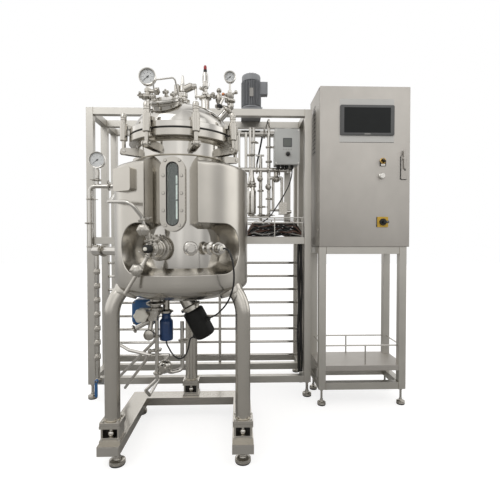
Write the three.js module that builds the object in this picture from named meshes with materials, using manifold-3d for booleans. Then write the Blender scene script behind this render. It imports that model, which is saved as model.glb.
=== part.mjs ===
// A pilot bioreactor: a jacketed stainless vessel on three legs, the pipe rack behind it and
// the control cabinet on its stand beside them. Millimetres, +Z up. The pieces are laid out
// from the vessel's axis (X to the right, Y to the rack), and the last lines move the whole
// object so that its origin is the middle of its footprint.
import * as THREE from 'three';
import { mergeVertices } from 'three/addons/utils/BufferGeometryUtils.js';
import Module from 'manifold-3d';

const wasm = await Module();
wasm.setup();

// ---- Facets and clearances ------------------------------------------------------------------
const VESSEL_SIDES = 32;
const TUBE_SIDES = 12;
const CLAMP_SIDES = 8;
const PIPE_SIDES = 7;
const CABLE_SIDES = 8;
const ROD_SIDES = 5; // for anything thinner than a pipe
const SEAT = 0.3; // gap left between pieces that touch
const RUNNING = 0.5; // gap left round a piece that turns or slides

// ---- Vessel ---------------------------------------------------------------------------------
const SHELL_RADIUS = 195;
const SHELL_WALL = 6;
const SHELL_TANGENT_Z = 796; // where the straight wall ends and the dished bottom starts
const SHELL_DISH = 88;
const FLANGE_RADIUS = 235;
const BODY_FLANGE = 30; // thickness
const FLANGE_FACE_Z = 1391;
const GASKET = 5;
const LID_FLANGE = 25;
const LID_RADIUS = 212;
const LID_RISE = 130;
const FRONT_ANGLE = -2.5; // where the sight glass faces, degrees from -Y towards +X

// ---- Heating jacket -------------------------------------------------------------------------
const JACKET_RADIUS = 298;
const JACKET_TANGENT_Z = 754;
const JACKET_DISH = 85;
const JACKET_EDGE_Z = 1238; // top of the straight wall
const JACKET_TOP_Z = 1290;
const SLOT_INNER_HALF = 80; // half width of the sight-glass slot at the shell
const SLOT_OUTER_HALF = 106; // and at the jacket's face
const RECESS_ANGLE = 6.5; // middle of the wide port recess
const RECESS_SPAN = 55; // half of its angle at the jacket's face
const RECESS_INNER_SPAN = 60; // and at the shell
const RECESS_Z = 904;
const RECESS_HALF_HEIGHT = 103;
const RECESS_INNER_HALF_HEIGHT = 82;
const PAD_ANGLE = -40; // service box on the jacket's left side
const PAD_HALF_WIDTH = 45;
const PAD_REACH = JACKET_RADIUS + 28;
const PAD_BOTTOM_Z = 1134;
const PAD_TOP_Z = 1226;

// ---- Sight glass ----------------------------------------------------------------------------
const GLASS_WIDTH = 44;
const GLASS_HEIGHT = 254;
const GLASS_FRAME_RIM = 28;
const GLASS_FRAME_FACE = 224; // distance of its face from the vessel's axis
const GLASS_MIDDLE_Z = 1126;
const GLASS_THICKNESS = 16;
const GLASS_SETBACK = 6;

// ---- Swing bolts of the lid -----------------------------------------------------------------
const BOLT_COUNT = 8;
const BOLT_FIRST_ANGLE = -70;
const BOLT_CIRCLE = FLANGE_RADIUS + 22;
const BOLT_PIVOT_Z = 1325;
const BOLT_EYE_RADIUS = 14;
const BOLT_EYE_WIDTH = 18;
const BOLT_RADIUS = 8.5;
const BOLT_SLEEVE_RADIUS = 17;
const BOLT_SLEEVE_START = 49; // above the pivot
const BOLT_SLEEVE_END = 129;
const BOLT_NUT_RADIUS = 13.5;
const BOLT_LENGTH = 164;
const LUG_THICKNESS = 6;

// ---- Legs and base frame --------------------------------------------------------------------
const LEG_CIRCLE = JACKET_RADIUS + 20;
const LEG_RADIUS = 31.75;
const LEG_BEND_START_Z = 622;
const LEG_BEND_RADIUS = 150;
const LEG_LEAN = 42; // degrees of the bend
const RAIL_WIDTH = 90;
const RAIL_HEIGHT = 40;
const RAIL_BOTTOM_Z = 58;
const RAIL_OVERHANG = 66; // rail in front of the front legs
const BEAM_SETBACK = 8; // cross beam in front of the rear leg
const FOOT_RADIUS = 34;
const CELL_WIDTH = 86;
const CELL_BASE = 23;
const CELL_HEIGHT = 50;
const CELL_WINDOW = 60;
const LEG_PLATE = 13;

// ---- Ports in the recess --------------------------------------------------------------------
const PORT_Z = 905;
const SAMPLE_ANGLE = -16.5;
const CAP_ANGLE = 16;
const PROBE_ANGLE = 39;
const PORT_SETBACK = 72; // ferrule faces behind the jacket's face
const PORT_REACH = JACKET_RADIUS - PORT_SETBACK;
const BIG_FERRULE = 45;
const SMALL_FERRULE = 25;

// ---- Bottom drive and agitator --------------------------------------------------------------
const DRIVE_LEAN = 28; // degrees from vertical
const DRIVE_TOP = [39, 0, 625]; // middle of the motor's flange
const DRIVE_RADIUS = 49;
const DRIVE_LENGTH = 147;
const BEARING_RADIUS = 7;
const IMPELLER_RADIUS = 52;

// ---- Pipe rack ------------------------------------------------------------------------------
const RACK_TUBE = 40;
const RACK_LEFT = -630;
const RACK_RIGHT = 692;
const RACK_TOP_Z = 1717;
const RACK_BOTTOM_Z = 89;
const RACK_MID_Z = 920;
const RACK_FRONT_Y = 495;
const RACK_MIDDLE_Y = 736;
const RACK_REAR_Y = 930;
const RUNG_COUNT = 8;
const RUNG_FIRST_Z = 182;
const RUNG_PITCH = 87.4;
const RUNG_RADIUS = 8;
const HANGER_X = 560; // left face of the short post behind the control box

// ---- Control cabinet and its stand ----------------------------------------------------------
const CABINET_LEFT = 712;
const CABINET_WIDTH = 510;
const CABINET_BOTTOM_Z = 904;
const CABINET_HEIGHT = 896;
const CABINET_FRONT_Y = 355;
const CABINET_DEPTH = 285;
const DOOR_THICKNESS = 22;
const SHEET = 3;
const STAND_TUBE = 40;
const STAND_BOTTOM_Z = 93;
const SHELF_TOP_Z = 230;
const GUARD_RISE = 110;
const CABINET_RIGHT = CABINET_LEFT + CABINET_WIDTH;
const CABINET_TOP_Z = CABINET_BOTTOM_Z + CABINET_HEIGHT;
const SCREEN_CENTRE = [
  (CABINET_LEFT + CABINET_RIGHT) / 2 + 10, CABINET_TOP_Z - 189,
]; // X and Z on the door
const SCREEN_SIZE = [306, 168];
const SELECTOR_CENTRE = [CABINET_RIGHT - 154, CABINET_TOP_Z - 414];
const BUTTON_CENTRE = [CABINET_RIGHT - 159, CABINET_TOP_Z - 498];
const STEM_RADIUS = 11; // of the selector and the push button
const LOCK_CENTRE = [CABINET_RIGHT - 35, CABINET_TOP_Z - 450];
const SWITCH_CENTRE = [CABINET_RIGHT - 154, CABINET_BOTTOM_Z + 140];

// ---- Gauges ---------------------------------------------------------------------------------
const LID_GAUGE = { centre: [-129, -120, 1634], radius: 37, depth: 30 };
const INLET_GAUGE = { centre: [219, -30, 1676], radius: 27, depth: 26 };
const RACK_GAUGE = { centre: [RACK_LEFT + 72, RACK_FRONT_Y - 19, 1405], radius: 47, depth: 32 };

// ---- Helpers --------------------------------------------------------------------------------
const vec = (x, y, z) => new THREE.Vector3(x, y, z);
const rad = THREE.MathUtils.degToRad;

// A point at an angle and radius round the vessel's axis; angles go from -Y towards +X.
const polar = (angle, radius, z) => vec(radius * Math.sin(rad(angle)), -radius * Math.cos(rad(angle)), z);
const outward = (angle) => polar(angle, 1, 0);

// Merges the corners, drops faces without area and turns the faces outwards.
function closed(geometry) {
  const bare = geometry.clone();
  bare.deleteAttribute('normal');
  bare.deleteAttribute('uv');
  const merged = mergeVertices(bare, 1e-4);
  const at = merged.attributes.position;
  const index = merged.index.array;
  const corners = [vec(0, 0, 0), vec(0, 0, 0), vec(0, 0, 0)];
  const faces = [];
  let volume = 0;
  for (let i = 0; i < index.length; i += 3) {
    const [a, b, c] = [index[i], index[i + 1], index[i + 2]];
    if (a === b || b === c || c === a) continue;
    [a, b, c].forEach((corner, k) => corners[k].fromBufferAttribute(at, corner));
    volume += corners[0].dot(corners[1].cross(corners[2]));
    faces.push(a, b, c);
  }
  if (volume < 0) {
    for (let i = 0; i < faces.length; i += 3) [faces[i], faces[i + 1]] = [faces[i + 1], faces[i]];
  }
  merged.setIndex(faces);
  return merged;
}

function solidOf(geometry) {
  const shape = closed(geometry);
  const mesh = new wasm.Mesh({
    numProp: 3,
    vertProperties: new Float32Array(shape.attributes.position.array),
    triVerts: new Uint32Array(shape.index.array),
  });
  return new wasm.Manifold(mesh);
}

function geometryOf(solid) {
  const mesh = solid.getMesh();
  const geometry = new THREE.BufferGeometry();
  geometry.setAttribute('position', new THREE.BufferAttribute(new Float32Array(mesh.vertProperties), 3));
  geometry.setIndex(Array.from(mesh.triVerts));
  geometry.computeVertexNormals();
  return geometry;
}

function join(...geometries) {
  return geometryOf(geometries.map(solidOf).reduce((sum, next) => sum.add(next)));
}

function cut(geometry, ...tools) {
  return geometryOf(tools.map(solidOf).reduce((rest, tool) => rest.subtract(tool), solidOf(geometry)));
}

function block(x0, x1, y0, y1, z0, z1) {
  const box = new THREE.BoxGeometry(x1 - x0, y1 - y0, z1 - z0);
  return box.translate((x0 + x1) / 2, (y0 + y1) / 2, (z0 + z1) / 2);
}

// A turned piece about +Z from its profile of [radius, height] points.
function turned(profile, sides = CLAMP_SIDES) {
  const points = profile.map(([radius, height]) => new THREE.Vector2(radius, height));
  return new THREE.LatheGeometry(points, sides).rotateX(Math.PI / 2);
}

// Swings a piece made about +Z so that it points along a direction, and moves it to a place.
function aimed(geometry, place, direction) {
  const turn = new THREE.Quaternion().setFromUnitVectors(vec(0, 0, 1), direction.clone().normalize());
  return geometry.applyQuaternion(turn).translate(place.x, place.y, place.z);
}

function rod(from, to, radius, sides = radius < 10 ? ROD_SIDES : PIPE_SIDES) {
  const along = to.clone().sub(from);
  return aimed(
    turned([[0, 0], [radius, 0], [radius, along.length()], [0, along.length()]], sides), from, along,
  );
}

// The path of a bent pipe: straight runs and round bends, with a section only where one is needed.
class PipePath extends THREE.Curve {
  constructor(corners, bendRadius, stepsPerBend) {
    super();
    this.places = [corners[0]];
    this.headings = [corners[1].clone().sub(corners[0]).normalize()];
    for (let i = 1; i < corners.length - 1; i++) {
      const into = corners[i].clone().sub(corners[i - 1]).normalize();
      const out = corners[i + 1].clone().sub(corners[i]).normalize();
      const angle = into.angleTo(out);
      const normal = out.clone().sub(into.clone().multiplyScalar(into.dot(out))).normalize();
      const start = corners[i].clone().addScaledVector(into, -bendRadius * Math.tan(angle / 2));
      for (let k = 0; k <= stepsPerBend; k++) {
        const swept = (angle * k) / stepsPerBend;
        const place = start.clone().addScaledVector(into, bendRadius * Math.sin(swept));
        this.places.push(place.addScaledVector(normal, bendRadius * (1 - Math.cos(swept))));
        const heading = into.clone().multiplyScalar(Math.cos(swept));
        this.headings.push(heading.addScaledVector(normal, Math.sin(swept)));
      }
    }
    this.places.push(corners.at(-1));
    this.headings.push(corners.at(-1).clone().sub(corners.at(-2)).normalize());
  }

  getPointAt(u) {
    return this.places[Math.round(u * (this.places.length - 1))].clone();
  }

  getTangentAt(u) {
    return this.headings[Math.round(u * (this.headings.length - 1))].clone();
  }
}

function circle(radius, sides) {
  const shape = new THREE.Shape();
  for (let i = 0; i < sides; i++) {
    const turn = (2 * Math.PI * i) / sides;
    const [x, y] = [radius * Math.cos(turn), radius * Math.sin(turn)];
    if (i === 0) shape.moveTo(x, y);
    else shape.lineTo(x, y);
  }
  return shape;
}

function pipe(corners, radius, bendRadius, sides = PIPE_SIDES, stepsPerBend = 2) {
  const path = new PipePath(corners, bendRadius, stepsPerBend);
  return new THREE.ExtrudeGeometry(
    circle(radius, sides), { steps: path.places.length - 1, extrudePath: path },
  );
}

// A flexible cable along a smooth curve through its points.
function cable(points, radius, steps, sides = CABLE_SIDES) {
  const path = new THREE.CatmullRomCurve3(points);
  return new THREE.ExtrudeGeometry(circle(radius, sides), { steps, extrudePath: path });
}

// A closed skin over a row of rings of points, with a fan over each end.
function loft(rings) {
  const count = rings[0].length;
  const middle = (ring) => ring.reduce((sum, p) => sum.add(p), vec(0, 0, 0)).divideScalar(count);
  const points = [...rings.flat(), middle(rings[0]), middle(rings.at(-1))];
  const faces = [];
  for (let i = 0; i < count; i++) {
    const next = (i + 1) % count;
    for (let ring = 0; ring < rings.length - 1; ring++) {
      const [low, high] = [ring * count, (ring + 1) * count];
      faces.push(low + i, low + next, high + next, low + i, high + next, high + i);
    }
    const last = (rings.length - 1) * count;
    faces.push(rings.length * count, next, i, rings.length * count + 1, last + i, last + next);
  }
  const geometry = new THREE.BufferGeometry().setFromPoints(points);
  geometry.setIndex(faces);
  return geometry;
}

// An upright oblong with round ends, in X and Y.
function oblong(width, height, segments = 8) {
  const radius = width / 2;
  const straight = height / 2 - radius;
  const shape = new THREE.Shape();
  for (let end = 0; end < 2; end++) {
    for (let i = 0; i <= segments; i++) {
      const turn = Math.PI * (end + i / segments);
      const [x, y] = [
        radius * Math.cos(turn), radius * Math.sin(turn) + (end === 0 ? straight : -straight),
      ];
      if (end === 0 && i === 0) shape.moveTo(x, y);
      else shape.lineTo(x, y);
    }
  }
  return shape;
}

// An outline in X and Z, standing between two depths in front of the vessel's axis.
function facing(shape, nearAxis, farFromAxis, z) {
  const plate = new THREE.ExtrudeGeometry(shape, { depth: farFromAxis - nearAxis, bevelEnabled: false });
  return plate.rotateX(Math.PI / 2).translate(0, -nearAxis, z);
}

// Points of a dished head from its middle to its rim; a negative rise dishes downwards.
function dish(radius, tangentZ, rise, steps = 6) {
  const points = [];
  for (let i = 0; i <= steps; i++) {
    const turn = (Math.PI / 2) * (i / steps);
    points.push([radius * Math.sin(turn), tangentZ + rise * Math.cos(turn)]);
  }
  points[0][0] = 0;
  return points;
}

// Steps of a turned profile where a hygienic clamp closes two ferrules on a tube.
const clampBand = (z, tube, ring, width) => [
  [tube, z - width / 2 - 2],
  [ring, z - width / 3],
  [ring, z + width / 3],
  [tube, z + width / 2 + 2],
];

// ---- Materials ------------------------------------------------------------------------------
const finish = (color, roughness, metalness) => new THREE.MeshStandardMaterial(
  { color, roughness, metalness },
);
const satinSteel = finish(0xb9b5ac, 0.35, 1);
const polishedSteel = finish(0xc9c6bf, 0.18, 1);
const rackSteel = finish(0xb4b0a6, 0.45, 1);
const cabinetSteel = finish(0xb8b4ad, 0.5, 0.6);
const darkGlass = finish(0x2c3030, 0.08, 0);
const blackPlastic = finish(0x161616, 0.5, 0);
const blackRubber = finish(0x1a1a18, 0.8, 0);
const blueEnamel = finish(0x2f5f96, 0.4, 0);
const creamPlastic = finish(0xd8d5c8, 0.5, 0);
const motorEnamel = finish(0x77797b, 0.5, 0);
const whitePlastic = finish(0xe4e2da, 0.4, 0);
const paleEnamel = finish(0xb9bab6, 0.5, 0);

// ---- Groups: the vessel on its base, the pipe rack, and the cabinet with its door ----------- 
const machine = new THREE.Group();
const skid = new THREE.Group();
const rack = new THREE.Group();
const cabinet = new THREE.Group();
const door = new THREE.Group();
machine.add(skid, rack, cabinet);
cabinet.add(door);
door.position.set(CABINET_LEFT, CABINET_FRONT_Y, 0);

// Puts a named piece, with a material of its own, in a group. The piece is made about its own
// origin, and place says where that goes, measured from the vessel's axis.
function add(group, name, geometry, material, place = vec(0, 0, 0)) {
  const mesh = new THREE.Mesh(closed(geometry), material.clone());
  mesh.geometry.computeVertexNormals();
  mesh.name = name;
  mesh.position.copy(place).sub(group.position);
  group.add(mesh);
  return mesh;
}

// The same for a piece made about +Z, which is swung to point along a direction.
function addPointing(group, name, geometry, material, place, direction) {
  const mesh = add(group, name, geometry, material, place);
  mesh.quaternion.setFromUnitVectors(vec(0, 0, 1), direction.clone().normalize());
}

// ---- Base frame with its level feet and load cells ------------------------------------------
const legAngles = { leg_left: -60, leg_right: 60, leg_rear: 180 };
const railTopZ = RAIL_BOTTOM_Z + RAIL_HEIGHT;
const railX = LEG_CIRCLE * Math.sin(rad(legAngles.leg_right));
const frontLegY = -LEG_CIRCLE * Math.cos(rad(legAngles.leg_right));
const railFrontY = frontLegY - RAIL_OVERHANG;
const beamY = LEG_CIRCLE - BEAM_SETBACK;
const beamRearY = beamY + RAIL_WIDTH / 2;
const cellTopZ = railTopZ + CELL_BASE + CELL_HEIGHT;

function levelFoot(x, y, topZ, padRadius, stemRadius) {
  const foot = turned([
    [0, 0], [padRadius, 0], [padRadius, 12], [stemRadius, 24], [stemRadius, topZ], [0, topZ],
  ], stemRadius > 8 ? TUBE_SIDES : PIPE_SIDES);
  return foot.translate(x, y, 0);
}

function loadCell(x, y) {
  const half = CELL_WIDTH / 2;
  const lowZ = railTopZ + CELL_BASE;
  const windowHalf = CELL_WINDOW / 2;
  const lugHalf = 25;
  const body = cut(
    block(x - half, x + half, y - half, y + half, lowZ - 1, cellTopZ),
    block(x - windowHalf, x + windowHalf, y - half - 1, y + half + 1, lowZ, cellTopZ - 4),
  );
  const pin = turned(
    [[0, lowZ - 1], [9, lowZ - 1], [9, lowZ + 10], [5, lowZ + 24], [0, lowZ + 24]], PIPE_SIDES,
  );
  const ball = turned(
    [[0, lowZ + 23], [13, lowZ + 27], [16, lowZ + 36], [14, cellTopZ - 3], [0, cellTopZ - 3]],
    CLAMP_SIDES,
  );
  const base = block(x - half, x + half, y - half, y + half, railTopZ - 1, railTopZ + CELL_BASE / 2);
  const upper = block(x - half + 5, x + half - 5, y - half + 5, y + half - 5, railTopZ, lowZ);
  const inner = x > 0 ? -1 : 1;
  const lugX = x + inner * (half + 3);
  const lug = block(lugX - 4, lugX + 4, y - lugHalf, y + lugHalf, railTopZ - 1, cellTopZ - 6);
  return join(body, pin.translate(x, y, 0), ball.translate(x, y, 0), base, upper, lug);
}

function baseFrame() {
  const half = RAIL_WIDTH / 2;
  const pieces = [-railX, railX].map(
    (x) => block(x - half, x + half, railFrontY, beamRearY, RAIL_BOTTOM_Z, railTopZ),
  );
  pieces.push(block(-railX, railX, beamY - half, beamRearY, RAIL_BOTTOM_Z, railTopZ));
  const footInset = 48;
  for (const y of [railFrontY + footInset, beamRearY - footInset]) {
    pieces.push(levelFoot(-railX + 24, y, RAIL_BOTTOM_Z + 1, FOOT_RADIUS, 11));
    pieces.push(levelFoot(railX, y, RAIL_BOTTOM_Z + 1, FOOT_RADIUS, 11));
  }
  for (const angle of Object.values(legAngles)) {
    const foot = polar(angle, LEG_CIRCLE, 0);
    pieces.push(loadCell(foot.x, foot.y));
  }
  return join(...pieces);
}

add(skid, 'base_frame', baseFrame(), satinSteel);

// ---- Jacket with its slot, port recess, service box and bottom stubs ------------------------
const jacketBore = SHELL_RADIUS + SEAT;
const driveDown = vec(Math.sin(rad(DRIVE_LEAN)), 0, -Math.cos(rad(DRIVE_LEAN)));
const driveUp = driveDown.clone().negate();
const driveTop = vec(...DRIVE_TOP);
const OUTLET_STUB = [-120, -30];
const METER_STUB = [-80, 14];
const outletTopZ = 650;
const meterTopZ = 606;

function recessRing(radius, halfAngle, halfHeight) {
  const endAngle = THREE.MathUtils.radToDeg(halfHeight / radius);
  const flatAngle = halfAngle - endAngle;
  const ring = [];
  const endSteps = 6;
  const flatSteps = 7;
  for (const side of [1, -1]) {
    for (let i = 0; i <= endSteps; i++) {
      const turn = Math.PI * (i / endSteps - 0.5);
      const angle = RECESS_ANGLE + side * (flatAngle + endAngle * Math.cos(turn));
      ring.push(polar(angle, radius, RECESS_Z + side * halfHeight * Math.sin(turn)));
    }
    for (let i = 1; i < flatSteps; i++) {
      const angle = RECESS_ANGLE + side * flatAngle * (1 - (2 * i) / flatSteps);
      ring.push(polar(angle, radius, RECESS_Z + side * halfHeight));
    }
  }
  return ring;
}

function recessTool() {
  const cove = (RECESS_INNER_HALF_HEIGHT + 2 * RECESS_HALF_HEIGHT) / 3;
  const coveSpan = (RECESS_INNER_SPAN + RECESS_SPAN) / 2;
  const middleRadius = (SHELL_RADIUS + JACKET_RADIUS) / 2;
  const beyond = JACKET_RADIUS / Math.cos(rad(RECESS_SPAN)) - JACKET_RADIUS;
  return loft([
    recessRing(SHELL_RADIUS - 15, RECESS_INNER_SPAN, RECESS_INNER_HALF_HEIGHT - 8),
    recessRing(SHELL_RADIUS, RECESS_INNER_SPAN, RECESS_INNER_HALF_HEIGHT),
    recessRing(middleRadius, coveSpan, cove),
    recessRing(JACKET_RADIUS, RECESS_SPAN, RECESS_HALF_HEIGHT),
    recessRing(JACKET_RADIUS + beyond, RECESS_SPAN, RECESS_HALF_HEIGHT + 4),
  ]);
}

function slotTool() {
  const [near, far] = [SHELL_RADIUS - 40, JACKET_RADIUS + 40];
  const spread = (SLOT_OUTER_HALF - SLOT_INNER_HALF) / (JACKET_RADIUS - SHELL_RADIUS);
  const nearHalf = SLOT_INNER_HALF + spread * (near - SHELL_RADIUS + 16);
  const farHalf = SLOT_INNER_HALF + spread * (far - SHELL_RADIUS + 16);
  const shape = new THREE.Shape();
  shape.moveTo(-nearHalf, -near);
  shape.lineTo(nearHalf, -near);
  shape.lineTo(farHalf, -far);
  shape.lineTo(-farHalf, -far);
  const height = JACKET_TOP_Z + 20 - RECESS_Z;
  const tool = new THREE.ExtrudeGeometry(shape, { depth: height, bevelEnabled: false });
  return tool.translate(0, 0, RECESS_Z).rotateZ(rad(FRONT_ANGLE));
}

function jacketOutline(grow) {
  return [
    ...dish(JACKET_RADIUS + grow, JACKET_TANGENT_Z, -JACKET_DISH - grow, 7),
    [JACKET_RADIUS + grow, JACKET_EDGE_Z],
    [JACKET_RADIUS - 4 + grow, JACKET_EDGE_Z + 8],
    [JACKET_RADIUS - 14 + grow, JACKET_EDGE_Z + 15],
    [jacketBore + grow, JACKET_TOP_Z + grow],
  ];
}

function jacket() {
  const bore = dish(jacketBore, SHELL_TANGENT_Z, -SHELL_DISH - SEAT).reverse();
  const body = turned([...jacketOutline(0), ...bore], VESSEL_SIDES);
  const pad = block(
    -PAD_HALF_WIDTH, PAD_HALF_WIDTH, -PAD_REACH, -JACKET_RADIUS + 30, PAD_BOTTOM_Z, PAD_TOP_Z,
  );
  const stubs = [
    rod(
      vec(...OUTLET_STUB, outletTopZ), vec(...OUTLET_STUB, JACKET_TANGENT_Z - JACKET_DISH + 15), 24,
      TUBE_SIDES,
    ),
    rod(
      vec(...METER_STUB, meterTopZ), vec(...METER_STUB, JACKET_TANGENT_Z - JACKET_DISH + 12), 15,
      TUBE_SIDES,
    ),
    rod(
      driveTop.clone().addScaledVector(driveUp, SEAT), driveTop.clone().addScaledVector(driveUp, 62),
      38, TUBE_SIDES,
    ),
  ];
  return join(cut(body, recessTool(), slotTool()), pad.rotateZ(rad(PAD_ANGLE)), ...stubs);
}

add(skid, 'jacket', jacket(), satinSteel);

// ---- Legs -----------------------------------------------------------------------------------
function leg(angle) {
  const foot = polar(angle, LEG_CIRCLE, 0);
  const half = CELL_WIDTH / 2;
  const plateZ = cellTopZ + SEAT;
  const kneeZ = LEG_BEND_START_Z + LEG_BEND_RADIUS * Math.tan(rad(LEG_LEAN) / 2);
  const reach = LEG_BEND_RADIUS;
  const tip = polar(
    angle, LEG_CIRCLE - reach * Math.sin(rad(LEG_LEAN)), kneeZ + reach * Math.cos(rad(LEG_LEAN)),
  );
  const tube = pipe(
    [foot.clone().setZ(plateZ + 1), foot.clone().setZ(kneeZ), tip],
    LEG_RADIUS, LEG_BEND_RADIUS, TUBE_SIDES + 4, 4,
  );
  const plateTop = plateZ + LEG_PLATE;
  const plate = block(foot.x - half, foot.x + half, foot.y - half, foot.y + half, plateZ, plateTop);
  const weld = turned(
    [[0, plateTop - 1], [LEG_RADIUS + 7, plateTop - 1], [LEG_RADIUS, plateTop + 14], [0, plateTop + 14]],
  );
  const seat = turned([...jacketOutline(SEAT), [0, JACKET_TOP_Z]], VESSEL_SIDES);
  return cut(join(plate, weld.translate(foot.x, foot.y, 0), tube), seat);
}

for (const [name, angle] of Object.entries(legAngles)) add(skid, name, leg(angle), satinSteel);

// ---- Vessel shell ---------------------------------------------------------------------------
const bolts = Array.from({ length: BOLT_COUNT }, (_, i) => BOLT_FIRST_ANGLE + (360 / BOLT_COUNT) * i);
const bossFoot = SHELL_TANGENT_Z - SHELL_DISH + SHELL_WALL; // inside of the dished bottom
const bossReach = (bossFoot - driveTop.z) / Math.cos(rad(DRIVE_LEAN)); // along the drive axis
const BOSS_HEIGHT = 42;
const hubStart = bossReach + BOSS_HEIGHT + SEAT;

// One cheek of the fork that carries a swing bolt.
function cheek(angle, side) {
  const inner = SHELL_RADIUS - SHELL_WALL / 2;
  const outer = BOLT_CIRCLE;
  const r = BOLT_EYE_RADIUS + 4;
  const shape = new THREE.Shape();
  shape.moveTo(inner, -r);
  for (let i = 0; i <= 2; i++) {
    const turn = Math.PI * (i / 2 - 0.5);
    shape.lineTo(outer + r * Math.cos(turn), r * Math.sin(turn));
  }
  shape.lineTo(inner, r);
  const plate = new THREE.ExtrudeGeometry(shape, { depth: LUG_THICKNESS, bevelEnabled: false });
  const gap = BOLT_EYE_WIDTH / 2 + RUNNING;
  plate.translate(0, 0, side > 0 ? gap : -gap - LUG_THICKNESS);
  plate.rotateX(Math.PI / 2).rotateZ(rad(angle - 90));
  return plate.translate(0, 0, BOLT_PIVOT_Z);
}

function nozzle(angle, radius, ferrule) {
  const start = SHELL_RADIUS - SHELL_WALL / 2;
  const length = PORT_REACH - start;
  const profile = [
    [0, 0], [radius, 0], [radius, length - 12], [ferrule, length - 6], [ferrule, length], [0, length],
  ];
  return aimed(turned(profile, TUBE_SIDES), polar(angle, start, PORT_Z), outward(angle));
}

const shellBore = SHELL_RADIUS - SHELL_WALL;

function vesselWall() {
  const flangeLowZ = FLANGE_FACE_Z - BODY_FLANGE;
  const tube = turned([
    [shellBore, SHELL_TANGENT_Z + SEAT],
    [SHELL_RADIUS, SHELL_TANGENT_Z + SEAT],
    [SHELL_RADIUS, flangeLowZ - 10],
    [SHELL_RADIUS + 8, flangeLowZ],
    [FLANGE_RADIUS, flangeLowZ],
    [FLANGE_RADIUS, FLANGE_FACE_Z],
    [shellBore, FLANGE_FACE_Z],
    [shellBore, SHELL_TANGENT_Z + SEAT],
  ], VESSEL_SIDES);
  const slot = facing(
    oblong(GLASS_WIDTH - 6, GLASS_HEIGHT - 6), SHELL_RADIUS - 30, SHELL_RADIUS + 10, GLASS_MIDDLE_Z,
  );
  const forks = bolts.flatMap((angle) => [cheek(angle, 1), cheek(angle, -1)]);
  return join(
    cut(tube, slot.rotateZ(rad(FRONT_ANGLE))),
    ...forks,
    nozzle(SAMPLE_ANGLE, 36, BIG_FERRULE),
    nozzle(CAP_ANGLE, 19, SMALL_FERRULE),
    nozzle(PROBE_ANGLE, 19, SMALL_FERRULE),
  );
}

// The dished bottom, with the boss and the pin that the agitator turns on.
function bottomHead() {
  const outside = turned(
    [...dish(SHELL_RADIUS, SHELL_TANGENT_Z, -SHELL_DISH), [0, SHELL_TANGENT_Z]], VESSEL_SIDES,
  );
  const inside = turned([
    ...dish(shellBore, SHELL_TANGENT_Z, -SHELL_DISH + SHELL_WALL, 4),
    [shellBore, SHELL_TANGENT_Z + 1],
    [0, SHELL_TANGENT_Z + 1],
  ], VESSEL_SIDES);
  const boss = turned([
    [0, 0], [24, 0], [18, BOSS_HEIGHT + 10], [BEARING_RADIUS, BOSS_HEIGHT + 10],
    [BEARING_RADIUS, BOSS_HEIGHT + 34], [0, BOSS_HEIGHT + 34],
  ], TUBE_SIDES);
  const standing = aimed(boss, driveTop.clone().addScaledVector(driveUp, bossReach - 10), driveUp);
  return cut(outside, cut(inside, standing));
}

add(skid, 'vessel_shell', vesselWall(), polishedSteel);
add(skid, 'bottom_head', bottomHead(), polishedSteel);

// ---- Sight glass ----------------------------------------------------------------------------
function sightGlassFrame() {
  const frameWidth = GLASS_WIDTH + 2 * GLASS_FRAME_RIM + 4;
  const frameHeight = GLASS_HEIGHT + 2 * GLASS_FRAME_RIM - 8;
  const plate = facing(
    oblong(frameWidth, frameHeight, 12), SHELL_RADIUS - 14, GLASS_FRAME_FACE, GLASS_MIDDLE_Z,
  );
  const window = facing(
    oblong(GLASS_WIDTH, GLASS_HEIGHT), SHELL_RADIUS - 30, GLASS_FRAME_FACE + 10, GLASS_MIDDLE_Z,
  );
  const lowZ = GLASS_MIDDLE_Z - frameHeight;
  const seat = rod(vec(0, 0, lowZ), vec(0, 0, GLASS_MIDDLE_Z + frameHeight), jacketBore, VESSEL_SIDES);
  return cut(plate.rotateZ(rad(FRONT_ANGLE)), window.rotateZ(rad(FRONT_ANGLE)), seat);
}

function sightGlassPane() {
  const front = GLASS_FRAME_FACE - GLASS_SETBACK;
  const shape = oblong(GLASS_WIDTH - 2 * SEAT, GLASS_HEIGHT - 2 * SEAT);
  return facing(shape, front - GLASS_THICKNESS, front, GLASS_MIDDLE_Z).rotateZ(rad(FRONT_ANGLE));
}

add(skid, 'sight_glass_frame', sightGlassFrame(), satinSteel);
add(skid, 'sight_glass_pane', sightGlassPane(), darkGlass);

// ---- Lid with its nozzles, and the gasket under it ------------------------------------------
const lidLowZ = FLANGE_FACE_Z + GASKET;
const lidFlangeTopZ = lidLowZ + LID_FLANGE;
const lidHeight = (radius) => lidFlangeTopZ + LID_RISE * Math.sqrt(1 - (radius / LID_RADIUS) ** 2);
const MANWAY_BASE = vec(-47, -139, 1503);
const MANWAY_AXIS = vec(-0.1, -0.5, 0.86).normalize();
const MANWAY_RADIUS = 58;
const MANWAY_NECK = 24;
const MANWAY_SIDES = 24;
const GAUGE_STUB = { x: -129, y: -118, topZ: 1548, radius: 12, ferrule: 25 };
const VENT_STUB = { x: 106, y: -10, topZ: 1588, radius: 19, ferrule: 25 };
const FILTER_STUB = { x: 6, y: 44, topZ: 1584, radius: 17, ferrule: 25 };
const INLET_AXIS = vec(0.68, -0.12, 0.72).normalize();
const INLET_BASE = vec(168, -26, 1484);
const INLET_NECK = 60;

function lidStub({ x, y, topZ, radius, ferrule }) {
  const startZ = lidHeight(Math.hypot(x, y)) - 8;
  const profile = [
    [0, startZ], [radius, startZ], [radius, topZ - 9], [ferrule, topZ - 4], [ferrule, topZ], [0, topZ],
  ];
  return turned(profile, CLAMP_SIDES).translate(x, y, 0);
}

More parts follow.
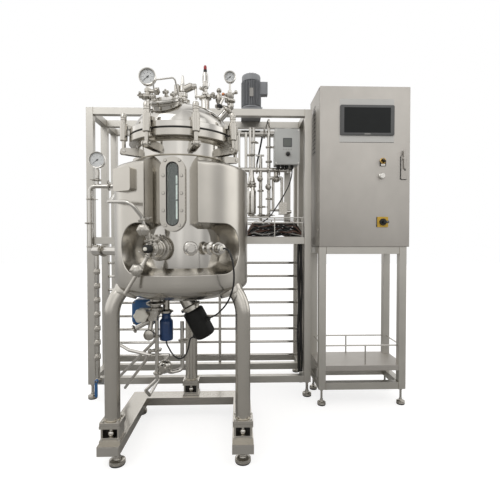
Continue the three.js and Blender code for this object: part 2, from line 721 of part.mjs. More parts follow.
function lid() {
  const wall = SHELL_WALL;
  const bore = LID_RADIUS - wall;
  const shell = turned([
    [SHELL_RADIUS - wall, lidLowZ],
    [FLANGE_RADIUS, lidLowZ],
    [FLANGE_RADIUS, lidFlangeTopZ],
    ...dish(LID_RADIUS, lidFlangeTopZ, LID_RISE, 7).reverse(),
    ...dish(bore, lidFlangeTopZ, LID_RISE - wall, 5),
    [SHELL_RADIUS - wall, lidLowZ],
  ], VESSEL_SIDES);
  const neck = turned([
    [0, -22], [MANWAY_RADIUS, -22], [MANWAY_RADIUS, MANWAY_NECK - 8],
    [MANWAY_RADIUS + 6, MANWAY_NECK - 8], [MANWAY_RADIUS + 6, MANWAY_NECK], [0, MANWAY_NECK],
  ], MANWAY_SIDES);
  const inlet = turned([
    [0, -14], [16, -14], [16, INLET_NECK - 10], [25, INLET_NECK - 5], [25, INLET_NECK], [0, INLET_NECK],
  ]);
  return join(
    shell,
    aimed(neck, MANWAY_BASE, MANWAY_AXIS),
    aimed(inlet, INLET_BASE, INLET_AXIS),
    lidStub(GAUGE_STUB),
    lidStub(VENT_STUB),
    lidStub(FILTER_STUB),
  );
}

const gasketRing = turned([
  [SHELL_RADIUS - SHELL_WALL, FLANGE_FACE_Z + SEAT],
  [FLANGE_RADIUS - 1, FLANGE_FACE_Z + SEAT],
  [FLANGE_RADIUS - 1, lidLowZ - SEAT],
  [SHELL_RADIUS - SHELL_WALL, lidLowZ - SEAT],
  [SHELL_RADIUS - SHELL_WALL, FLANGE_FACE_Z + SEAT],
], VESSEL_SIDES);

add(skid, 'lid', lid(), polishedSteel);
add(skid, 'lid_gasket', gasketRing, blackRubber);

// ---- Manway cover with its bail handle and hand nuts ----------------------------------------
const handNut = () => turned([[0, -2], [5, -2], [5, 8], [13, 10], [13, 24], [0, 26]], ROD_SIDES);

function manwayCover() {
  const lowZ = MANWAY_NECK + SEAT;
  const rim = MANWAY_RADIUS + 8;
  const coverTop = lowZ + 14;
  const plate = turned(
    [[0, lowZ], [rim, lowZ], [rim, lowZ + 9], [rim - 6, coverTop], [0, coverTop + 4]], MANWAY_SIDES,
  );
  const nuts = [90, 215, 325].map((turn) => {
    const reach = MANWAY_RADIUS - 6;
    return handNut().translate(reach * Math.cos(rad(turn)), reach * Math.sin(rad(turn)), coverTop);
  });
  const [halfSpan, rise] = [50, 82];
  const bail = pipe(
    [vec(-halfSpan - 4, 0, lowZ + 6), vec(-halfSpan + 2, 0, coverTop + rise),
      vec(halfSpan - 4, 0, coverTop + rise + 3), vec(halfSpan + 4, 0, lowZ + 6)],
    4, 14, PIPE_SIDES, 3,
  );
  return aimed(join(plate, ...nuts, bail), MANWAY_BASE, MANWAY_AXIS);
}

add(skid, 'manway_cover', manwayCover(), polishedSteel);

// ---- Swing bolts ----------------------------------------------------------------------------
function swingBolt() {
  const clawLow = lidFlangeTopZ + SEAT - BOLT_PIVOT_Z;
  const stud = turned([
    [0, 0], [BOLT_RADIUS, 0], [BOLT_RADIUS, BOLT_SLEEVE_START], [BOLT_SLEEVE_RADIUS, BOLT_SLEEVE_START],
    [BOLT_SLEEVE_RADIUS, BOLT_SLEEVE_END], [BOLT_NUT_RADIUS, BOLT_SLEEVE_END],
    [BOLT_NUT_RADIUS, BOLT_LENGTH], [0, BOLT_LENGTH],
  ], PIPE_SIDES);
  const eye = rod(vec(0, -BOLT_EYE_WIDTH / 2, 0), vec(0, BOLT_EYE_WIDTH / 2, 0), BOLT_EYE_RADIUS, 10);
  const clawReach = BOLT_CIRCLE - FLANGE_RADIUS + 14;
  const claw = block(-clawReach, 0, -12, 12, clawLow, clawLow + 16);
  return join(stud, eye, claw);
}

bolts.forEach((angle, i) => {
  const place = polar(angle, BOLT_CIRCLE, BOLT_PIVOT_Z);
  const bolt = add(skid, `swing_bolt_${i + 1}`, swingBolt(), satinSteel, place);
  bolt.rotation.z = rad(angle - 90);
});

// ---- Sampling valve, blind cap and probe in the port recess ---------------------------------
const sampleOut = outward(SAMPLE_ANGLE);
const portFace = PORT_REACH + SEAT;
const SAMPLE_BODY = 78; // from the ferrule to the hand knob
const KNOB_LENGTH = 30;
const BRANCH_AT = 58; // where the steam branches leave the valve body

const sampleFace = polar(SAMPLE_ANGLE, portFace, PORT_Z);
const branchPoint = polar(SAMPLE_ANGLE, portFace + BRANCH_AT, PORT_Z);
const upBranch = vec(-0.28, -0.12, 0.95).normalize();
const downBranch = vec(-0.5, -0.1, -0.86).normalize();
const UP_BRANCH_LENGTH = 80;
const DOWN_BRANCH_LENGTH = 98;
const SAMPLE_TAIL = 104; // the open pipe below the drain branch
const upEnd = branchPoint.clone().addScaledVector(upBranch, UP_BRANCH_LENGTH);
const downEnd = branchPoint.clone().addScaledVector(downBranch, DOWN_BRANCH_LENGTH);
const STEAM_STEM = 20;

// The way forward, square to a branch: where the stem of its hand knob points.
function squareTo(branch) {
  const ahead = vec(-0.1, -1, 0);
  return ahead.addScaledVector(branch, -ahead.dot(branch)).normalize();
}

function sampleValve() {
  const body = turned([
    [0, 0], ...clampBand(10, 30, 53, 16), [30, 24], [24, 34],
    ...clampBand(BRANCH_AT, 20, 30, 12), [17, SAMPLE_BODY - 6], [17, SAMPLE_BODY], [0, SAMPLE_BODY],
  ], TUBE_SIDES);
  const up = aimed(turned([
    [0, 0], [8, 0], ...clampBand(36, 8, 20, 10), [11, 50], [14, UP_BRANCH_LENGTH - 16],
    [14, UP_BRANCH_LENGTH + 12], [0, UP_BRANCH_LENGTH + 12],
  ]), branchPoint, upBranch);
  const down = aimed(turned([
    [0, 0], [8, 0], ...clampBand(34, 8, 18, 10), [8, 48], [13, DOWN_BRANCH_LENGTH - 20],
    [13, DOWN_BRANCH_LENGTH + 10], [7, DOWN_BRANCH_LENGTH + 12], [
      7, DOWN_BRANCH_LENGTH + SAMPLE_TAIL,
    ], [0, DOWN_BRANCH_LENGTH + SAMPLE_TAIL],
  ]), branchPoint, downBranch);
  const stem = (end, branch) => rod(end, end.clone().addScaledVector(squareTo(branch), STEAM_STEM), 9);
  return join(
    aimed(body, sampleFace, sampleOut), up, down, stem(upEnd, upBranch), stem(downEnd, downBranch),
  );
}

const sampleKnob = turned([
  [0, 0], [15, 0], [16, 4], [16, KNOB_LENGTH - 6], [13, KNOB_LENGTH], [7, KNOB_LENGTH],
  [7, KNOB_LENGTH + 6], [0, KNOB_LENGTH + 8],
], TUBE_SIDES);
const knobStart = polar(SAMPLE_ANGLE, portFace + SAMPLE_BODY + SEAT, PORT_Z);

function addSteamKnob(name, end, branch) {
  const face = squareTo(branch);
  const knob = turned([[0, 0], [14, 0], [24, 6], [25, 16], [18, 24], [0, 27]], TUBE_SIDES);
  const seat = end.clone().addScaledVector(face, STEAM_STEM + SEAT);
  addPointing(skid, name, knob, satinSteel, seat, face);
}

add(skid, 'sample_valve', sampleValve(), polishedSteel);
addPointing(skid, 'sample_valve_knob', sampleKnob, blackPlastic, knobStart, sampleOut);
addSteamKnob('steam_inlet_knob', upEnd, upBranch);
addSteamKnob('steam_outlet_knob', downEnd, downBranch);

const capBody = turned([[0, 0], [26, 0], [29, 4], [29, 12], [24, 16], [0, 17]], 20);
const capSeat = polar(CAP_ANGLE, portFace, PORT_Z);
addPointing(skid, 'blind_cap', capBody, polishedSteel, capSeat, outward(CAP_ANGLE));

const PROBE_LENGTH = 86;
const probeBody = turned([
  [0, 0], [26, 0], [29, 4], [29, 12], [20, 16], [17, 30], [23, 34], [23, 50], [15, 54], [15, 72],
  [8, 76], [8, PROBE_LENGTH], [0, PROBE_LENGTH],
], TUBE_SIDES);
const probeSeat = polar(PROBE_ANGLE, portFace, PORT_Z);
addPointing(skid, 'probe_holder', probeBody, polishedSteel, probeSeat, outward(PROBE_ANGLE));

// ---- Magnetic bottom drive and the agitator on its bearing pin ------------------------------
const driveBody = turned([
  [0, 0], [38, 0], [38, 8], [DRIVE_RADIUS - 3, 12], [DRIVE_RADIUS, 18], [DRIVE_RADIUS, DRIVE_LENGTH - 14],
  [DRIVE_RADIUS - 8, DRIVE_LENGTH], [0, DRIVE_LENGTH],
], 24);
const CONNECTOR_AT = 77; // along the drive from its flange
const CONNECTOR_REACH = 62; // from the drive's axis
const connectorWay = vec(
  0.9 * Math.cos(rad(DRIVE_LEAN)), -0.43, 0.9 * Math.sin(rad(DRIVE_LEAN)),
).normalize();
const connectorFoot = driveTop.clone().addScaledVector(driveDown, CONNECTOR_AT);
const connectorTip = connectorFoot.clone().addScaledVector(connectorWay, CONNECTOR_REACH);
const driveConnector = rod(
  connectorFoot.clone().addScaledVector(connectorWay, DRIVE_RADIUS - 8), connectorTip, 10,
);
const glandWay = vec(-Math.cos(rad(DRIVE_LEAN)), 0, -Math.sin(rad(DRIVE_LEAN)));
const glandFoot = driveTop.clone().addScaledVector(driveDown, DRIVE_LENGTH - 24);
const glandTip = glandFoot.clone().addScaledVector(glandWay, DRIVE_RADIUS + 8);
const driveGland = rod(glandFoot.clone().addScaledVector(glandWay, DRIVE_RADIUS - 8), glandTip, 8);
add(
  skid, 'drive_motor', join(aimed(driveBody, driveTop, driveDown), driveConnector, driveGland),
  blackPlastic,
);

function agitator() {
  const hub = cut(
    turned(
      [[0, hubStart], [26, hubStart], [26, hubStart + 34], [12, hubStart + 44], [0, hubStart + 44]],
      TUBE_SIDES,
    ),
    rod(vec(0, 0, hubStart - 5), vec(0, 0, hubStart + 25), BEARING_RADIUS + RUNNING, TUBE_SIDES),
  );
  const blades = [0, 90, 180, 270].map((turn) => {
    const blade = block(20, IMPELLER_RADIUS, -2, 2, hubStart + 4, hubStart + 30);
    return blade.rotateZ(rad(turn));
  });
  return aimed(join(hub, ...blades), driveTop, driveUp);
}

add(skid, 'agitator', agitator(), polishedSteel);

// ---- Outlet valve, its hand wheel and actuator, and the flow meter --------------------------
const valveTopZ = outletTopZ - SEAT;
const HANDWHEEL_CENTRE = vec(-176, -62, 604);
const valveRear = 4;

function outletValve() {
  const neck = turned([
    [0, 596], [20, 596], ...clampBand(630, 20, 32, 14), [24, valveTopZ - 5], [24, valveTopZ],
    [0, valveTopZ],
  ], TUBE_SIDES).translate(...OUTLET_STUB, 0);
  const body = block(-202, -108, -50, valveRear, 574, 622);
  const hub = rod(vec(HANDWHEEL_CENTRE.x, -49, HANDWHEEL_CENTRE.z), HANDWHEEL_CENTRE, 12);
  const spoutStart = vec(-140, -46, 578);
  const spoutWay = vec(-0.88, -0.1, -0.46).normalize();
  const spout = aimed(turned([
    [0, 0], [11, 0], [11, 74], [19, 78], [19, 84], [0, 84],
  ]), spoutStart, spoutWay);
  const capStem = rod(vec(-140, -30, 576), vec(-146, -40, 514), 12);
  const cap = rod(vec(-146, -28, 513), vec(-146, -64, 513), 24, TUBE_SIDES);
  const outlet = rod(vec(-117, -20, 580), vec(-117, -20, 558 + SEAT), 9);
  return join(neck, body, hub, spout, capStem, cap, outlet);
}

const handwheel = turned([[0, 0], [26, 0], [33, 5], [33, 18], [27, 24], [0, 24]], 6);
const handwheelSeat = HANDWHEEL_CENTRE.clone().add(vec(0, -SEAT, 0));

function outletActuator() {
  const front = valveRear + SEAT;
  const shape = new THREE.Shape();
  const [left, right, low, high, corner] = [-240, -128, 542, 664, 26];
  shape.moveTo(left + corner, low);
  shape.lineTo(right - corner, low);
  shape.quadraticCurveTo(right, low, right, low + corner);
  shape.lineTo(right, high - corner);
  shape.quadraticCurveTo(right, high, right - corner, high);
  shape.lineTo(left + corner, high);
  shape.quadraticCurveTo(left, high, left, high - corner);
  shape.lineTo(left, low + corner);
  shape.quadraticCurveTo(left, low, left + corner, low);
  const housing = new THREE.ExtrudeGeometry(shape, { depth: 92, bevelEnabled: false, curveSegments: 4 });
  return housing.rotateX(Math.PI / 2).translate(0, front + 92, 0);
}

const meterBody = turned([
  [0, 474], [29, 474], [31, 478], [31, 566], [24, 572], [20, 580], [20, meterTopZ - 10],
  [25, meterTopZ - 6], [25, meterTopZ - SEAT], [0, meterTopZ - SEAT],
], TUBE_SIDES).translate(...METER_STUB, 0);

add(skid, 'outlet_valve', outletValve(), polishedSteel);
addPointing(skid, 'outlet_handwheel', handwheel, creamPlastic, handwheelSeat, vec(0, -1, 0));
add(skid, 'outlet_actuator', outletActuator(), blueEnamel);
add(skid, 'flow_meter', meterBody, blueEnamel);

// ---- Drain pipework under the vessel --------------------------------------------------------
function drainPipework() {
  const [x, y] = [-117, -20];
  const main = turned([
    [0, 318], ...clampBand(330, 9, 17, 10), ...clampBand(436, 9, 20, 12),
    [9, 558], [0, 558],
  ]).translate(x, y, 0);
  const across = pipe(
    [vec(-60, -20, 412), vec(-150, -10, 410), vec(-280, 110, 400), vec(-420, 300, 400)],
    8, 24,
  );
  const slopeA = pipe(
    [vec(x, y, 500), vec(-136, 4, 468), vec(-394, 300, 196), vec(-480, 380, 196)], 7, 20,
  );
  const slopeB = pipe(
    [vec(-160, -5, 408), vec(-176, 10, 378), vec(-343, 250, 160), vec(-343, 330, 160)], 7, 20,
  );
  const bowl = turned(
    [[0, -30], [16, -26], [28, -10], [30, 6], [22, 24], [8, 30], [8, 52], [0, 52]], TUBE_SIDES,
  );
  const bowlStem = rod(vec(-62, -20, 412), vec(-80, -20, 384), 8);
  const bowlCap = rod(vec(-80, -20, 368), vec(-86, -66, 360), 17, CLAMP_SIDES);
  const low = pipe(
    [vec(x, y, 340), vec(x, y, 300), vec(-170, -20, 250), vec(-170, 60, 196), vec(-170, 260, 196)], 8,
    18,
  );
  const riser = pipe([vec(-80, -20, 350), vec(-60, 10, 322), vec(-8, 24, 330), vec(-8, 24, 560)], 9, 20);
  const knob = rod(vec(x, y, 436), vec(x - 34, y - 22, 436), 7);
  return join(
    main, across, slopeA, slopeB, bowl.translate(-80, -20, 360), bowlStem, bowlCap, low, riser, knob,
  );
}

add(skid, 'drain_pipework', drainPipework(), satinSteel);

// ---- Dial gauges ----------------------------------------------------------------------------
const DIAL_RECESS = 9;
const GAUGE_SIDES = 19;
const NEEDLE_LIFT = 0.6;
const NEEDLE_AT_REST = -128; // degrees from straight up, at zero pressure
const NEEDLE_THICKNESS = 1.6;
const forward = vec(0, -1, 0);

// The case, with its dial set back in the open bezel, and the stem below it.
function gaugeCase({ centre: [x, y, z], radius, depth }, stemLowZ, stemRadius) {
  const rim = radius * 0.12;
  const shell = turned([
    [0, 0], [radius - 4, 0], [radius, 4], [radius, depth], [radius - rim, depth],
    [radius - rim, depth - DIAL_RECESS], [0, depth - DIAL_RECESS],
  ], GAUGE_SIDES);
  const stem = rod(vec(x, y, stemLowZ), vec(x, y, z - radius + 3), stemRadius);
  return join(aimed(shell, vec(x, y + depth / 2, z), forward), stem);
}

function addNeedle(group, name, { centre: [x, y, z], radius, depth }) {
  const dialY = y - depth / 2 + DIAL_RECESS;
  const reach = radius * 0.72;
  const hubRadius = radius * 0.11;
  const hub = rod(vec(0, -NEEDLE_LIFT, 0), vec(0, -NEEDLE_LIFT - NEEDLE_THICKNESS - 1, 0), hubRadius, 10);
  const hand = block(-1, 1, -NEEDLE_LIFT - NEEDLE_THICKNESS, -NEEDLE_LIFT, -reach * 0.3, reach);
  const needle = add(group, name, join(hub, hand), blackPlastic, vec(x, dialY, z));
  needle.rotation.y = rad(NEEDLE_AT_REST);
}

function lidGauge() {
  const topZ = GAUGE_STUB.topZ + SEAT;
  const fitting = turned([
    [0, topZ], [25, topZ], [29, topZ + 3], [29, topZ + 10], [12, topZ + 14], [12, topZ + 22],
    [15, topZ + 24], [15, topZ + 36], [0, topZ + 36],
  ]);
  const arm = rod(vec(0, 0, topZ + 28), vec(44, -14, topZ + 22), 8);
  const armCap = rod(vec(34, -11, topZ + 23), vec(46, -15, topZ + 21), 15);
  const wing = rod(vec(0, 0, topZ + 8), vec(-38, -16, topZ + 10), 7);
  const case_ = gaugeCase(LID_GAUGE, topZ + 30, 7);
  const side = join(fitting, arm, armCap, wing).translate(GAUGE_STUB.x, GAUGE_STUB.y, 0);
  return join(case_, side);
}

add(skid, 'lid_gauge', lidGauge(), polishedSteel);
addNeedle(skid, 'lid_gauge_needle', LID_GAUGE);

// ---- Vent filter, safety valve and addition valve on the lid --------------------------------
function ventAssembly() {
  const filterZ = FILTER_STUB.topZ + SEAT;
  const ventZ = VENT_STUB.topZ + SEAT;
  const filterColumn = turned([
    [0, filterZ], ...clampBand(filterZ + 8, 17, 31, 12), [20, filterZ + 22], [23, filterZ + 26],
    [23, filterZ + 44], [16, filterZ + 52], [16, filterZ + 74], [9, filterZ + 92],
    [6, filterZ + 128], [0, filterZ + 130],
  ], TUBE_SIDES).translate(FILTER_STUB.x - 10, FILTER_STUB.y, 0);
  const base = rod(
    vec(FILTER_STUB.x, FILTER_STUB.y, filterZ), vec(
      FILTER_STUB.x, FILTER_STUB.y, filterZ + 12,
    ), 24, TUBE_SIDES,
  );
  const leftCan = rod(vec(-30, 40, filterZ + 40), vec(-30, 40, filterZ + 84), 13, CLAMP_SIDES);
  const leftArm = rod(vec(-30, 40, filterZ + 46), vec(0, 44, filterZ + 40), 8);
  const rightBody = rod(vec(0, 46, filterZ + 62), vec(44, 48, filterZ + 84), 18, CLAMP_SIDES);
  const rightCan = rod(vec(26, 47, filterZ + 76), vec(62, 47, filterZ + 80), 14, CLAMP_SIDES);
  const drop = pipe(
    [
      vec(56, 47, filterZ + 78), vec(60, 44, filterZ + 20), vec(62, 0, filterZ + 16),
      vec(106, -10, ventZ + 8),
    ],
    6, 10,
  );
  const safety = turned([
    [0, ventZ], ...clampBand(ventZ + 8, 19, 32, 12), [15, ventZ + 24], [10, ventZ + 28], [10, ventZ + 42],
    [14, ventZ + 48], [14, ventZ + 54], [12.5, ventZ + 56], [12.5, ventZ + 108], [8, ventZ + 116],
    [8, ventZ + 128],
    [6, ventZ + 129], [7, ventZ + 132], [7, ventZ + 142], [5, ventZ + 148], [0, ventZ + 149],
  ]).translate(VENT_STUB.x, VENT_STUB.y, 0);
  const header = rod(vec(VENT_STUB.x, VENT_STUB.y, ventZ + 13), vec(168, 2, ventZ + 10), 7);
  const strainer = turned([
    [0, -52], [8, -52], ...clampBand(-40, 8, 19, 12), [10, -28], [15, -14], [17, 0], [13, 13],
    [6, 17], [6, 24],
    [9, 26], [12, 34], [8, 44], [0, 46],
  ]).translate(168, 2, ventZ + 6);
  return join(filterColumn, base, leftCan, leftArm, rightBody, rightCan, drop, safety, header, strainer);
}

add(skid, 'vent_assembly', ventAssembly(), polishedSteel);

// ---- Inlet valve group at the lid's right edge ----------------------------------------------
const inletFace = INLET_BASE.clone().addScaledVector(INLET_AXIS, INLET_NECK + SEAT);
function inletAssembly() {
  const elbow = aimed(
    turned([[0, 0], ...clampBand(8, 14, 29, 12), [14, 24], [0, 24]]), inletFace, INLET_AXIS,
  );
  const [x, y, z] = INLET_GAUGE.centre;
  const bodyZ = inletFace.z + 30;
  const column = turned([
    [0, bodyZ - 6], [12, bodyZ - 6], ...clampBand(bodyZ + 12, 12, 24, 12),
    [18, bodyZ + 28], [18, bodyZ + 44], [8, bodyZ + 50], [8, bodyZ + 60], [0, bodyZ + 60],
  ]).translate(x, y, 0);
  const link = rod(inletFace.clone().addScaledVector(INLET_AXIS, 14), vec(x, y, bodyZ), 13, CLAMP_SIDES);
  const handle = rod(vec(x + 4, y, bodyZ + 40), vec(x + 34, y - 10, bodyZ + 52), 5);
  const elbowEnd = vec(x - 46, y - 44, bodyZ - 28);
  const bentTube = pipe([vec(x, y - 4, bodyZ + 20), vec(x - 26, y - 40, bodyZ + 14), elbowEnd], 6, 14);
  const endCap = aimed(
    turned([[0, 0], [13, 0], [13, 12], [0, 12]]), elbowEnd.clone().add(vec(4, 0, 8)),
    vec(-0.42, -0.08, -0.9),
  );
  return join(elbow, column, link, handle, bentTube, endCap, gaugeCase(INLET_GAUGE, bodyZ + 54, 5));
}

add(skid, 'inlet_assembly', inletAssembly(), polishedSteel);
addNeedle(skid, 'inlet_gauge_needle', INLET_GAUGE);

// ---- Pipe rack: three portal frames ---------------------------------------------------------
function portal(frontY, withMidBeam) {
  const rearY = frontY + RACK_TUBE;
  const footZ = RACK_BOTTOM_Z;
  const pieces = [
    block(RACK_LEFT, RACK_LEFT + RACK_TUBE, frontY, rearY, footZ, RACK_TOP_Z),
    block(RACK_RIGHT - RACK_TUBE, RACK_RIGHT, frontY, rearY, footZ, RACK_TOP_Z),
    block(RACK_LEFT, RACK_RIGHT, frontY, rearY, RACK_TOP_Z - RACK_TUBE, RACK_TOP_Z),
    block(RACK_LEFT, RACK_RIGHT, frontY, rearY, footZ, footZ + RACK_TUBE),
  ];
  if (withMidBeam) pieces.push(
    block(RACK_LEFT, RACK_RIGHT, frontY, rearY, RACK_MID_Z, RACK_MID_Z + RACK_TUBE),
  );
  for (const x of [RACK_LEFT + RACK_TUBE / 2, RACK_RIGHT - RACK_TUBE / 2]) {
    pieces.push(levelFoot(x, frontY + RACK_TUBE / 2, footZ + 1, 27, 6));
  }
  return pieces;
}

// Ties from a portal back to the one behind it, at both ends of the rack.
function ties(fromY, toY, heights) {
  return [RACK_LEFT, RACK_RIGHT - RACK_TUBE].flatMap((x) => (
    heights.map((z) => block(x, x + RACK_TUBE, fromY, toY, z, z + RACK_TUBE))
  ));
}

function frontFrame() {
  const heights = [RACK_BOTTOM_Z, RACK_MID_Z, RACK_TOP_Z - RACK_TUBE];
  return join(...portal(RACK_FRONT_Y, true), ...ties(RACK_FRONT_Y + 1, RACK_MIDDLE_Y - SEAT, heights));
}

function rearFrame() {
  const heights = [RACK_BOTTOM_Z, RACK_TOP_Z - RACK_TUBE];
  const start = RACK_MIDDLE_Y + RACK_TUBE + SEAT;
  return join(...portal(RACK_REAR_Y, false), ...ties(start, RACK_REAR_Y + 1, heights));
}

function middleFrame() {
  const pieces = portal(RACK_MIDDLE_Y, true);
  const middleY = RACK_MIDDLE_Y + RACK_TUBE / 2;
  for (let i = 0; i < RUNG_COUNT; i++) {
    const z = RUNG_FIRST_Z + RUNG_PITCH * i;
    pieces.push(rod(vec(RACK_LEFT + 30, middleY, z), vec(RACK_RIGHT - 30, middleY, z), RUNG_RADIUS));
  }
  const topRungZ = RUNG_FIRST_Z + RUNG_PITCH * (RUNG_COUNT - 1);
  pieces.push(rod(vec(135, middleY, RACK_BOTTOM_Z + 30), vec(135, middleY, topRungZ), 6));
  const hangerRight = HANGER_X + RACK_TUBE;
  pieces.push(
    block(
      HANGER_X, hangerRight, RACK_MIDDLE_Y, RACK_MIDDLE_Y + RACK_TUBE, RACK_MID_Z + 30,
      RACK_TOP_Z - 30,
    ),
  );
  return join(...pieces);
}

add(rack, 'rack_front_frame', frontFrame(), rackSteel);
add(rack, 'rack_middle_frame', middleFrame(), rackSteel);
add(rack, 'rack_rear_frame', rearFrame(), rackSteel);

// ---- Cable tray with its cables -------------------------------------------------------------
const trayFloorZ = RACK_MID_Z + RACK_TUBE + SEAT;
const TRAY_LEFT = 303;
const TRAY_RIGHT = 646;
const TRAY_LOW_RAIL = 86; // above the tray floor
const TRAY_TOP_RAIL = 116;
const BUNDLE_RADIUS = 9;
const CABLE_SAG = 24; // how high a bundle lies between its crests
const PIPES_LOW = 124; // where the filter pipes end, above the tray floor

function cableTray() {
  const [frontY, rearY] = [RACK_FRONT_Y + 10, RACK_MIDDLE_Y - SEAT];
  const railZ = [trayFloorZ + TRAY_LOW_RAIL, trayFloorZ + TRAY_TOP_RAIL];
  const pieces = [
    block(TRAY_LEFT, TRAY_RIGHT, frontY, rearY, trayFloorZ, trayFloorZ + 4),
    block(TRAY_LEFT, HANGER_X - SEAT, rearY - 1, RACK_MIDDLE_Y + 20, trayFloorZ, trayFloorZ + 4),
  ];
  for (const y of [frontY + 5, rearY - 5]) {
    for (const z of railZ) pieces.push(rod(vec(TRAY_LEFT, y, z), vec(TRAY_RIGHT, y, z), 4, 4));
    for (const x of [TRAY_LEFT + 6, (TRAY_LEFT + TRAY_RIGHT) / 2, TRAY_RIGHT - 6]) {
      pieces.push(rod(vec(x, y, trayFloorZ + 2), vec(x, y, railZ[1]), 3.5, 4));
    }
  }
  const lanes = 4;
  for (let i = 0; i < lanes; i++) {
    const y = frontY + 26 + i * 22;
    const crest = trayFloorZ + 36 + (i % 3) * 20;
    const wave = 10 * (i % 2 ? 1 : -1);
    const heights = [
      trayFloorZ + BUNDLE_RADIUS, crest, trayFloorZ + CABLE_SAG, crest, trayFloorZ + BUNDLE_RADIUS,
    ];
    const way = [0, 0.25, 0.5, 0.75, 1].map((t, k) => vec(
      TRAY_LEFT + 6 + (TRAY_RIGHT - TRAY_LEFT - 12) * t, y + wave * (k % 2), heights[k],
    ));
    pieces.push(cable(way, BUNDLE_RADIUS, 8, ROD_SIDES));
  }
  return join(...pieces);
}

add(rack, 'cable_tray', cableTray(), rackSteel);

// ---- Utility manifold on the rack's left post -----------------------------------------------
const MANIFOLD_VALVES = 7;
const steamEnd = upEnd.clone().addScaledVector(upBranch, 12 + SEAT);

const headerY = RACK_FRONT_Y - SEAT - 14;
const leverBossFace = headerY - 20;
const RISER_X = RACK_LEFT + 27;
const [LEVER_X, LEVER_Z] = [RACK_LEFT + 64, RACK_BOTTOM_Z + 35];

function utilityManifold() {
  const riserWay = [
    vec(RISER_X, headerY, 880), vec(RISER_X, headerY, 1256), vec(RACK_LEFT + 160, headerY, 1256),
  ];
  const riser = pipe(riserWay, 13, 32, 8, 3);
  const clamp = aimed(
    turned([...[[0, 0]], ...clampBand(10, 13, 27, 14), [13, 22], [0, 22]]),
    vec(RACK_LEFT + 128, headerY, 1256), vec(1, 0, 0),
  );
  const steamLine = pipe([
    vec(RACK_LEFT + 150, headerY, 1256), vec(RACK_LEFT + 190, headerY, 1252), polar(
      -116.6, JACKET_RADIUS + 149, 1140,
    ),
    polar(-48.7, JACKET_RADIUS + 51, 1093), polar(-24.3, JACKET_RADIUS + 66, 1083),
    steamEnd.clone().addScaledVector(upBranch, 40), steamEnd,
  ], 7, 26);
  const gauge = gaugeCase(RACK_GAUGE, 1256, 8);
  const [gaugeX, gaugeY] = RACK_GAUGE.centre;
  const fitting = rod(vec(gaugeX, gaugeY, 1300), vec(gaugeX, gaugeY, 1352), 13);
  const [x, y] = [LEVER_X, headerY];
  const column = rod(vec(x, y, LEVER_Z - 14), vec(x, y, 905), 12);
  const leverBoss = rod(vec(x, y, LEVER_Z), vec(x, leverBossFace, LEVER_Z), 13);
  const pieces = [riser, clamp, steamLine, gauge, fitting, column, leverBoss];
  for (let i = 0; i < MANIFOLD_VALVES; i++) {
    const z = 262 + i * 83;
    const valve = turned([[0, 0], [9, 0], [9, 20], [17, 24], [17, 44], [0, 44]], ROD_SIDES);
    pieces.push(aimed(valve, vec(x, y, z), vec(0.25, -1, 0).normalize()));
  }
  const radial = outward(-125);
  const lineStart = polar(-125, JACKET_RADIUS - 6, 884);
  const lineEnd = polar(-125, 660, 884);
  pieces.push(pipe([lineStart, lineEnd, vec(x, y, 884)], 12, 16));
  const disc = turned([[0, 0], [28, 0], [33, 5], [33, 13], [26, 18], [0, 19]], TUBE_SIDES);
  pieces.push(aimed(disc, vec(x, y, 884), forward));
  pieces.push(rod(vec(RISER_X, headerY, 890), vec(x, y, 880), 12));
  pieces.push(aimed(turned([[0, 0], [22, 0], [22, 16], [0, 16]]), lineStart, radial));
  const clip = (cx, z) => block(cx - 16, cx + 16, headerY - 4, RACK_FRONT_Y - SEAT, z - 9, z + 9);
  pieces.push(clip(RISER_X, 1000), clip(RISER_X, 1190), clip(x, RACK_BOTTOM_Z + RACK_TUBE / 2 + 6));
  const jacketSeat = turned([...jacketOutline(SEAT), [0, JACKET_TOP_Z]], VESSEL_SIDES);
  return cut(join(...pieces), jacketSeat);
}

add(rack, 'utility_manifold', utilityManifold(), satinSteel);
addNeedle(rack, 'utility_gauge_needle', RACK_GAUGE);

const leverPivot = vec(LEVER_X, leverBossFace - SEAT, LEVER_Z);
const lever = join(
  rod(vec(0, 0, 0), vec(0, -18, 0), 11, CLAMP_SIDES),
  block(-9, 9, -15, -10, -92, 0),
);
add(rack, 'utility_valve_lever', lever, blueEnamel, leverPivot);

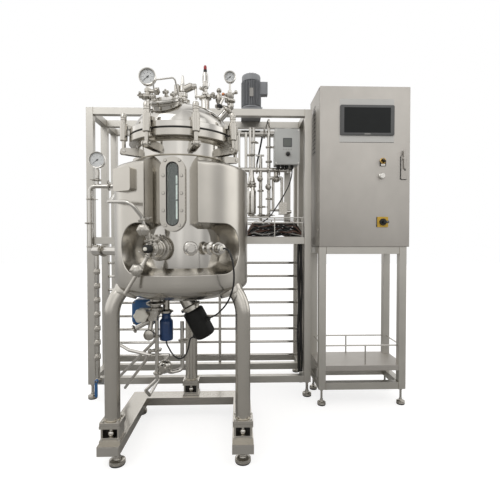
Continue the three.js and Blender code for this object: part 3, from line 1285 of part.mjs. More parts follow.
// ---- Filter pipework behind the control box -------------------------------------------------
function filterPipework() {
  const y = 612;
  const headerZ = 1380;
  const header = turned([
    [0, 0], ...clampBand(12, 17, 29, 16), ...clampBand(118, 17, 27, 12),
    ...clampBand(188, 14, 24, 12), [14, HANGER_X - 258], [0, HANGER_X - 258],
  ]);
  const filter = turned([
    [0, 1094], [22, 1094], [30, 1104], [30, 1250], [24, 1262], ...clampBand(1290, 24, 38, 14),
    [24, 1310], [17, 1340], [17, headerZ], [0, headerZ],
  ], TUBE_SIDES).translate(338, y, 0);
  const pieces = [aimed(header, vec(252, y, headerZ), vec(1, 0, 0)), filter];
  pieces.push(rod(vec(396, y, 1060), vec(396, y, headerZ + 70), 11));
  pieces.push(rod(vec(447, y, 1100), vec(447, y, 1610), 11));
  for (const x of [332, 353]) pieces.push(rod(vec(x, y, headerZ), vec(x, y, 1640), 9));
  pieces.push(rod(vec(366, y, 1469), vec(418, y, 1469), 6));
  pieces.push(rod(vec(396, y, headerZ + 60), vec(396, y, 1474), 8));
  const group = turned(
    [[0, -46], [12, -46], [24, -38], [24, -20], [14, -10], [14, 16], [26, 22], [26, 34], [0, 40]], 10,
  );
  pieces.push(group.translate(492, y, 1350));
  pieces.push(rod(vec(447, y, 1330), vec(528, y, 1330), 10));
  pieces.push(block(508, 558, y - 30, y + 30, 1102, 1178));
  pieces.push(rod(vec(528, y, 1170), vec(528, y, 1334), 9));
  pieces.push(rod(vec(447, y, 1130), vec(512, y, 1130), 8));
  const post = [HANGER_X + RACK_TUBE / 2, RACK_MIDDLE_Y - SEAT];
  for (const [x, z] of [[530, headerZ], [550, 1120]]) {
    pieces.push(rod(vec(x, y, z), vec(post[0] + 8, y, z), 10));
    pieces.push(rod(vec(post[0], y - 4, z), vec(...post, z), 9));
  }
  pieces.push(
    pipe([vec(447, y, 1600), vec(447, y, RACK_TOP_Z - 24), vec(447, post[1], RACK_TOP_Z - 24)], 9, 22),
  );
  const [crossY, crossZ] = [y + 28, 1611];
  pieces.push(rod(vec(235, crossY, crossZ), vec(HANGER_X + RACK_TUBE, crossY, crossZ), 19));
  pieces.push(rod(vec(post[0], crossY, crossZ), vec(post[0], post[1], crossZ), 9));
  for (const x of [338, 396, 447]) pieces.push(rod(vec(x, y, trayFloorZ + PIPES_LOW), vec(x, y, 1110), 11));
  const linkZ = trayFloorZ + PIPES_LOW + 6;
  pieces.push(rod(vec(338, y, linkZ), vec(447, y, linkZ), 9));
  return join(...pieces);
}

add(rack, 'filter_pipework', filterPipework(), satinSteel);

// ---- Pump motor on top of the rack ----------------------------------------------------------
const motorY = (RACK_FRONT_Y + RACK_MIDDLE_Y + RACK_TUBE) / 2;
const motorX = 345;
function pumpMotor() {
  const lowZ = RACK_TOP_Z + SEAT;
  const plateTop = lowZ + 10;
  const plate = block(
    motorX - 62, motorX + 62, RACK_FRONT_Y + 2, RACK_MIDDLE_Y + RACK_TUBE - 2, lowZ, plateTop,
  );
  const body = turned([
    [0, plateTop - 1], [56, plateTop - 1], [56, plateTop + 12], [40, plateTop + 18], [44, plateTop + 28],
    [60, plateTop + 32], [60, plateTop + 42], [53, plateTop + 46], [53, plateTop + 196],
    [58, plateTop + 198],
    [58, plateTop + 232], [46, plateTop + 243], [0, plateTop + 243],
  ], 24).translate(motorX, motorY, 0);
  const box = block(motorX + 46, motorX + 98, motorY - 24, motorY + 24, plateTop + 118, plateTop + 198);
  return join(plate, body, box);
}

add(rack, 'pump_motor', pumpMotor(), motorEnamel);

// ---- Control box and its rotary knob --------------------------------------------------------
const BOX = { left: 473, right: 626, low: 1395, high: 1609, frontY: 515, depth: 105 };
const BOX_KNOB = [554, 1458];
const glandX = [500, 528, 552, 585];

function controlBox() {
  const rearY = BOX.frontY + BOX.depth;
  const door = block(BOX.left, BOX.right, BOX.frontY, BOX.frontY + 12, BOX.low, BOX.high);
  const body = block(BOX.left + 3, BOX.right - 3, BOX.frontY + 11, rearY, BOX.low + 3, BOX.high - 3);
  const arm = block(
    HANGER_X + 5, HANGER_X + RACK_TUBE - 5, rearY - 1, RACK_MIDDLE_Y - SEAT, BOX.low + 50,
    BOX.high - 50,
  );
  const glands = glandX.map((x) => turned([
    [0, -20], [6, -20], [9, -16], [9, -8], [11, -6], [11, 4], [0, 4],
  ], PIPE_SIDES).translate(x, BOX.frontY + 45, BOX.low));
  return join(door, body, arm, ...glands);
}

const boxKnob = join(
  aimed(turned([[0, 0], [12, 0], [12, 4], [9, 6], [9, 18], [0, 19]]), vec(0, 0, 0), forward),
  block(-2.5, 2.5, -20, -5, -10, 10),
).rotateY(rad(40));
const boxKnobSeat = vec(BOX_KNOB[0], BOX.frontY - SEAT, BOX_KNOB[1]);

add(rack, 'control_box', controlBox(), paleEnamel);
add(rack, 'control_box_knob', boxKnob, blackPlastic, boxKnobSeat);

// ---- Cabinet stand with its shelf and guard rail --------------------------------------------
const cabinetRearY = CABINET_FRONT_Y + CABINET_DEPTH;
const stand = {
  left: CABINET_LEFT, right: CABINET_RIGHT - 12, front: CABINET_FRONT_Y + 6, rear: cabinetRearY,
  top: CABINET_BOTTOM_Z,
};

function cabinetStand() {
  const { left, right, front, rear, top } = stand;
  const t = STAND_TUBE;
  const pieces = [];
  for (const x of [left, right - t]) {
    for (const y of [front, rear - t]) {
      pieces.push(block(x, x + t, y, y + t, STAND_BOTTOM_Z, top));
      pieces.push(levelFoot(x + t / 2, y + t / 2, STAND_BOTTOM_Z + 1, 24, 6));
    }
    for (const z of [STAND_BOTTOM_Z, top - t]) pieces.push(block(x, x + t, front, rear, z, z + t));
  }
  for (const y of [front, rear - t]) {
    for (const z of [STAND_BOTTOM_Z, top - t]) pieces.push(block(left, right, y, y + t, z, z + t));
  }
  const lip = 30;
  const shelf = cut(
    block(left + 2, right - 2, front + 2, rear - 2, SHELF_TOP_Z - lip, SHELF_TOP_Z),
    block(left + 5, right - 5, front + 5, rear - 5, SHELF_TOP_Z - lip - 1, SHELF_TOP_Z - 3),
  );
  pieces.push(shelf);
  const guardZ = SHELF_TOP_Z + GUARD_RISE;
  const inset = t / 2;
  for (const y of [front + inset, rear - inset]) {
    pieces.push(rod(vec(left + inset, y, guardZ), vec(right - inset, y, guardZ), 4, 6));
  }
  for (const x of [left + inset, right - inset]) {
    pieces.push(rod(vec(x, front + inset, guardZ), vec(x, rear - inset, guardZ), 4, 6));
  }
  const third = (right - left) / 2.2;
  pieces.push(
    rod(vec(left + third, rear - inset, SHELF_TOP_Z - 2), vec(left + third, rear - inset, guardZ), 4, 6),
  );
  pieces.push(
    rod(
      vec(right - third, front + inset, SHELF_TOP_Z - 2), vec(right - third, front + inset, guardZ), 4,
      6,
    ),
  );
  return join(...pieces);
}

add(cabinet, 'cabinet_stand', cabinetStand(), cabinetSteel);

// ---- Cabinet body, door and what is on the door ---------------------------------------------
const cabinetLowZ = CABINET_BOTTOM_Z + SEAT;
const doorRearY = CABINET_FRONT_Y + DOOR_THICKNESS;
const LOUVRES = 12;
const LOUVRE_DROP = 78; // from the top of the cabinet to the first slot
const LOUVRE_PITCH = 24;
const LOUVRE_HEIGHT = 9;
const LOUVRE_SETBACK = 105; // from the front of the cabinet's side
const LOUVRE_LENGTH = 85;

function cabinetBody() {
  const frontY = doorRearY + RUNNING;
  const shell = block(CABINET_LEFT, CABINET_RIGHT, frontY, cabinetRearY, cabinetLowZ, CABINET_TOP_Z);
  const inside = block(
    CABINET_LEFT + SHEET, CABINET_RIGHT - SHEET, frontY - 1, cabinetRearY - SHEET,
    cabinetLowZ + SHEET, CABINET_TOP_Z - SHEET,
  );
  const louvres = Array.from({ length: LOUVRES }, (_, i) => {
    const topZ = CABINET_TOP_Z - LOUVRE_DROP - i * LOUVRE_PITCH;
    const [nearY, farY] = [frontY + LOUVRE_SETBACK, frontY + LOUVRE_SETBACK + LOUVRE_LENGTH];
    return block(CABINET_LEFT - 5, CABINET_LEFT + SHEET + 5, nearY, farY, topZ - LOUVRE_HEIGHT, topZ);
  });
  return cut(shell, inside, ...louvres);
}

// The middle of something on the door's face.
const doorSpot = ([x, z]) => vec(x, CABINET_FRONT_Y, z);

function onDoor(centre, geometry) {
  const spot = doorSpot(centre);
  return geometry.translate(spot.x, spot.y, spot.z);
}

function doorHole(centre, radius) {
  return onDoor(centre, rod(vec(0, -20, 0), vec(0, 20, 0), radius, TUBE_SIDES));
}

function cabinetDoor() {
  const rim = 14;
  const panel = cut(
    block(CABINET_LEFT, CABINET_RIGHT, CABINET_FRONT_Y, doorRearY, cabinetLowZ, CABINET_TOP_Z),
    block(
      CABINET_LEFT + rim, CABINET_RIGHT - rim, CABINET_FRONT_Y + SHEET, doorRearY + 1,
      cabinetLowZ + rim, CABINET_TOP_Z - rim,
    ),
  );
  const [screenWidth, screenHeight] = SCREEN_SIZE;
  const screenHole = onDoor(SCREEN_CENTRE, block(
    -screenWidth / 2 + 12, screenWidth / 2 - 12, -10, 10, -screenHeight / 2 + 12, screenHeight / 2 - 12,
  ));
  const collars = [SELECTOR_CENTRE, BUTTON_CENTRE].map(
    (centre) => onDoor(centre, rod(vec(0, -5, 0), vec(0, 1, 0), 17, 20)),
  );
  const lockPlate = onDoor(LOCK_CENTRE, block(-17, 17, -5, 1, -66, 66));
  const switchPlate = onDoor(SWITCH_CENTRE, block(-31, 31, -4, 1, -29, 29));
  return cut(
    join(panel, ...collars, lockPlate, switchPlate),
    screenHole,
    doorHole(SELECTOR_CENTRE, STEM_RADIUS + RUNNING),
    doorHole(BUTTON_CENTRE, STEM_RADIUS + RUNNING),
  );
}

function touchScreen() {
  const [width, height] = SCREEN_SIZE;
  const bezel = block(-width / 2, width / 2, -8, -SEAT, -height / 2, height / 2);
  const glassRecess = block(-width / 2 + 22, width / 2 - 22, -9, -6.5, -height / 2 + 14, height / 2 - 14);
  const inset = 12 + SEAT;
  const back = block(
    -width / 2 + inset, width / 2 - inset, -1, 34, -height / 2 + inset, height / 2 - inset,
  );
  return cut(join(bezel, back), glassRecess);
}

const selectorStem = rod(vec(0, 12, 0), vec(0, -12, 0), STEM_RADIUS, TUBE_SIDES);
const selectorGrip = block(-4, 4, -24, -10, -12, 12);
const selector = join(selectorStem, selectorGrip).rotateY(rad(-45));
const button = join(
  rod(vec(0, 14, 0), vec(0, -13, 0), STEM_RADIUS, TUBE_SIDES),
  rod(vec(0, -13 + 2, 0), vec(0, -13 - 3, 0), STEM_RADIUS + 3, 20),
);

const LOCK_PIVOT = 48; // above the middle of the lock plate
const lockHandle = join(
  rod(vec(0, -5 - SEAT, LOCK_PIVOT), vec(0, -16, LOCK_PIVOT), 10, CLAMP_SIDES),
  block(-7, 7, -16, -8, -56, LOCK_PIVOT),
);
const switchHandle = join(
  rod(vec(0, -4 - SEAT, 0), vec(0, -16, 0), 19, 20),
  block(-6, 24, -34, -15, -6, 6),
);

add(cabinet, 'cabinet_body', cabinetBody(), cabinetSteel);
add(door, 'cabinet_door', cabinetDoor(), cabinetSteel);
add(door, 'touch_screen', touchScreen(), blackPlastic, doorSpot(SCREEN_CENTRE));
add(door, 'selector_switch', selector, blackPlastic, doorSpot(SELECTOR_CENTRE));
add(door, 'push_button', button, whitePlastic, doorSpot(BUTTON_CENTRE));
add(door, 'door_handle', lockHandle, satinSteel, doorSpot(LOCK_CENTRE));
add(door, 'main_switch_handle', switchHandle, blackPlastic, doorSpot(SWITCH_CENTRE));

// ---- Cables ---------------------------------------------------------------------------------
const probeTip = polar(PROBE_ANGLE, portFace + PROBE_LENGTH + SEAT, PORT_Z);
const probeOut = outward(PROBE_ANGLE);
const probeRoute = [
  probeTip,
  probeTip.clone().addScaledVector(probeOut, 12),
  vec(216, -267, 899),
  vec(226, -279, 882),
  vec(233, -284, 860),
  vec(237, -284, 836),
  vec(239, -279, 811),
  vec(239, -270, 785),
  vec(237, -257, 760),
  vec(232, -240, 736),
  vec(225, -218, 712),
  vec(215, -191, 688),
  vec(203, -161, 665),
  vec(190, -130, 645),
  vec(178, -102, 629),
  vec(165, -75, 613),
  vec(151, -51, 600),
  connectorTip.clone().addScaledVector(connectorWay, 16),
  connectorTip.clone().addScaledVector(connectorWay, SEAT),
];
const meterGland = vec(...METER_STUB, 474 - SEAT);
const driveRoute = [
  glandTip.clone().addScaledVector(glandWay, SEAT),
  glandTip.clone().addScaledVector(glandWay, 13),
  vec(29.5, -0.5, 470),
  vec(27, -1, 454),
  vec(23.5, -1.5, 437),
  vec(18, -2, 420),
  vec(11, -2, 407),
  vec(2, -2, 397),
  vec(-8, -1, 391),
  vec(-18, 0, 389),
  vec(-29, 2, 392),
  vec(-40, 4, 399),
  vec(-50, 6, 409),
  vec(-59, 8, 421),
  vec(-68, 11, 436),
  vec(-76, 13, 450),
  vec(-80, 14, 463),
  meterGland,
];
const boxRoute = [
  vec(glandX[3], BOX.frontY + 45, BOX.low - 20 - SEAT),
  vec(585, 560, 1362),
  vec(583.5, 560.5, 1345),
  vec(580, 561, 1325),
  vec(575, 562, 1305),
  vec(568, 563, 1284),
  vec(559, 565, 1262),
  vec(548, 567, 1240),
  vec(536, 568.5, 1218),
  vec(523, 570, 1196),
  vec(509, 571, 1174),
  vec(495, 572, 1152),
  vec(480, 572, 1130),
  vec(466, 572, 1109),
  vec(450, 571, 1089),
  vec(433, 570, 1072),
  vec(414, 568, 1059),
  vec(400, 566, 1052),
  vec(388, 565, 1050),
];
const CABLE_RADIUS = 3.5;

add(skid, 'probe_cable', cable(probeRoute, CABLE_RADIUS, 24), blackRubber);
add(skid, 'drive_cable', cable(driveRoute, CABLE_RADIUS, 16), blackRubber);
add(rack, 'box_cable', cable(boxRoute, CABLE_RADIUS, 20), blackRubber);

// ---- Origin at the middle of the footprint --------------------------------------------------
const outer = new THREE.Box3().setFromObject(machine, true);
machine.position.set(-(outer.min.x + outer.max.x) / 2, -(outer.min.y + outer.max.y) / 2, 0);
machine.updateMatrixWorld(true);

export default machine;
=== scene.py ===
"""A pilot bioreactor: the jacketed vessel on its legs, the pipe rack behind it and the cabinet.

Lengths are in millimetres from the vessel's axis, with X to the right, Y to the rack and Z up from
the floor. Angles round the vessel go from the front (-Y) towards +X.
"""

import math

import bmesh
import bpy
from mathutils import Matrix, Vector


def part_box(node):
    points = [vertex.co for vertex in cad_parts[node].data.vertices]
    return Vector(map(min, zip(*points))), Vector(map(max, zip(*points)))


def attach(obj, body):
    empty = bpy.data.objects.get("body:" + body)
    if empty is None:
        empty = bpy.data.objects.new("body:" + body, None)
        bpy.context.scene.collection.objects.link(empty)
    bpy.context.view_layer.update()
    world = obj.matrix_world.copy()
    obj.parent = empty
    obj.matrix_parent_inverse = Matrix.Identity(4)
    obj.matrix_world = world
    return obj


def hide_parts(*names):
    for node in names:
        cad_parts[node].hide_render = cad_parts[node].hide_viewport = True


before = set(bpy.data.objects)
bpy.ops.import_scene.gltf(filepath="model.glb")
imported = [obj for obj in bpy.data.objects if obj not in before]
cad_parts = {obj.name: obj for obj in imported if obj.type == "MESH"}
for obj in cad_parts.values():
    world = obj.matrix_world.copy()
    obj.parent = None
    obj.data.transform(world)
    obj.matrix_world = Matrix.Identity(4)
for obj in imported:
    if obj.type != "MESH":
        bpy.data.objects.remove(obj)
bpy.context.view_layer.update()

bl_info = {
    "name": "Pilot Bioreactor", "version": (1, 0, 0), "blender": (4, 5, 0),
    "location": "3D View > Sidebar > Bioreactor",
    "description": "Dresses a jacketed bioreactor, its pipe rack and its control cabinet",
    "category": "Object"
}

MM = 0.001
UP = Vector((0, 0, 1))
AHEAD = Vector((0, -1, 0))
RIGHT = Vector((1, 0, 0))


def middle(node):
    """The middle of a CAD node, in metres."""
    low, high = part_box(node)
    return (Vector(low) + Vector(high)) / 2


AXIS = Vector((middle("lid_gasket").x, middle("lid_gasket").y, 0))


def span(node):
    """Lowest and highest corner of a CAD node, in millimetres from the vessel's axis."""
    low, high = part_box(node)
    return (Vector(low) - AXIS) / MM, (Vector(high) - AXIS) / MM


def in_metres(point):
    """A point given in millimetres from the vessel's axis, in the frame's metres."""
    return AXIS + Vector(point) * MM


def polar(angle, radius, z):
    """A point round the vessel."""
    turn = math.radians(angle)
    return Vector((radius * math.sin(turn), -radius * math.cos(turn), z))


def outward(angle):
    """The direction away from the vessel's axis."""
    return polar(angle, 1, 0)


def sine(degrees):
    return math.sin(math.radians(degrees))


def cosine(degrees):
    return math.cos(math.radians(degrees))


# ---- Sizes of the real machine -------------------------------------------------------------------

SHELL_RADIUS = 195
SHELL_TANGENT = 796
SHELL_DISH = 88
LIP_LOW = 1352
FLANGE_FACE = 1391
GASKET = 5
LID_FLANGE = 25
LID_RADIUS = 212
LID_RISE = 130
LID_TOP = FLANGE_FACE + GASKET + LID_FLANGE
FRONT = -2.5
SLOT_AT = -1.3
SIGHT_STRAIGHT = 208
FRAME_STRAIGHT = 198

JACKET_RADIUS = 298
JACKET_TANGENT = 754
JACKET_DISH = 85
JACKET_EDGE = 1238
JACKET_TOP = 1290
SLOT_INNER = 93
SLOT_OUTER = 106
RECESS_ANGLE = 6.5
RECESS_SPAN = 55
RECESS_INNER_SPAN = 60
RECESS_Z = 904
RECESS_HALF = 103
RECESS_INNER_HALF = 82

BOLT_COUNT = 8
BOLT_FIRST = -70
BOLT_CIRCLE = 257
BOLT_PIVOT = 1325

LEG_CIRCLE = 318
LEG_RADIUS = 31.75
LEG_BEND_START = 622
LEG_BEND = 150
LEG_LEAN = 42
LEG_UPPER = 118
LEG_ANGLES = {"leg_left": -60, "leg_right": 60, "leg_rear": 180}
RAIL_WIDTH = 90
RAIL_BOTTOM = 58
RAIL_TOP = 98
CELL_WIDTH = 86
CELL_WINDOW = 60
CELL_LOW = 121
CELL_TOP = 171

PORT_Z = 905
SAMPLE_ANGLE = -16.5
CAP_ANGLE = 16
PROBE_ANGLE = 39
PORT_REACH = 226.3
DRIVE_LEAN = 28
DRIVE_TOP = Vector((39, 0, 625))
DRIVE_DOWN = Vector((sine(DRIVE_LEAN), 0, -cosine(DRIVE_LEAN)))
OUTLET = (-120, -30)
METER = (-80, 14)
DRAIN = (-117, -20)

RACK_TUBE = 40
RACK_LEFT = -630
RACK_RIGHT = 692
RACK_TOP = 1717
RACK_BOTTOM = 89
RACK_MID = 920
RACK_FRONT = 495
RACK_MIDDLE = 736
RACK_REAR = 930
RUNG_COUNT = 8
RUNG_FIRST = 182
RUNG_PITCH = 87.4
HANGER = 560

SHEET = 3
# What is left open between parts that stand close without being joined.
GAP = 0.3


# ---- Mesh tools ----------------------------------------------------------------------------------


def toward(place, direction, side=RIGHT):
    """The frame of a part whose own Z points along a direction, and its X to one side."""
    z = Vector(direction).normalized()
    x = Vector(side) - z * z.dot(Vector(side))
    if x.length < 0.05:
        x = UP - z * z.dot(UP)
    x.normalize()
    y = z.cross(x)
    return Matrix.Translation(Vector(place)) @ Matrix((x, y, z)).transposed().to_4x4()


def standing(x, y, z=0):
    """The frame of an upright part at a place."""
    return Matrix.Translation((x, y, z))


def shifted(where, x, y, z=0):
    """A frame moved along its own axes."""
    return where @ Matrix.Translation((x, y, z))


def spun(where, degrees):
    """A frame turned about its own Z."""
    return where @ Matrix.Rotation(math.radians(degrees), 4, "Z")


def ring_frames(where, count, radius, height, first=0):
    """Frames evenly round an axis, at a radius and a height."""
    turns = [first + 360 * k / count for k in range(count)]
    return [shifted(where, radius * cosine(turn), radius * sine(turn), height) for turn in turns]


def corner_frames(where, x, y, z):
    """Frames at the four corners of a rectangle."""
    return [shifted(where, across, along, z) for across in (-x, x) for along in (-y, y)]


def rounded_route(corners, bend, steps=10):
    """A route through its corners, each rounded to the bend radius."""
    corners = [Vector(corner) for corner in corners]
    route = [corners[0]]
    for before, corner, after in zip(corners, corners[1:], corners[2:]):
        into = (corner - before).normalized()
        out = (after - corner).normalized()
        angle = into.angle(out)
        if angle < 0.02:
            route.append(corner)
            continue
        start = corner - into * bend * math.tan(angle / 2)
        side = (out - into * into.dot(out)).normalized()
        for k in range(steps + 1):
            swept = angle * k / steps
            arc = into * math.sin(swept) + side * (1 - math.cos(swept))
            route.append(start + arc * bend)
    route.append(corners[-1])
    return route


def flowing_route(corners, steps=6):
    """A smooth route through its points, as a cable lies."""
    corners = [Vector(corner) for corner in corners]
    ends = [corners[0] * 2 - corners[1], *corners, corners[-1] * 2 - corners[-2]]
    route = []
    for p0, p1, p2, p3 in zip(ends, ends[1:], ends[2:], ends[3:]):
        bend = 2 * p0 - 5 * p1 + 4 * p2 - p3
        twist = 3 * p1 - p0 - 3 * p2 + p3
        for k in range(steps):
            t = k / steps
            route.append(0.5 * (2 * p1 + (p2 - p0) * t + bend * t * t + twist * t ** 3))
    route.append(corners[-1])
    return route


def dish(radius, tangent, rise, steps, smallest=1.0):
    """Radius and height from the middle of a dished head to its rim."""
    points = []
    first = math.asin(smallest / radius)
    for i in range(steps + 1):
        turn = first + (math.pi / 2 - first) * i / steps
        points.append((radius * math.sin(turn), tangent + rise * math.cos(turn)))
    return points


def sides_for(radius):
    """How many sides make a circle look round at the size it has on the machine."""
    return 4 * round(3 + 1.6 * radius ** 0.5)


def round_outline(radius, sides):
    return [
        (radius * math.cos(math.tau * i / sides), radius * math.sin(math.tau * i / sides))
        for i in range(sides)
    ]


def oblong_outline(width, height, steps=16):
    """An upright oblong with round ends."""
    radius = width / 2
    straight = height / 2 - radius
    outline = []
    for end in (0, 1):
        for i in range(steps + 1):
            turn = math.pi * (end + i / steps)
            shift = straight if end == 0 else -straight
            outline.append((radius * math.cos(turn), radius * math.sin(turn) + shift))
    return outline


def box_outline(width, height, corner=0, steps=5):
    """A rectangle with rounded corners."""
    if corner <= 0:
        w, h = width / 2, height / 2
        return [(-w, -h), (w, -h), (w, h), (-w, h)]
    outline = []
    w, h = width / 2 - corner, height / 2 - corner
    for x, y, first in ((w, h, 0), (-w, h, 90), (-w, -h, 180), (w, -h, 270)):
        for i in range(steps + 1):
            turn = math.radians(first + 90 * i / steps)
            outline.append((x + corner * math.cos(turn), y + corner * math.sin(turn)))
    return outline


class Piece:
    """One piece of the machine while it is made: its faces, in millimetres, and their finishes."""

    def __init__(self, name, finish):
        self.name = name
        self.mesh = bmesh.new()
        self.finishes = [finish]

    def skin(self, rings, finish=None, ends=(True, True), across=True):
        """Faces over a row of rings; across closes each ring, and ends the first and the last."""
        finish = finish or self.finishes[0]
        if finish not in self.finishes:
            self.finishes.append(finish)
        rows = [[self.mesh.verts.new(point) for point in ring] for ring in rings]
        made = []
        count = len(rows[0])
        for low, high in zip(rows, rows[1:]):
            for i in range(count if across else count - 1):
                j = (i + 1) % count
                made.append(self.mesh.faces.new((low[i], low[j], high[j], high[i])))
        if ends[0]:
            made.append(self.mesh.faces.new(rows[0][::-1]))
        if ends[1]:
            made.append(self.mesh.faces.new(rows[-1]))
        for face in made:
            face.material_index = self.finishes.index(finish)

    def turned(self, profile, where, finish=None, sides=None, ends=(True, True)):
        """A turned part from its profile of radius and height."""
        sides = sides or sides_for(max(radius for radius, _ in profile))
        turns = [math.tau * i / sides for i in range(sides)]
        rings = [
            [where @ Vector((r * math.sin(turn), -r * math.cos(turn), z)) for turn in turns]
            for r, z in profile
        ]
        self.skin(rings, finish, ends)

    def ring(self, inner, outer, low, high, where, finish=None, sides=None):
        """A flat ring with a hole."""
        profile = [(inner, low), (outer, low), (outer, high), (inner, high), (inner, low)]
        self.turned(profile, where, finish, sides, ends=(False, False))

    def rod(self, start, end, radius, finish=None):
        start, end = Vector(start), Vector(end)
        length = (end - start).length
        self.turned([(radius, 0), (radius, length)], toward(start, end - start), finish)

    def tube(self, corners, radius, bend=20, finish=None, flowing=False):
        """A pipe or cable along a route."""
        route = flowing_route(corners) if flowing else rounded_route(corners, bend)
        side = None
        rings = []
        for i, place in enumerate(route):
            before = route[max(i - 1, 0)]
            after = route[min(i + 1, len(route) - 1)]
            heading = (after - before).normalized()
            if side is None:
                side = heading.orthogonal().normalized()
            side = (side - heading * heading.dot(side)).normalized()
            other = heading.cross(side)
            ring = round_outline(radius, sides_for(radius))
            rings.append([place + side * x + other * y for x, y in ring])
        self.skin(rings, finish)

    def lofted(self, rows, where, finish=None, ends=(True, True)):
        """Faces over rows of an outline and its height."""
        rings = [[where @ Vector((x, y, z)) for x, y in outline] for outline, z in rows]
        self.skin(rings, finish, ends)

    def plate(self, outline, low, high, where, finish=None):
        """A plate of an outline, between two heights of its own frame."""
        self.lofted([(outline, low), (outline, high)], where, finish)

    def frame_plate(self, outer, inner, low, high, where, finish=None):
        """A plate with a window, whose outlines have the same number of points."""
        rows = [(inner, low), (outer, low), (outer, high), (inner, high), (inner, low)]
        self.lofted(rows, where, finish, ends=(False, False))

    def hexagon(self, across_flats, low, high, where, finish=None):
        self.plate(hex_outline(across_flats), low, high, where, finish)

    def case(self, width, height, corner, rows, where, finish=None, softer=0, steps=5):
        """A rounded case from rows of height and inset; softer takes the inset off its corners."""
        outlines = [
            (box_outline(width - 2 * inset, height - 2 * inset, corner - inset * softer, steps), z)
            for z, inset in rows
        ]
        self.lofted(outlines, where, finish)

    def lobed(self, lobes, rows, where, finish=None, sides=72):
        """A hand knob from rows of height, radius and depth of the hollows between its lobes."""
        outlines = [(lobed_outline(radius, hollow, lobes, sides), z) for z, radius, hollow in rows]
        self.lofted(outlines, where, finish)

    def spokes(self, count, low, high, where, finish=None):
        """Like blocks set evenly round an axis."""
        for k in range(count):
            self.block(low, high, spun(where, 360 * k / count), finish)

    def block(self, low, high, where=Matrix(), finish=None):
        """A square-edged block between two corners."""
        (x0, y0, z0), (x1, y1, z1) = low, high
        outline = [(x0, y0), (x1, y0), (x1, y1), (x0, y1)]
        self.plate(outline, z0, z1, where, finish)

    def sphere(self, centre, radius, finish=None):
        turns = [math.pi * i / 12 for i in range(1, 12)]
        profile = [(radius * math.sin(turn), -radius * math.cos(turn)) for turn in turns]
        self.turned(profile, standing(*centre), finish)

    def build(self, body, slot, stands_for=(), edge=0.8, crease=32):
        """Turns the faces into a Blender object that rides on a body of the frame."""
        bmesh.ops.recalc_face_normals(self.mesh, faces=self.mesh.faces)
        self.mesh.transform(Matrix.Translation(AXIS) @ Matrix.Scale(MM, 4))
        for face in self.mesh.faces:
            face.smooth = True
        for line in self.mesh.edges:
            if len(line.link_faces) == 2 and line.calc_face_angle(0) > math.radians(crease):
                line.smooth = False
        data = bpy.data.meshes.new(self.name)
        self.mesh.to_mesh(data)
        self.mesh.free()
        for finish in self.finishes:
            data.materials.append(finish_of(finish))
        piece = bpy.data.objects.new(self.name, data)
        bpy.context.scene.collection.objects.link(piece)
        if edge:
            round_edges(piece, edge)
        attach(piece, body)
        if stands_for:
            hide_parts(*stands_for)
        return piece


def round_edges(piece, width):
    """Breaks the sharp edges of a piece, as a file or a press brake leaves them."""
    modifier = piece.modifiers.new("broken edges", "BEVEL")
    modifier.width = width * MM
    modifier.segments = 2
    modifier.limit_method = "ANGLE"
    modifier.angle_limit = math.radians(38)
    modifier.harden_normals = True


# ---- Colours and sizes that a user may change ----------------------------------------------------


def linear(code):
    """The linear colour of an sRGB hex code."""
    parts = [int(code[i:i + 2], 16) / 255 for i in (1, 3, 5)]
    return (*[p / 12.92 if p <= 0.04045 else ((p + 0.055) / 1.055) ** 2.4 for p in parts], 1.0)


def colour(name, description, code):
    """A colour property with its default as a hex code."""
    return bpy.props.FloatVectorProperty(
        name=name, description=description, subtype="COLOR", size=3, min=0, max=1,
        default=linear(code)[:3]
    )


def length(name, description, millimetres):
    """A length property with its default in millimetres."""
    return bpy.props.FloatProperty(
        name=name, description=description, unit="LENGTH", min=0, default=millimetres * MM
    )


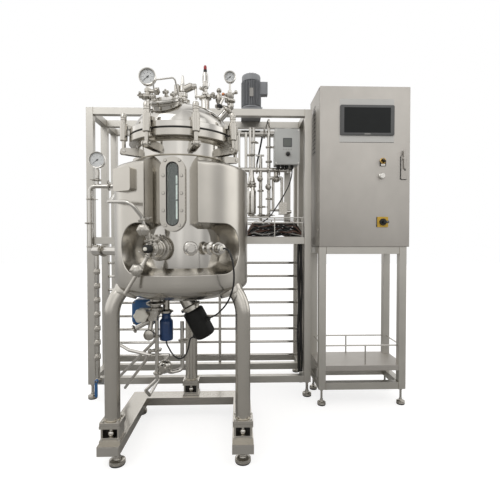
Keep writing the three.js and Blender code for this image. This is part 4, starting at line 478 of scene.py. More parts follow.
class ReactorColours(bpy.types.PropertyGroup):
    """The colour of each finish."""

    satin_steel: colour(
        "Satin steel", "Belt-ground steel of the jacket, legs and flanges", "#c3bfb7"
    )
    polished_steel: colour("Buffed steel", "Buffed steel of the lid and the pipes", "#cdcac4")
    tube_steel: colour("Tube steel", "Ground square tube of the rack and the stand", "#c6c3bc")
    cabinet_steel: colour("Sheet steel", "Bead-blasted sheet of the cabinet", "#bab6b0")
    cast_steel: colour("Cast steel", "Investment-cast valves and clamps", "#b8b4ac")
    weld_steel: colour("Welds", "Brushed welds", "#aaa394")
    brass: colour("Brass", "Turned brass", "#cfa95b")
    copper: colour("Copper", "The ball beside the inlet valve", "#c98d6b")
    black_plastic: colour("Black nylon", "Knobs, glands and the drive's ends", "#171716")
    black_paint: colour("Drive paint", "Powder coat of the bottom drive", "#161615")
    black_rubber: colour("Rubber", "Gaskets and soles", "#201f1e")
    cable_sheath: colour("Black sheath", "Sheath of the cables", "#171717")
    brown_sheath: colour("Brown sheath", "Sheath of the supply leads", "#5f4438")
    grey_sheath: colour("Grey sheath", "Sheath of the signal leads", "#9a9893")
    blue_enamel: colour("Blue enamel", "Enamel of the outlet actuator", "#2a5a8c")
    dark_blue_enamel: colour("Dark blue enamel", "Enamel of the flow meter", "#1f3d69")
    motor_enamel: colour("Motor enamel", "Enamel of the pump motor", "#86888b")
    pale_enamel: colour("Box enamel", "Powder coat of the control box", "#b5b6b3")
    cream_plastic: colour("Off-white acetal", "The outlet's hand wheel", "#dedbd0")
    white_plastic: colour("White plastic", "The lit push button", "#eceae4")
    red_plastic: colour("Red plastic", "Cap of the safety valve", "#a02a2c")
    yellow_plastic: colour("Yellow plastic", "Plate of the main switch", "#caa335")
    dial_white: colour("Dial", "Face of the dials", "#d3d5d5")
    # Flat black of print and hands; the same black is painted shade in gaps and painted shadow
    # beside plates.
    flat_black_and_painted_shade: colour("Ink", "Ink and dark gaps", "#1a1a1a")
    bezel_grey: colour("Bezel", "Frame of the touch screen", "#525353")
    overlay_print: colour("Overlay", "Printed sheet round the touch screen", "#c3c2be")
    dark_inside: colour("Vessel inside", "The unlit inside behind the sight glass", "#3c4240")


class ReactorSizes(bpy.types.PropertyGroup):
    """Sizes that change the dressing and not the machine's layout."""

    jacket_lip: length("Jacket lip", "Radius of the lip round the jacket's opening", 2.5)
    tube_corner: length("Tube corner", "Corner radius of the square tube", 2.2)
    sheet_edge: length("Sheet edge", "Edge radius of the cabinet's sheet", 0.9)
    rung: length("Rung radius", "Radius of the rods between the rack's posts", 8)
    strand: length("Lead radius", "Radius of one lead in the cable tray", 3.4)
    dial_marks: bpy.props.IntProperty(
        name="Dial marks", description="Number of marks on a dial", default=25, min=5, max=61
    )


class ReactorStage(bpy.types.PropertyGroup):
    """The camera, the room and its lamps."""

    lens: bpy.props.FloatProperty(
        name="Lens", description="Focal length of the camera", unit="CAMERA", default=27.72, min=5
    )
    room: bpy.props.FloatProperty(
        name="Room", description="Brightness of the room that the steel mirrors", default=1.9, min=0
    )
    key: bpy.props.FloatProperty(
        name="Key lamp", description="Power of the soft box on the left", unit="POWER", default=34,
        min=0
    )
    fill: bpy.props.FloatProperty(
        name="Fill lamp", description="Power of the soft box on the right", unit="POWER", default=8,
        min=0
    )


def settings(name):
    """One of the scene's groups of settings."""
    return getattr(bpy.context.scene, "reactor_" + name)


def chosen(size):
    """A size that the user may change, in millimetres."""
    return getattr(settings("sizes"), size) / MM


# ---- Finishes ------------------------------------------------------------------------------------


def add_node(material, kind, inputs=None, **options):
    """Adds a node; inputs are values, or sockets to link."""
    tree = material.node_tree
    made = tree.nodes.new(kind)
    for name, value in options.items():
        setattr(made, name, value)
    for name, value in (inputs or {}).items():
        if isinstance(value, bpy.types.NodeSocket):
            tree.links.new(value, made.inputs[name])
        else:
            made.inputs[name].default_value = value
    return made


def blank(name):
    """A material without nodes."""
    material = bpy.data.materials.new(name)
    material.use_nodes = True
    material.node_tree.nodes.clear()
    return material


def shade(material, **sockets):
    """The surface shader of a material, with its sockets named in words."""
    inputs = {name.replace("_", " "): value for name, value in sockets.items()}
    shader = add_node(material, "ShaderNodeBsdfPrincipled", inputs)
    add_node(material, "ShaderNodeOutputMaterial", {"Surface": shader.outputs["BSDF"]})
    return material


def cloudy(material, sizes, detail=2.0):
    """Noise whose patches measure these millimetres along X, Y and Z."""
    place = add_node(material, "ShaderNodeTexCoord").outputs["Object"]
    scale = [1 / (size * MM) for size in sizes]
    spread = add_node(material, "ShaderNodeMapping", {"Vector": place, "Scale": scale})
    return add_node(material, "ShaderNodeTexNoise", {
        "Vector": spread.outputs["Vector"], "Scale": 1.0, "Detail": detail,
    }).outputs["Fac"]


def between(material, amount, low, high):
    """Turns an amount from 0 to 1 into a range."""
    return add_node(material, "ShaderNodeMapRange", {
        "Value": amount, "To Min": low, "To Max": high,
    }).outputs["Result"]


def tinted(material, amount, first, second):
    """A colour between two, by an amount."""
    return add_node(
        material, "ShaderNodeMix", {"Factor": amount, "A": first, "B": second}, data_type="RGBA"
    ).outputs["Result"]


def patchy(material, key, amount, darker=0.84):
    """The colour of a finish, a little darker in patches."""
    light = getattr(settings("colours"), key)
    return tinted(material, amount, (*light, 1), (*[part * darker for part in light], 1))


def raised(material, height, depth, strength):
    """A bumped normal from a height; depth is in millimetres."""
    return add_node(material, "ShaderNodeBump", {
        "Height": height, "Distance": depth * MM, "Strength": strength,
    }).outputs["Normal"]


def metal(key, name, smooth, rough, marks, depth):
    """Bare metal; marks are the lengths of its grinding marks each way, in millimetres."""
    material = blank(name)
    lines = cloudy(material, marks)
    return shade(
        material, Metallic=1.0,
        Base_Color=patchy(material, key, cloudy(material, (90, 90, 120), 3.0)),
        Roughness=between(material, lines, smooth, rough),
        Normal=raised(material, lines, depth, 0.35)
    )


def coated(key, name, smooth, rough, patch=25, grain=0.6, depth=0.02, sheen=0.5):
    """A paint, plastic, rubber or print with faint patches of colour and a fine grain."""
    material = blank(name)
    clouds = cloudy(material, (patch, patch, patch), 3.0)
    fine = cloudy(material, (grain, grain, grain), 1.0)
    return shade(
        material, Base_Color=patchy(material, key, clouds, 0.88),
        Roughness=between(material, clouds, smooth, rough),
        Normal=raised(material, fine, depth, 0.3), Specular_IOR_Level=sheen
    )


METALS = {
    # Belt-ground 1.4404: soft highlights that run up and down the round parts.
    "satin_steel": ("Satin-ground stainless steel", 0.2, 0.27, (160, 160, 1.2), 0.003),
    # Buffed 1.4404: near-mirror, with a faint haze left by handling.
    "polished_steel": ("Buffed stainless steel", 0.1, 0.17, (60, 60, 20), 0.002),
    # Square tube ground along its length: flatter and duller than the vessel.
    "tube_steel": ("Ground stainless tube", 0.34, 0.44, (1.6, 60, 60), 0.004),
    # Sheet ground and then bead-blasted: an even, pale, warm grey without streaks.
    "cabinet_steel": ("Bead-blasted stainless sheet", 0.44, 0.54, (1.5, 1.5, 1.5), 0.004),
    # Investment castings: slightly grainy and darker than the pipes.
    "cast_steel": ("Investment-cast stainless steel", 0.2, 0.34, (3, 3, 3), 0.03),
    # Brushed weld: a dull, slightly straw-coloured band.
    "weld_steel": ("Brushed stainless weld", 0.36, 0.5, (4, 4, 4), 0.06),
    # Turned brass, a little tarnished: a small yellow glint.
    "brass": ("Turned brass", 0.2, 0.36, (6, 6, 0.8), 0.01),
    # Copper handled to a soft shine: the one red metal on the machine.
    "copper": ("Spun copper", 0.22, 0.34, (20, 20, 1), 0.01),
}

COATS = {
    # Glass-filled nylon from a spark-eroded mould: black with a soft grey sheen.
    "black_plastic": ("Moulded black nylon", 0.42, 0.54),
    # Powder coat with a very fine orange peel: the blackest part, and matt.
    "black_paint": ("Black powder coat", 0.5, 0.6, 30, 1.4, 0.05, 0.25),
    # EPDM rubber: matt, dark grey where dust has settled.
    "black_rubber": ("Black EPDM rubber", 0.62, 0.8),
    # PVC sheath: black and slightly shiny.
    "cable_sheath": ("Black PVC sheath", 0.35, 0.5),
    # PVC sheath of the supply leads: red-brown.
    "brown_sheath": ("Brown PVC sheath", 0.4, 0.5),
    # PVC sheath of the signal leads: light grey.
    "grey_sheath": ("Grey PVC sheath", 0.42, 0.55),
    # Sprayed enamel over a slightly rough casting: deep, glossy blue.
    "blue_enamel": ("Blue enamel", 0.26, 0.36, 40, 2.0, 0.06),
    # The same enamel in navy: it sets the meter off from the actuator.
    "dark_blue_enamel": ("Dark blue enamel", 0.26, 0.36, 40, 2.0, 0.06),
    # Enamel on a ribbed aluminium case: plain mid grey.
    "motor_enamel": ("Grey motor enamel", 0.4, 0.52, 30, 1.6, 0.06),
    # Textured powder coat on a small steel box: pale, cool grey.
    "pale_enamel": ("Pale grey powder coat", 0.42, 0.52, 60, 1.5, 0.08),
    # Moulded acetal: off-white, slightly waxy.
    "cream_plastic": ("Off-white acetal", 0.34, 0.45),
    # Polycarbonate cap: clean white with a small highlight.
    "white_plastic": ("White polycarbonate", 0.2, 0.3),
    # Polyethylene seal cap: a small red point above the lid.
    "red_plastic": ("Red polyethylene", 0.35, 0.45),
    # ABS plate: the warning yellow round the main switch.
    "yellow_plastic": ("Yellow ABS", 0.35, 0.45),
    # Printed aluminium: a flat, clean white.
    "dial_white": ("White dial enamel", 0.4, 0.5),
    # Printing ink and black hands, and painted shade: dark gaps, slots and holes that no light
    # reaches, and painted shadows beside raised plates.
    "flat_black_and_painted_shade": ("Black dial ink", 0.5, 0.6),
    # Anodised aluminium frame of the screen: mid grey, matt.
    "bezel_grey": ("Grey anodised bezel", 0.4, 0.5, 60, 0.8, 0.02),
    # Printed polyester sheet: a pale, slightly cool grey.
    "overlay_print": ("Pale printed overlay", 0.42, 0.52, 80, 0.8, 0.02),
    # Steel wall of the empty vessel in its own shadow: dull grey-green.
    "dark_inside": ("Unlit vessel inside", 0.45, 0.6, 60),
}


def screen_glass():
    """Touch screen, switched off: nearly black, with a soft, faint reflection."""
    material = blank("Touch screen glass")
    smudge = cloudy(material, (60, 60, 40))
    return shade(
        material, Base_Color=tinted(material, smudge, linear("#141616"), linear("#1b1e1e")),
        Roughness=between(material, smudge, 0.34, 0.42), Specular_IOR_Level=0.2
    )


def display_glass():
    """Window of the small display: grey, with faint rows."""
    material = blank("Grey display window")
    rows = cloudy(material, (3, 3, 1.2))
    return shade(
        material, Base_Color=tinted(material, rows, linear("#50534f"), linear("#6a6e69")),
        Roughness=between(material, rows, 0.3, 0.4)
    )


def clear_glass():
    """Borosilicate glass: clear, with a faint green edge and a thin haze."""
    material = blank("Borosilicate glass")
    haze = cloudy(material, (50, 50, 80))
    return shade(
        material, Base_Color=linear("#e6eeea"), Roughness=between(material, haze, 0.02, 0.07),
        IOR=1.47, Transmission_Weight=0.92
    )


def painted_glow_strip():
    """Painted light: a glowing strip that stands for the far wall catching the light behind the
    glass, with dim breaks.
    """
    material = blank("Lit inner wall")
    breaks = cloudy(material, (30, 30, 18), 3.0)
    return shade(
        material, Base_Color=tinted(material, breaks, linear("#f4f6f2"), linear("#b9bdb7")),
        Roughness=between(material, breaks, 0.2, 0.4), Emission_Color=linear("#eef1ee"),
        Emission_Strength=between(material, breaks, 0.9, 0.3)
    )


def floor_finish():
    """Studio paper: it looks white, and sends back to the steel no more than a workshop floor."""
    material = blank("White studio paper")
    clouds = cloudy(material, (400, 400, 400), 3.0)
    seen = add_node(material, "ShaderNodeLightPath").outputs["Is Camera Ray"]
    return shade(
        material, Base_Color=tinted(material, clouds, linear("#a5a4a2"), linear("#9f9e9c")),
        Roughness=0.9, Emission_Color=linear("#ffffff"),
        Emission_Strength=between(material, seen, 0.0, 0.74)
    )


GLASSES = (screen_glass, display_glass, clear_glass, painted_glow_strip, floor_finish)
MIXED = {}


def finish_of(key):
    """The material of a finish, mixed the first time it is asked for."""
    if key not in MIXED:
        if key in METALS:
            MIXED[key] = metal(key, *METALS[key])
        elif key in COATS:
            MIXED[key] = coated(key, *COATS[key])
        else:
            MIXED[key] = {maker.__name__: maker for maker in GLASSES}[key]()
    return MIXED[key]


# ---- The vessel ----------------------------------------------------------------------------------


def jacket_profile():
    """Radius and height of the jacket's upper half, from its straight wall to the shell."""
    knuckle = [
        (JACKET_RADIUS, JACKET_EDGE), (297.6, 1241.5), (296, 1245.5), (293, 1249), (288.5, 1252)
    ]
    return [*knuckle, (281, 1254.8), (240, 1271.5), (204, 1286), (198, 1289), (195.6, 1291)]


def slot_edge(radius, extra=0):
    """Half the angle of the sight-glass slot at a distance from the vessel's axis."""
    share = (radius - SHELL_RADIUS) / (JACKET_RADIUS - SHELL_RADIUS)
    half = SLOT_INNER + (SLOT_OUTER - SLOT_INNER) * share + extra * min(share * 8, 1)
    return math.degrees(math.asin(min(half / radius, 1)))


def port_recess(turn, radius, half_angle, half_height):
    """A point on the edge of the wide port recess, from its bottom (-90) to its top (90)."""
    rounding = math.degrees(half_height / radius)
    swing = half_angle - rounding + rounding * cosine(turn)
    return swing, RECESS_Z + half_height * sine(turn)


def jacket_patches(piece, rim):
    """The jacket's outside, in three bands so that each follows its own opening."""
    grown = RECESS_HALF + rim
    span = RECESS_SPAN + math.degrees(rim / JACKET_RADIUS)
    low, high = RECESS_Z - grown, RECESS_Z + grown
    below = dish(JACKET_RADIUS, -JACKET_TANGENT, JACKET_DISH, 24, 150)
    profile = [(r, -z) for r, z in below] + [(JACKET_RADIUS, z) for z in (770, 785, low)]
    piece.turned(profile, Matrix(), sides=256, ends=(False, False))

    def band(rows):
        """A band open at the front, from its rows of radius, height, middle and half angle."""
        count = 230
        rings = []
        for radius, z, centre, half in rows:
            first, last = centre + half, centre - half + 360
            rings.append(
                [polar(first + (last - first) * i / count, radius, z) for i in range(count + 1)]
            )
        piece.skin(rings, ends=(False, False), across=False)

    rows = []
    for i in range(49):
        swing, z = port_recess(-90 + 180 * i / 48, JACKET_RADIUS, span, grown)
        rows.append((JACKET_RADIUS, z, RECESS_ANGLE, swing))
    band(rows)
    edge = slot_edge(JACKET_RADIUS, rim)
    rows = []
    for i in range(9):
        out, rise = fillet(math.pi / 2 * i / 8, rim)
        rows.append((JACKET_RADIUS, high + rise, SLOT_AT, edge + out))
    rows += [(JACKET_RADIUS, z, SLOT_AT, edge) for z in range(1050, JACKET_EDGE, 30)]
    rows += [(radius, z, SLOT_AT, slot_edge(radius, rim)) for radius, z in jacket_profile()]
    band(rows)


def half_keyhole(side, rim):
    """Outer and inner edge of the keyhole opening, from its top to the middle of its bottom."""
    grown = RECESS_HALF + rim
    span = RECESS_SPAN + math.degrees(rim / JACKET_RADIUS)
    high = RECESS_Z + grown
    inner_high = RECESS_Z + RECESS_INNER_HALF
    edge = slot_edge(JACKET_RADIUS, rim)
    inner_edge = slot_edge(SHELL_RADIUS + 1)
    corner = math.degrees(rim / JACKET_RADIUS)
    pairs = []

    def add(outer, radius, z, inner, inner_z):
        pairs.append(((outer, radius, z), (inner, SHELL_RADIUS, inner_z)))

    for radius, z in jacket_profile()[::-1]:
        outer = SLOT_AT + side * slot_edge(radius, rim)
        add(outer, radius, z, FRONT + side * inner_edge, min(z, JACKET_TOP))
    for z in range(1230, 1039, -10):
        add(SLOT_AT + side * edge, JACKET_RADIUS, z, FRONT + side * inner_edge, z - 6)
    for i in range(1, 9):
        out, rise = fillet(math.pi / 2 * (1 - i / 8), rim)
        inner_z = inner_high + (1032 - inner_high) * (1 - i / 8) ** 1.5
        add(
            SLOT_AT + side * (edge + out), JACKET_RADIUS, high + rise,
            FRONT + side * (inner_edge + out), inner_z
        )
    first, inner_first = SLOT_AT + side * (edge + corner), FRONT + side * (inner_edge + corner)
    last = RECESS_ANGLE + side * port_recess(90, JACKET_RADIUS, span, grown)[0]
    inner_swing, _ = port_recess(90, SHELL_RADIUS, RECESS_INNER_SPAN, RECESS_INNER_HALF)
    inner_last = RECESS_ANGLE + side * inner_swing
    steps = 14
    for i in range(1, steps):
        share = i / steps
        add(
            first + (last - first) * share, JACKET_RADIUS, high,
            inner_first + (inner_last - inner_first) * share, inner_high
        )
    for i in range(41):
        turn = 90 - 180 * i / 40
        swing, z = port_recess(turn, JACKET_RADIUS, span, grown)
        inner, inner_z = port_recess(turn, SHELL_RADIUS, RECESS_INNER_SPAN, RECESS_INNER_HALF)
        add(RECESS_ANGLE + side * swing, JACKET_RADIUS, z, RECESS_ANGLE + side * inner, inner_z)
    for i in range(1, 21):
        share = side * (1 - i / 20)
        add(RECESS_ANGLE + swing * share, JACKET_RADIUS, z, RECESS_ANGLE + inner * share, inner_z)
    return pairs


def keyhole_wall(piece, rim):
    """The rounded lip and the wall between the jacket's face and the shell, round the opening."""
    pairs = half_keyhole(-1, rim) + half_keyhole(1, rim)[-2::-1]
    outer = [polar(*pair[0]) for pair in pairs]
    inner = [polar(*pair[1]) for pair in pairs]
    rings = []
    for i, (start, end) in enumerate(zip(outer, inner)):
        along = (outer[min(i + 1, len(outer) - 1)] - outer[max(i - 1, 0)]).normalized()
        facing = Vector((start.x, start.y, 0)).normalized()
        into = facing.cross(along).normalized()
        depth = math.hypot(start.x, start.y) - SHELL_RADIUS
        lip = min(rim, depth / 2)
        row = []
        for k in range(7):
            turn = math.pi / 2 * k / 6
            row.append(start + into * lip * math.sin(turn) - facing * lip * (1 - math.cos(turn)))
        edge = row[-1]
        hollow = start.z <= RECESS_Z + RECESS_HALF + 4
        control = edge - facing * depth * 0.62 if hollow else (edge + end) / 2
        for k in range(1, 9):
            t = k / 8
            row.append(edge * (1 - t) ** 2 + control * 2 * t * (1 - t) + end * t * t)
        rings.append(row)
    piece.skin(rings, ends=(False, False), across=False)


def fillet(turn, radius):
    """The corner between slot and recess at a turn: degrees out from the slot, and the rise."""
    out = math.degrees(radius * (1 - math.sin(turn)) / JACKET_RADIUS)
    return out, radius * (1 - math.cos(turn))


def make_jacket():
    piece = Piece("jacket_skin", "satin_steel")
    rim = chosen("jacket_lip")
    jacket_patches(piece, rim)
    keyhole_wall(piece, rim)
    weld = (SHELL_RADIUS, SHELL_RADIUS + 6, JACKET_TOP - 1, JACKET_TOP + 3)
    piece.ring(*weld, Matrix(), "weld_steel", 128)
    for angle in LEG_ANGLES.values():
        where = toward(polar(angle, 262, 712), outward(angle) * 0.42 - UP)
        piece.turned([(52, -26), (52, 0), (49, 8), (33, 10)], where)
    pad = toward(polar(-41, 284, 1180), outward(-29), outward(-29).cross(UP))
    piece.plate(box_outline(90, 92, 10), -20, 40, pad)
    stub = toward(polar(-58, 297, 1202), outward(-58))
    piece.turned([(9, -4), (9, 12), (7, 14)], stub, "polished_steel")
    piece.build("machine", "satin_steel", ["jacket"], edge=0)


def make_vessel():
    piece = Piece("vessel_wall", "satin_steel")
    low = dish(SHELL_RADIUS, 0, SHELL_DISH, 24)
    wall = [(r, SHELL_TANGENT - z) for r, z in low]
    wall += [(SHELL_RADIUS, z) for z in (830, 1000, 1200, LIP_LOW)]
    piece.turned(wall, Matrix(), "polished_steel", 160, ends=(True, False))
    lip = [
        (SHELL_RADIUS, LIP_LOW), (206, 1361), (233, 1361), (235, 1363), (235, 1389),
        (233, FLANGE_FACE), (189, FLANGE_FACE), (189, 1340)
    ]
    piece.turned(lip, Matrix(), ends=(False, False), sides=160)
    piece.ring(194.8, 197.5, LIP_LOW - 4, LIP_LOW + 2, Matrix(), "weld_steel", 128)
    start = 188
    for angle, pipe, ferrule in (
        (SAMPLE_ANGLE, 32, 45), (CAP_ANGLE, 17, 25.2), (PROBE_ANGLE, 17, 25.2)
    ):
        where = toward(polar(angle, start, PORT_Z), outward(angle))
        reach = PORT_REACH - start - GAP
        taper = [(pipe + 6, 0), (pipe + 6, 8), (pipe + 1, 12), (pipe, 16), (pipe, reach - 9)]
        piece.turned([*taper, (ferrule, reach - 3), (ferrule, reach)], where, "polished_steel")
    boss = [(49, 0.3), (49, 12), (46, 14), (34, 18), (34, 92), (38, 96), (38, 120)]
    piece.turned(boss, toward(DRIVE_TOP, -DRIVE_DOWN))
    for place, top, radius in ((OUTLET, 650, 26), (METER, 606, 16)):
        low_end = [(radius + 17, 0), (radius + 17, 6), (radius, 14), (radius, 150)]
        piece.turned(low_end, standing(*place, top))
    piece.build("machine", "polished_steel", ["vessel_shell", "bottom_head"], edge=0)


def hex_outline(across_flats):
    return round_outline(across_flats / math.sqrt(3), 6)


def hex_screw(piece, where, radius):
    """A hexagon-headed screw standing on its seat."""
    finish = "polished_steel"
    piece.turned([(radius * 1.25, 0), (radius * 1.25, radius * 0.2)], where, finish)
    piece.hexagon(radius * 1.9, radius * 0.2, radius * 0.95, where, finish)


def clamp(piece, place, direction, radius, side=RIGHT, nut_turn=0):
    """A tri-clamp on a pair of ferrules: the ferrule rims, the clamp ring and its wing nut."""
    finish = "cast_steel"
    where = spun(toward(place, direction, side), nut_turn)
    width = max(5.5, radius * 0.24)
    outer = radius + max(3.2, radius * 0.11)
    body = [
        (radius * 0.82, -width), (outer - 1.5, -width * 0.86), (outer, -width * 0.55),
        (outer, width * 0.55), (outer - 1.5, width * 0.86), (radius * 0.82, width)
    ]
    piece.turned(body, where, finish)
    lug = shifted(where, outer * 0.98, 0)
    piece.block((-3, -7, -width * 0.8), (9, 7, width * 0.8), lug, finish)
    quarter = Matrix.Rotation(math.radians(-90), 4, "X")
    bolt = shifted(where, outer + 3.5, 0) @ quarter
    piece.turned([(2.8, -13), (2.8, 20)], bolt, finish)
    piece.turned([(5.2, 7), (5.2, 11), (4, 16)], bolt, finish)
    half_wing = [(5, 7), (13, 9), (15.5, 17), (11.5, 19), (6, 13.5)]
    wing = [(-x, y) for x, y in half_wing[1::-1]] + half_wing
    wing += [(-x, y) for x, y in half_wing[:1:-1]]
    piece.plate(wing, -1.6, 1.6, bolt @ quarter.inverted(), finish)


def dial(piece, where, radius, height, sweep=270):
    """The printed dial with its marks, and dashes where the figures would be."""
    face = radius - 5.5
    marks = settings("sizes").dial_marks
    piece.turned([(face, height), (face, height + 0.4)], where, "dial_white")
    outer = face * 0.93
    for i in range(marks):
        long = i % 4 == 0
        inner, half = (face * 0.76, 0.55) if long else (face * 0.84, 0.28)
        tick = spun(where, -sweep / 2 + sweep * i / (marks - 1))
        piece.block((-half, inner, height + 0.4), (half, outer, height + 0.55), tick, "flat_black_and_painted_shade")
    dashes = 7
    for i in range(dashes):
        spot = shifted(spun(where, -sweep / 2 + sweep * i / (dashes - 1)), 0, face * 0.6)
        piece.block((-1.8, -1.2, height + 0.4), (1.8, 1.2, height + 0.5), spot, "flat_black_and_painted_shade")


def make_legs():
    plate_low, plate_top = CELL_TOP + GAP, 184.3
    knee_z = LEG_BEND_START + LEG_BEND * math.tan(math.radians(LEG_LEAN / 2))
    for node, angle in LEG_ANGLES.items():
        piece = Piece(node + "_tube", "satin_steel")
        foot = polar(angle, LEG_CIRCLE, plate_top)
        knee = polar(angle, LEG_CIRCLE, knee_z)
        top = knee + (UP * cosine(LEG_LEAN) - outward(angle) * sine(LEG_LEAN)) * LEG_UPPER
        piece.tube([foot, knee, top], LEG_RADIUS, LEG_BEND)
        where = standing(foot.x, foot.y)
        weld = [(LEG_RADIUS + 2.4, plate_top), (LEG_RADIUS, plate_top + 4.2)]
        piece.turned(weld, where, "weld_steel")
        piece.plate(box_outline(86, 86, 6), plate_low, plate_top, where)
        for spot in corner_frames(where, 31, 31, plate_top):
            hex_screw(piece, spot, 6)
        piece.build("machine", "satin_steel", [node], edge=0.7)


def level_foot(piece, x, y, top, radius=34, stem=10):
    """A levelling foot: a low rubber-soled puck, its spindle and its two nuts."""
    where = standing(x, y)
    piece.turned([(radius - 3, 0), (radius - 1, 3), (radius - 1, 7)], where, "black_rubber")
    rim = [
        (radius, 7), (radius, 12), (radius - 2, 13), (radius - 2, 15), (radius - 0.5, 16),
        (radius - 0.5, 20), (radius - 4, 22), (stem + 5, 24), (stem + 4, 27)
    ]
    piece.turned(rim, where, "satin_steel")
    piece.turned([(stem, 26), (stem, top)], where, "polished_steel")
    for low, high in ((30, 37), (top - 9, top - 1)):
        piece.hexagon(stem * 2.7, low, high, where, "polished_steel")


def load_cell(piece, x, y):
    """A load cell: two plates on cheeks, with the pin and its ball in the window between, whose
    back is a dark block of painted shade.
    """
    half, window, seat = CELL_WIDTH / 2, CELL_WINDOW / 2, 38
    foot, roof = RAIL_TOP + 11.5, CELL_TOP - 12
    where = standing(x, y)
    for low, high, finish in (
        ((-half, -half, RAIL_TOP), (half, half, foot), "satin_steel"),
        ((-seat, -seat, foot), (seat, seat, CELL_LOW), "satin_steel"),
        ((-seat, -seat + 1, CELL_LOW), (-window, seat - 1, roof), "satin_steel"),
        ((window, -seat + 1, CELL_LOW), (seat, seat - 1, roof), "satin_steel"),
        # Dark block at the back of the window: painted shade.
        ((-window, 2, CELL_LOW), (window, seat - 1, roof), "black_plastic"),
        ((-half, -half, roof), (half, half, CELL_TOP), "satin_steel")
    ):
        piece.block(low, high, where, finish)
    piece.turned([(9, CELL_LOW), (9, roof)], shifted(where, 0, -18), "polished_steel")
    piece.sphere((x, y - 18, CELL_LOW + 12), 15, "polished_steel")
    for sign in (-1, 1):
        hex_screw(piece, where @ toward((sign * 34, -seat, 115), AHEAD), 3.6)
        hex_screw(piece, standing(x + sign * 36, y - 36, foot), 4.5)


def make_base():
    piece = Piece("base_rails", "satin_steel")
    half = RAIL_WIDTH / 2
    rail = LEG_CIRCLE * sine(60)
    front = -LEG_CIRCLE * cosine(60) - 66
    rear = LEG_CIRCLE - 8 + half
    cap = 3
    for x in (-rail, rail):
        piece.block((x - half, front, RAIL_BOTTOM), (x + half, rear, RAIL_TOP))
        low = (x - half + cap, front - 0.4, RAIL_BOTTOM + cap)
        piece.block(low, (x + half - cap, front, RAIL_TOP - cap), finish="polished_steel")
    piece.block((-rail + half, rear - RAIL_WIDTH, RAIL_BOTTOM), (rail - half, rear, RAIL_TOP))
    for angle in LEG_ANGLES.values():
        foot = polar(angle, LEG_CIRCLE, 0)
        load_cell(piece, foot.x, foot.y)
    for x, y in ((-251.4, -177), (rail, -177), (-rail, 307), (rail, 307)):
        level_foot(piece, x, y, RAIL_BOTTOM)
    piece.build("machine", "satin_steel", ["base_frame"], edge=1.6)


def make_sight_glass():
    piece = Piece("sight_glass_window", "satin_steel")
    where = toward(polar(FRONT, 196, 1126), outward(FRONT))

    def oblong(width, straight=SIGHT_STRAIGHT):
        return oblong_outline(width, width + straight, 24)

    # The wider cast-steel ring between the plates shows as a dark outline round the frame: painted
    # shade.
    for width, inner, low, high, finish in (
        (104, 48, -4, 20, "satin_steel"), (105.5, 48, 20, 22, "cast_steel"),
        (102, 48, 22, 28, "satin_steel"), (52, 45, 27.4, 28.8, "black_rubber")
    ):
        outer = oblong(width, SIGHT_STRAIGHT if finish == "black_rubber" else FRAME_STRAIGHT)
        piece.frame_plate(outer, oblong(inner), low, high, where, finish)
    for across, up in ((29, 135), (37, 74), (37, 3), (37, -67), (28, -127)):
        for side in (-across, across):
            spot = shifted(where, side, up, 28)
            # A dark disc a little wider than each screw head: a painted shade ring round the head.
            piece.turned([(6.8, -0.5), (6.8, 0.2)], spot, "flat_black_and_painted_shade")
            piece.turned([(6, 0), (6, 3.4), (5.2, 4)], spot)
            piece.hexagon(4, 4, 4.12, spot, "cast_steel")
    piece.build("machine", "satin_steel", ["sight_glass_frame"], edge=1)
    inner = Piece("sight_glass_pane_clear", "dark_inside")
    pane = oblong(44.6)
    inner.plate(pane, -1, 1, where)
    inner.plate(pane, 21, 23, where, "clear_glass")
    # Glowing bars behind the glass: painted light for the lit strip of the far wall.
    for low, high in ((-100, -26), (-20, 40), (44, 78)):
        bar = shifted(where, 13, 0, 3)
        inner.block((-3.4, low, 0), (3.4, high, 2), bar, "painted_glow_strip")
    inner.build("machine", "sight_glass", ["sight_glass_pane"], edge=0.4)


def make_swing_bolts():
    shank = [(8.5, 8), (8.5, 45), (14.5, 46), (16.3, 48), (16.3, 119), (14.5, 121), (11.6, 122)]
    nut = [(11.6, 134), (13, 136), (13, 141), (12, 142), (12, 144), (13, 145), (13, 158), (10, 164)]
    lug = [(193, -16), (262, -14), (269, -10), (273, -4), (273, 6), (268, 12), (193, 18)]
    lugs = Piece("swing_bolt_lugs", "satin_steel")
    for i in range(BOLT_COUNT):
        angle = BOLT_FIRST + 360 / BOLT_COUNT * i
        name = f"swing_bolt_{i + 1}"
        side = outward(angle + 90)
        foot = polar(angle, BOLT_CIRCLE, BOLT_PIVOT)
        where = toward(foot, UP, side)
        piece = Piece(name + "_turned", "satin_steel")
        piece.turned([(13, 0), (14, 1), (14, 17), (13, 18)], toward(foot - side * 9, side))
        piece.turned([*shank, *nut], where)
        # Dark blocks across the nut's top stand for its slots: painted shade.
        for k in range(3):
            piece.block((-13.4, -1.2, 148), (13.4, 1.2, 155), spun(where, 60 * k), "flat_black_and_painted_shade")
        claw_low = LID_TOP + GAP - BOLT_PIVOT
        inward = (where.inverted() @ (foot - outward(angle) * 36)).y
        piece.block((-13, min(inward, 17), claw_low), (13, max(inward, -17), claw_low + 16), where)
        piece.build(name, "satin_steel", [name], edge=0.9)
        for sign in (-1, 1):
            axis = Vector((0, 0, BOLT_PIVOT))
            lugs.plate(lug, -3, 3, toward(axis + side * sign * 12.5, side, outward(angle)))
            pin = toward(foot + side * sign * 15.5, side * sign)
            lugs.turned([(6.5, 0), (6.5, 3), (5, 4.5)], pin, "polished_steel")
    lugs.build("machine", "satin_steel", edge=0.6)


# ---- The lid and what stands on it ---------------------------------------------------------------

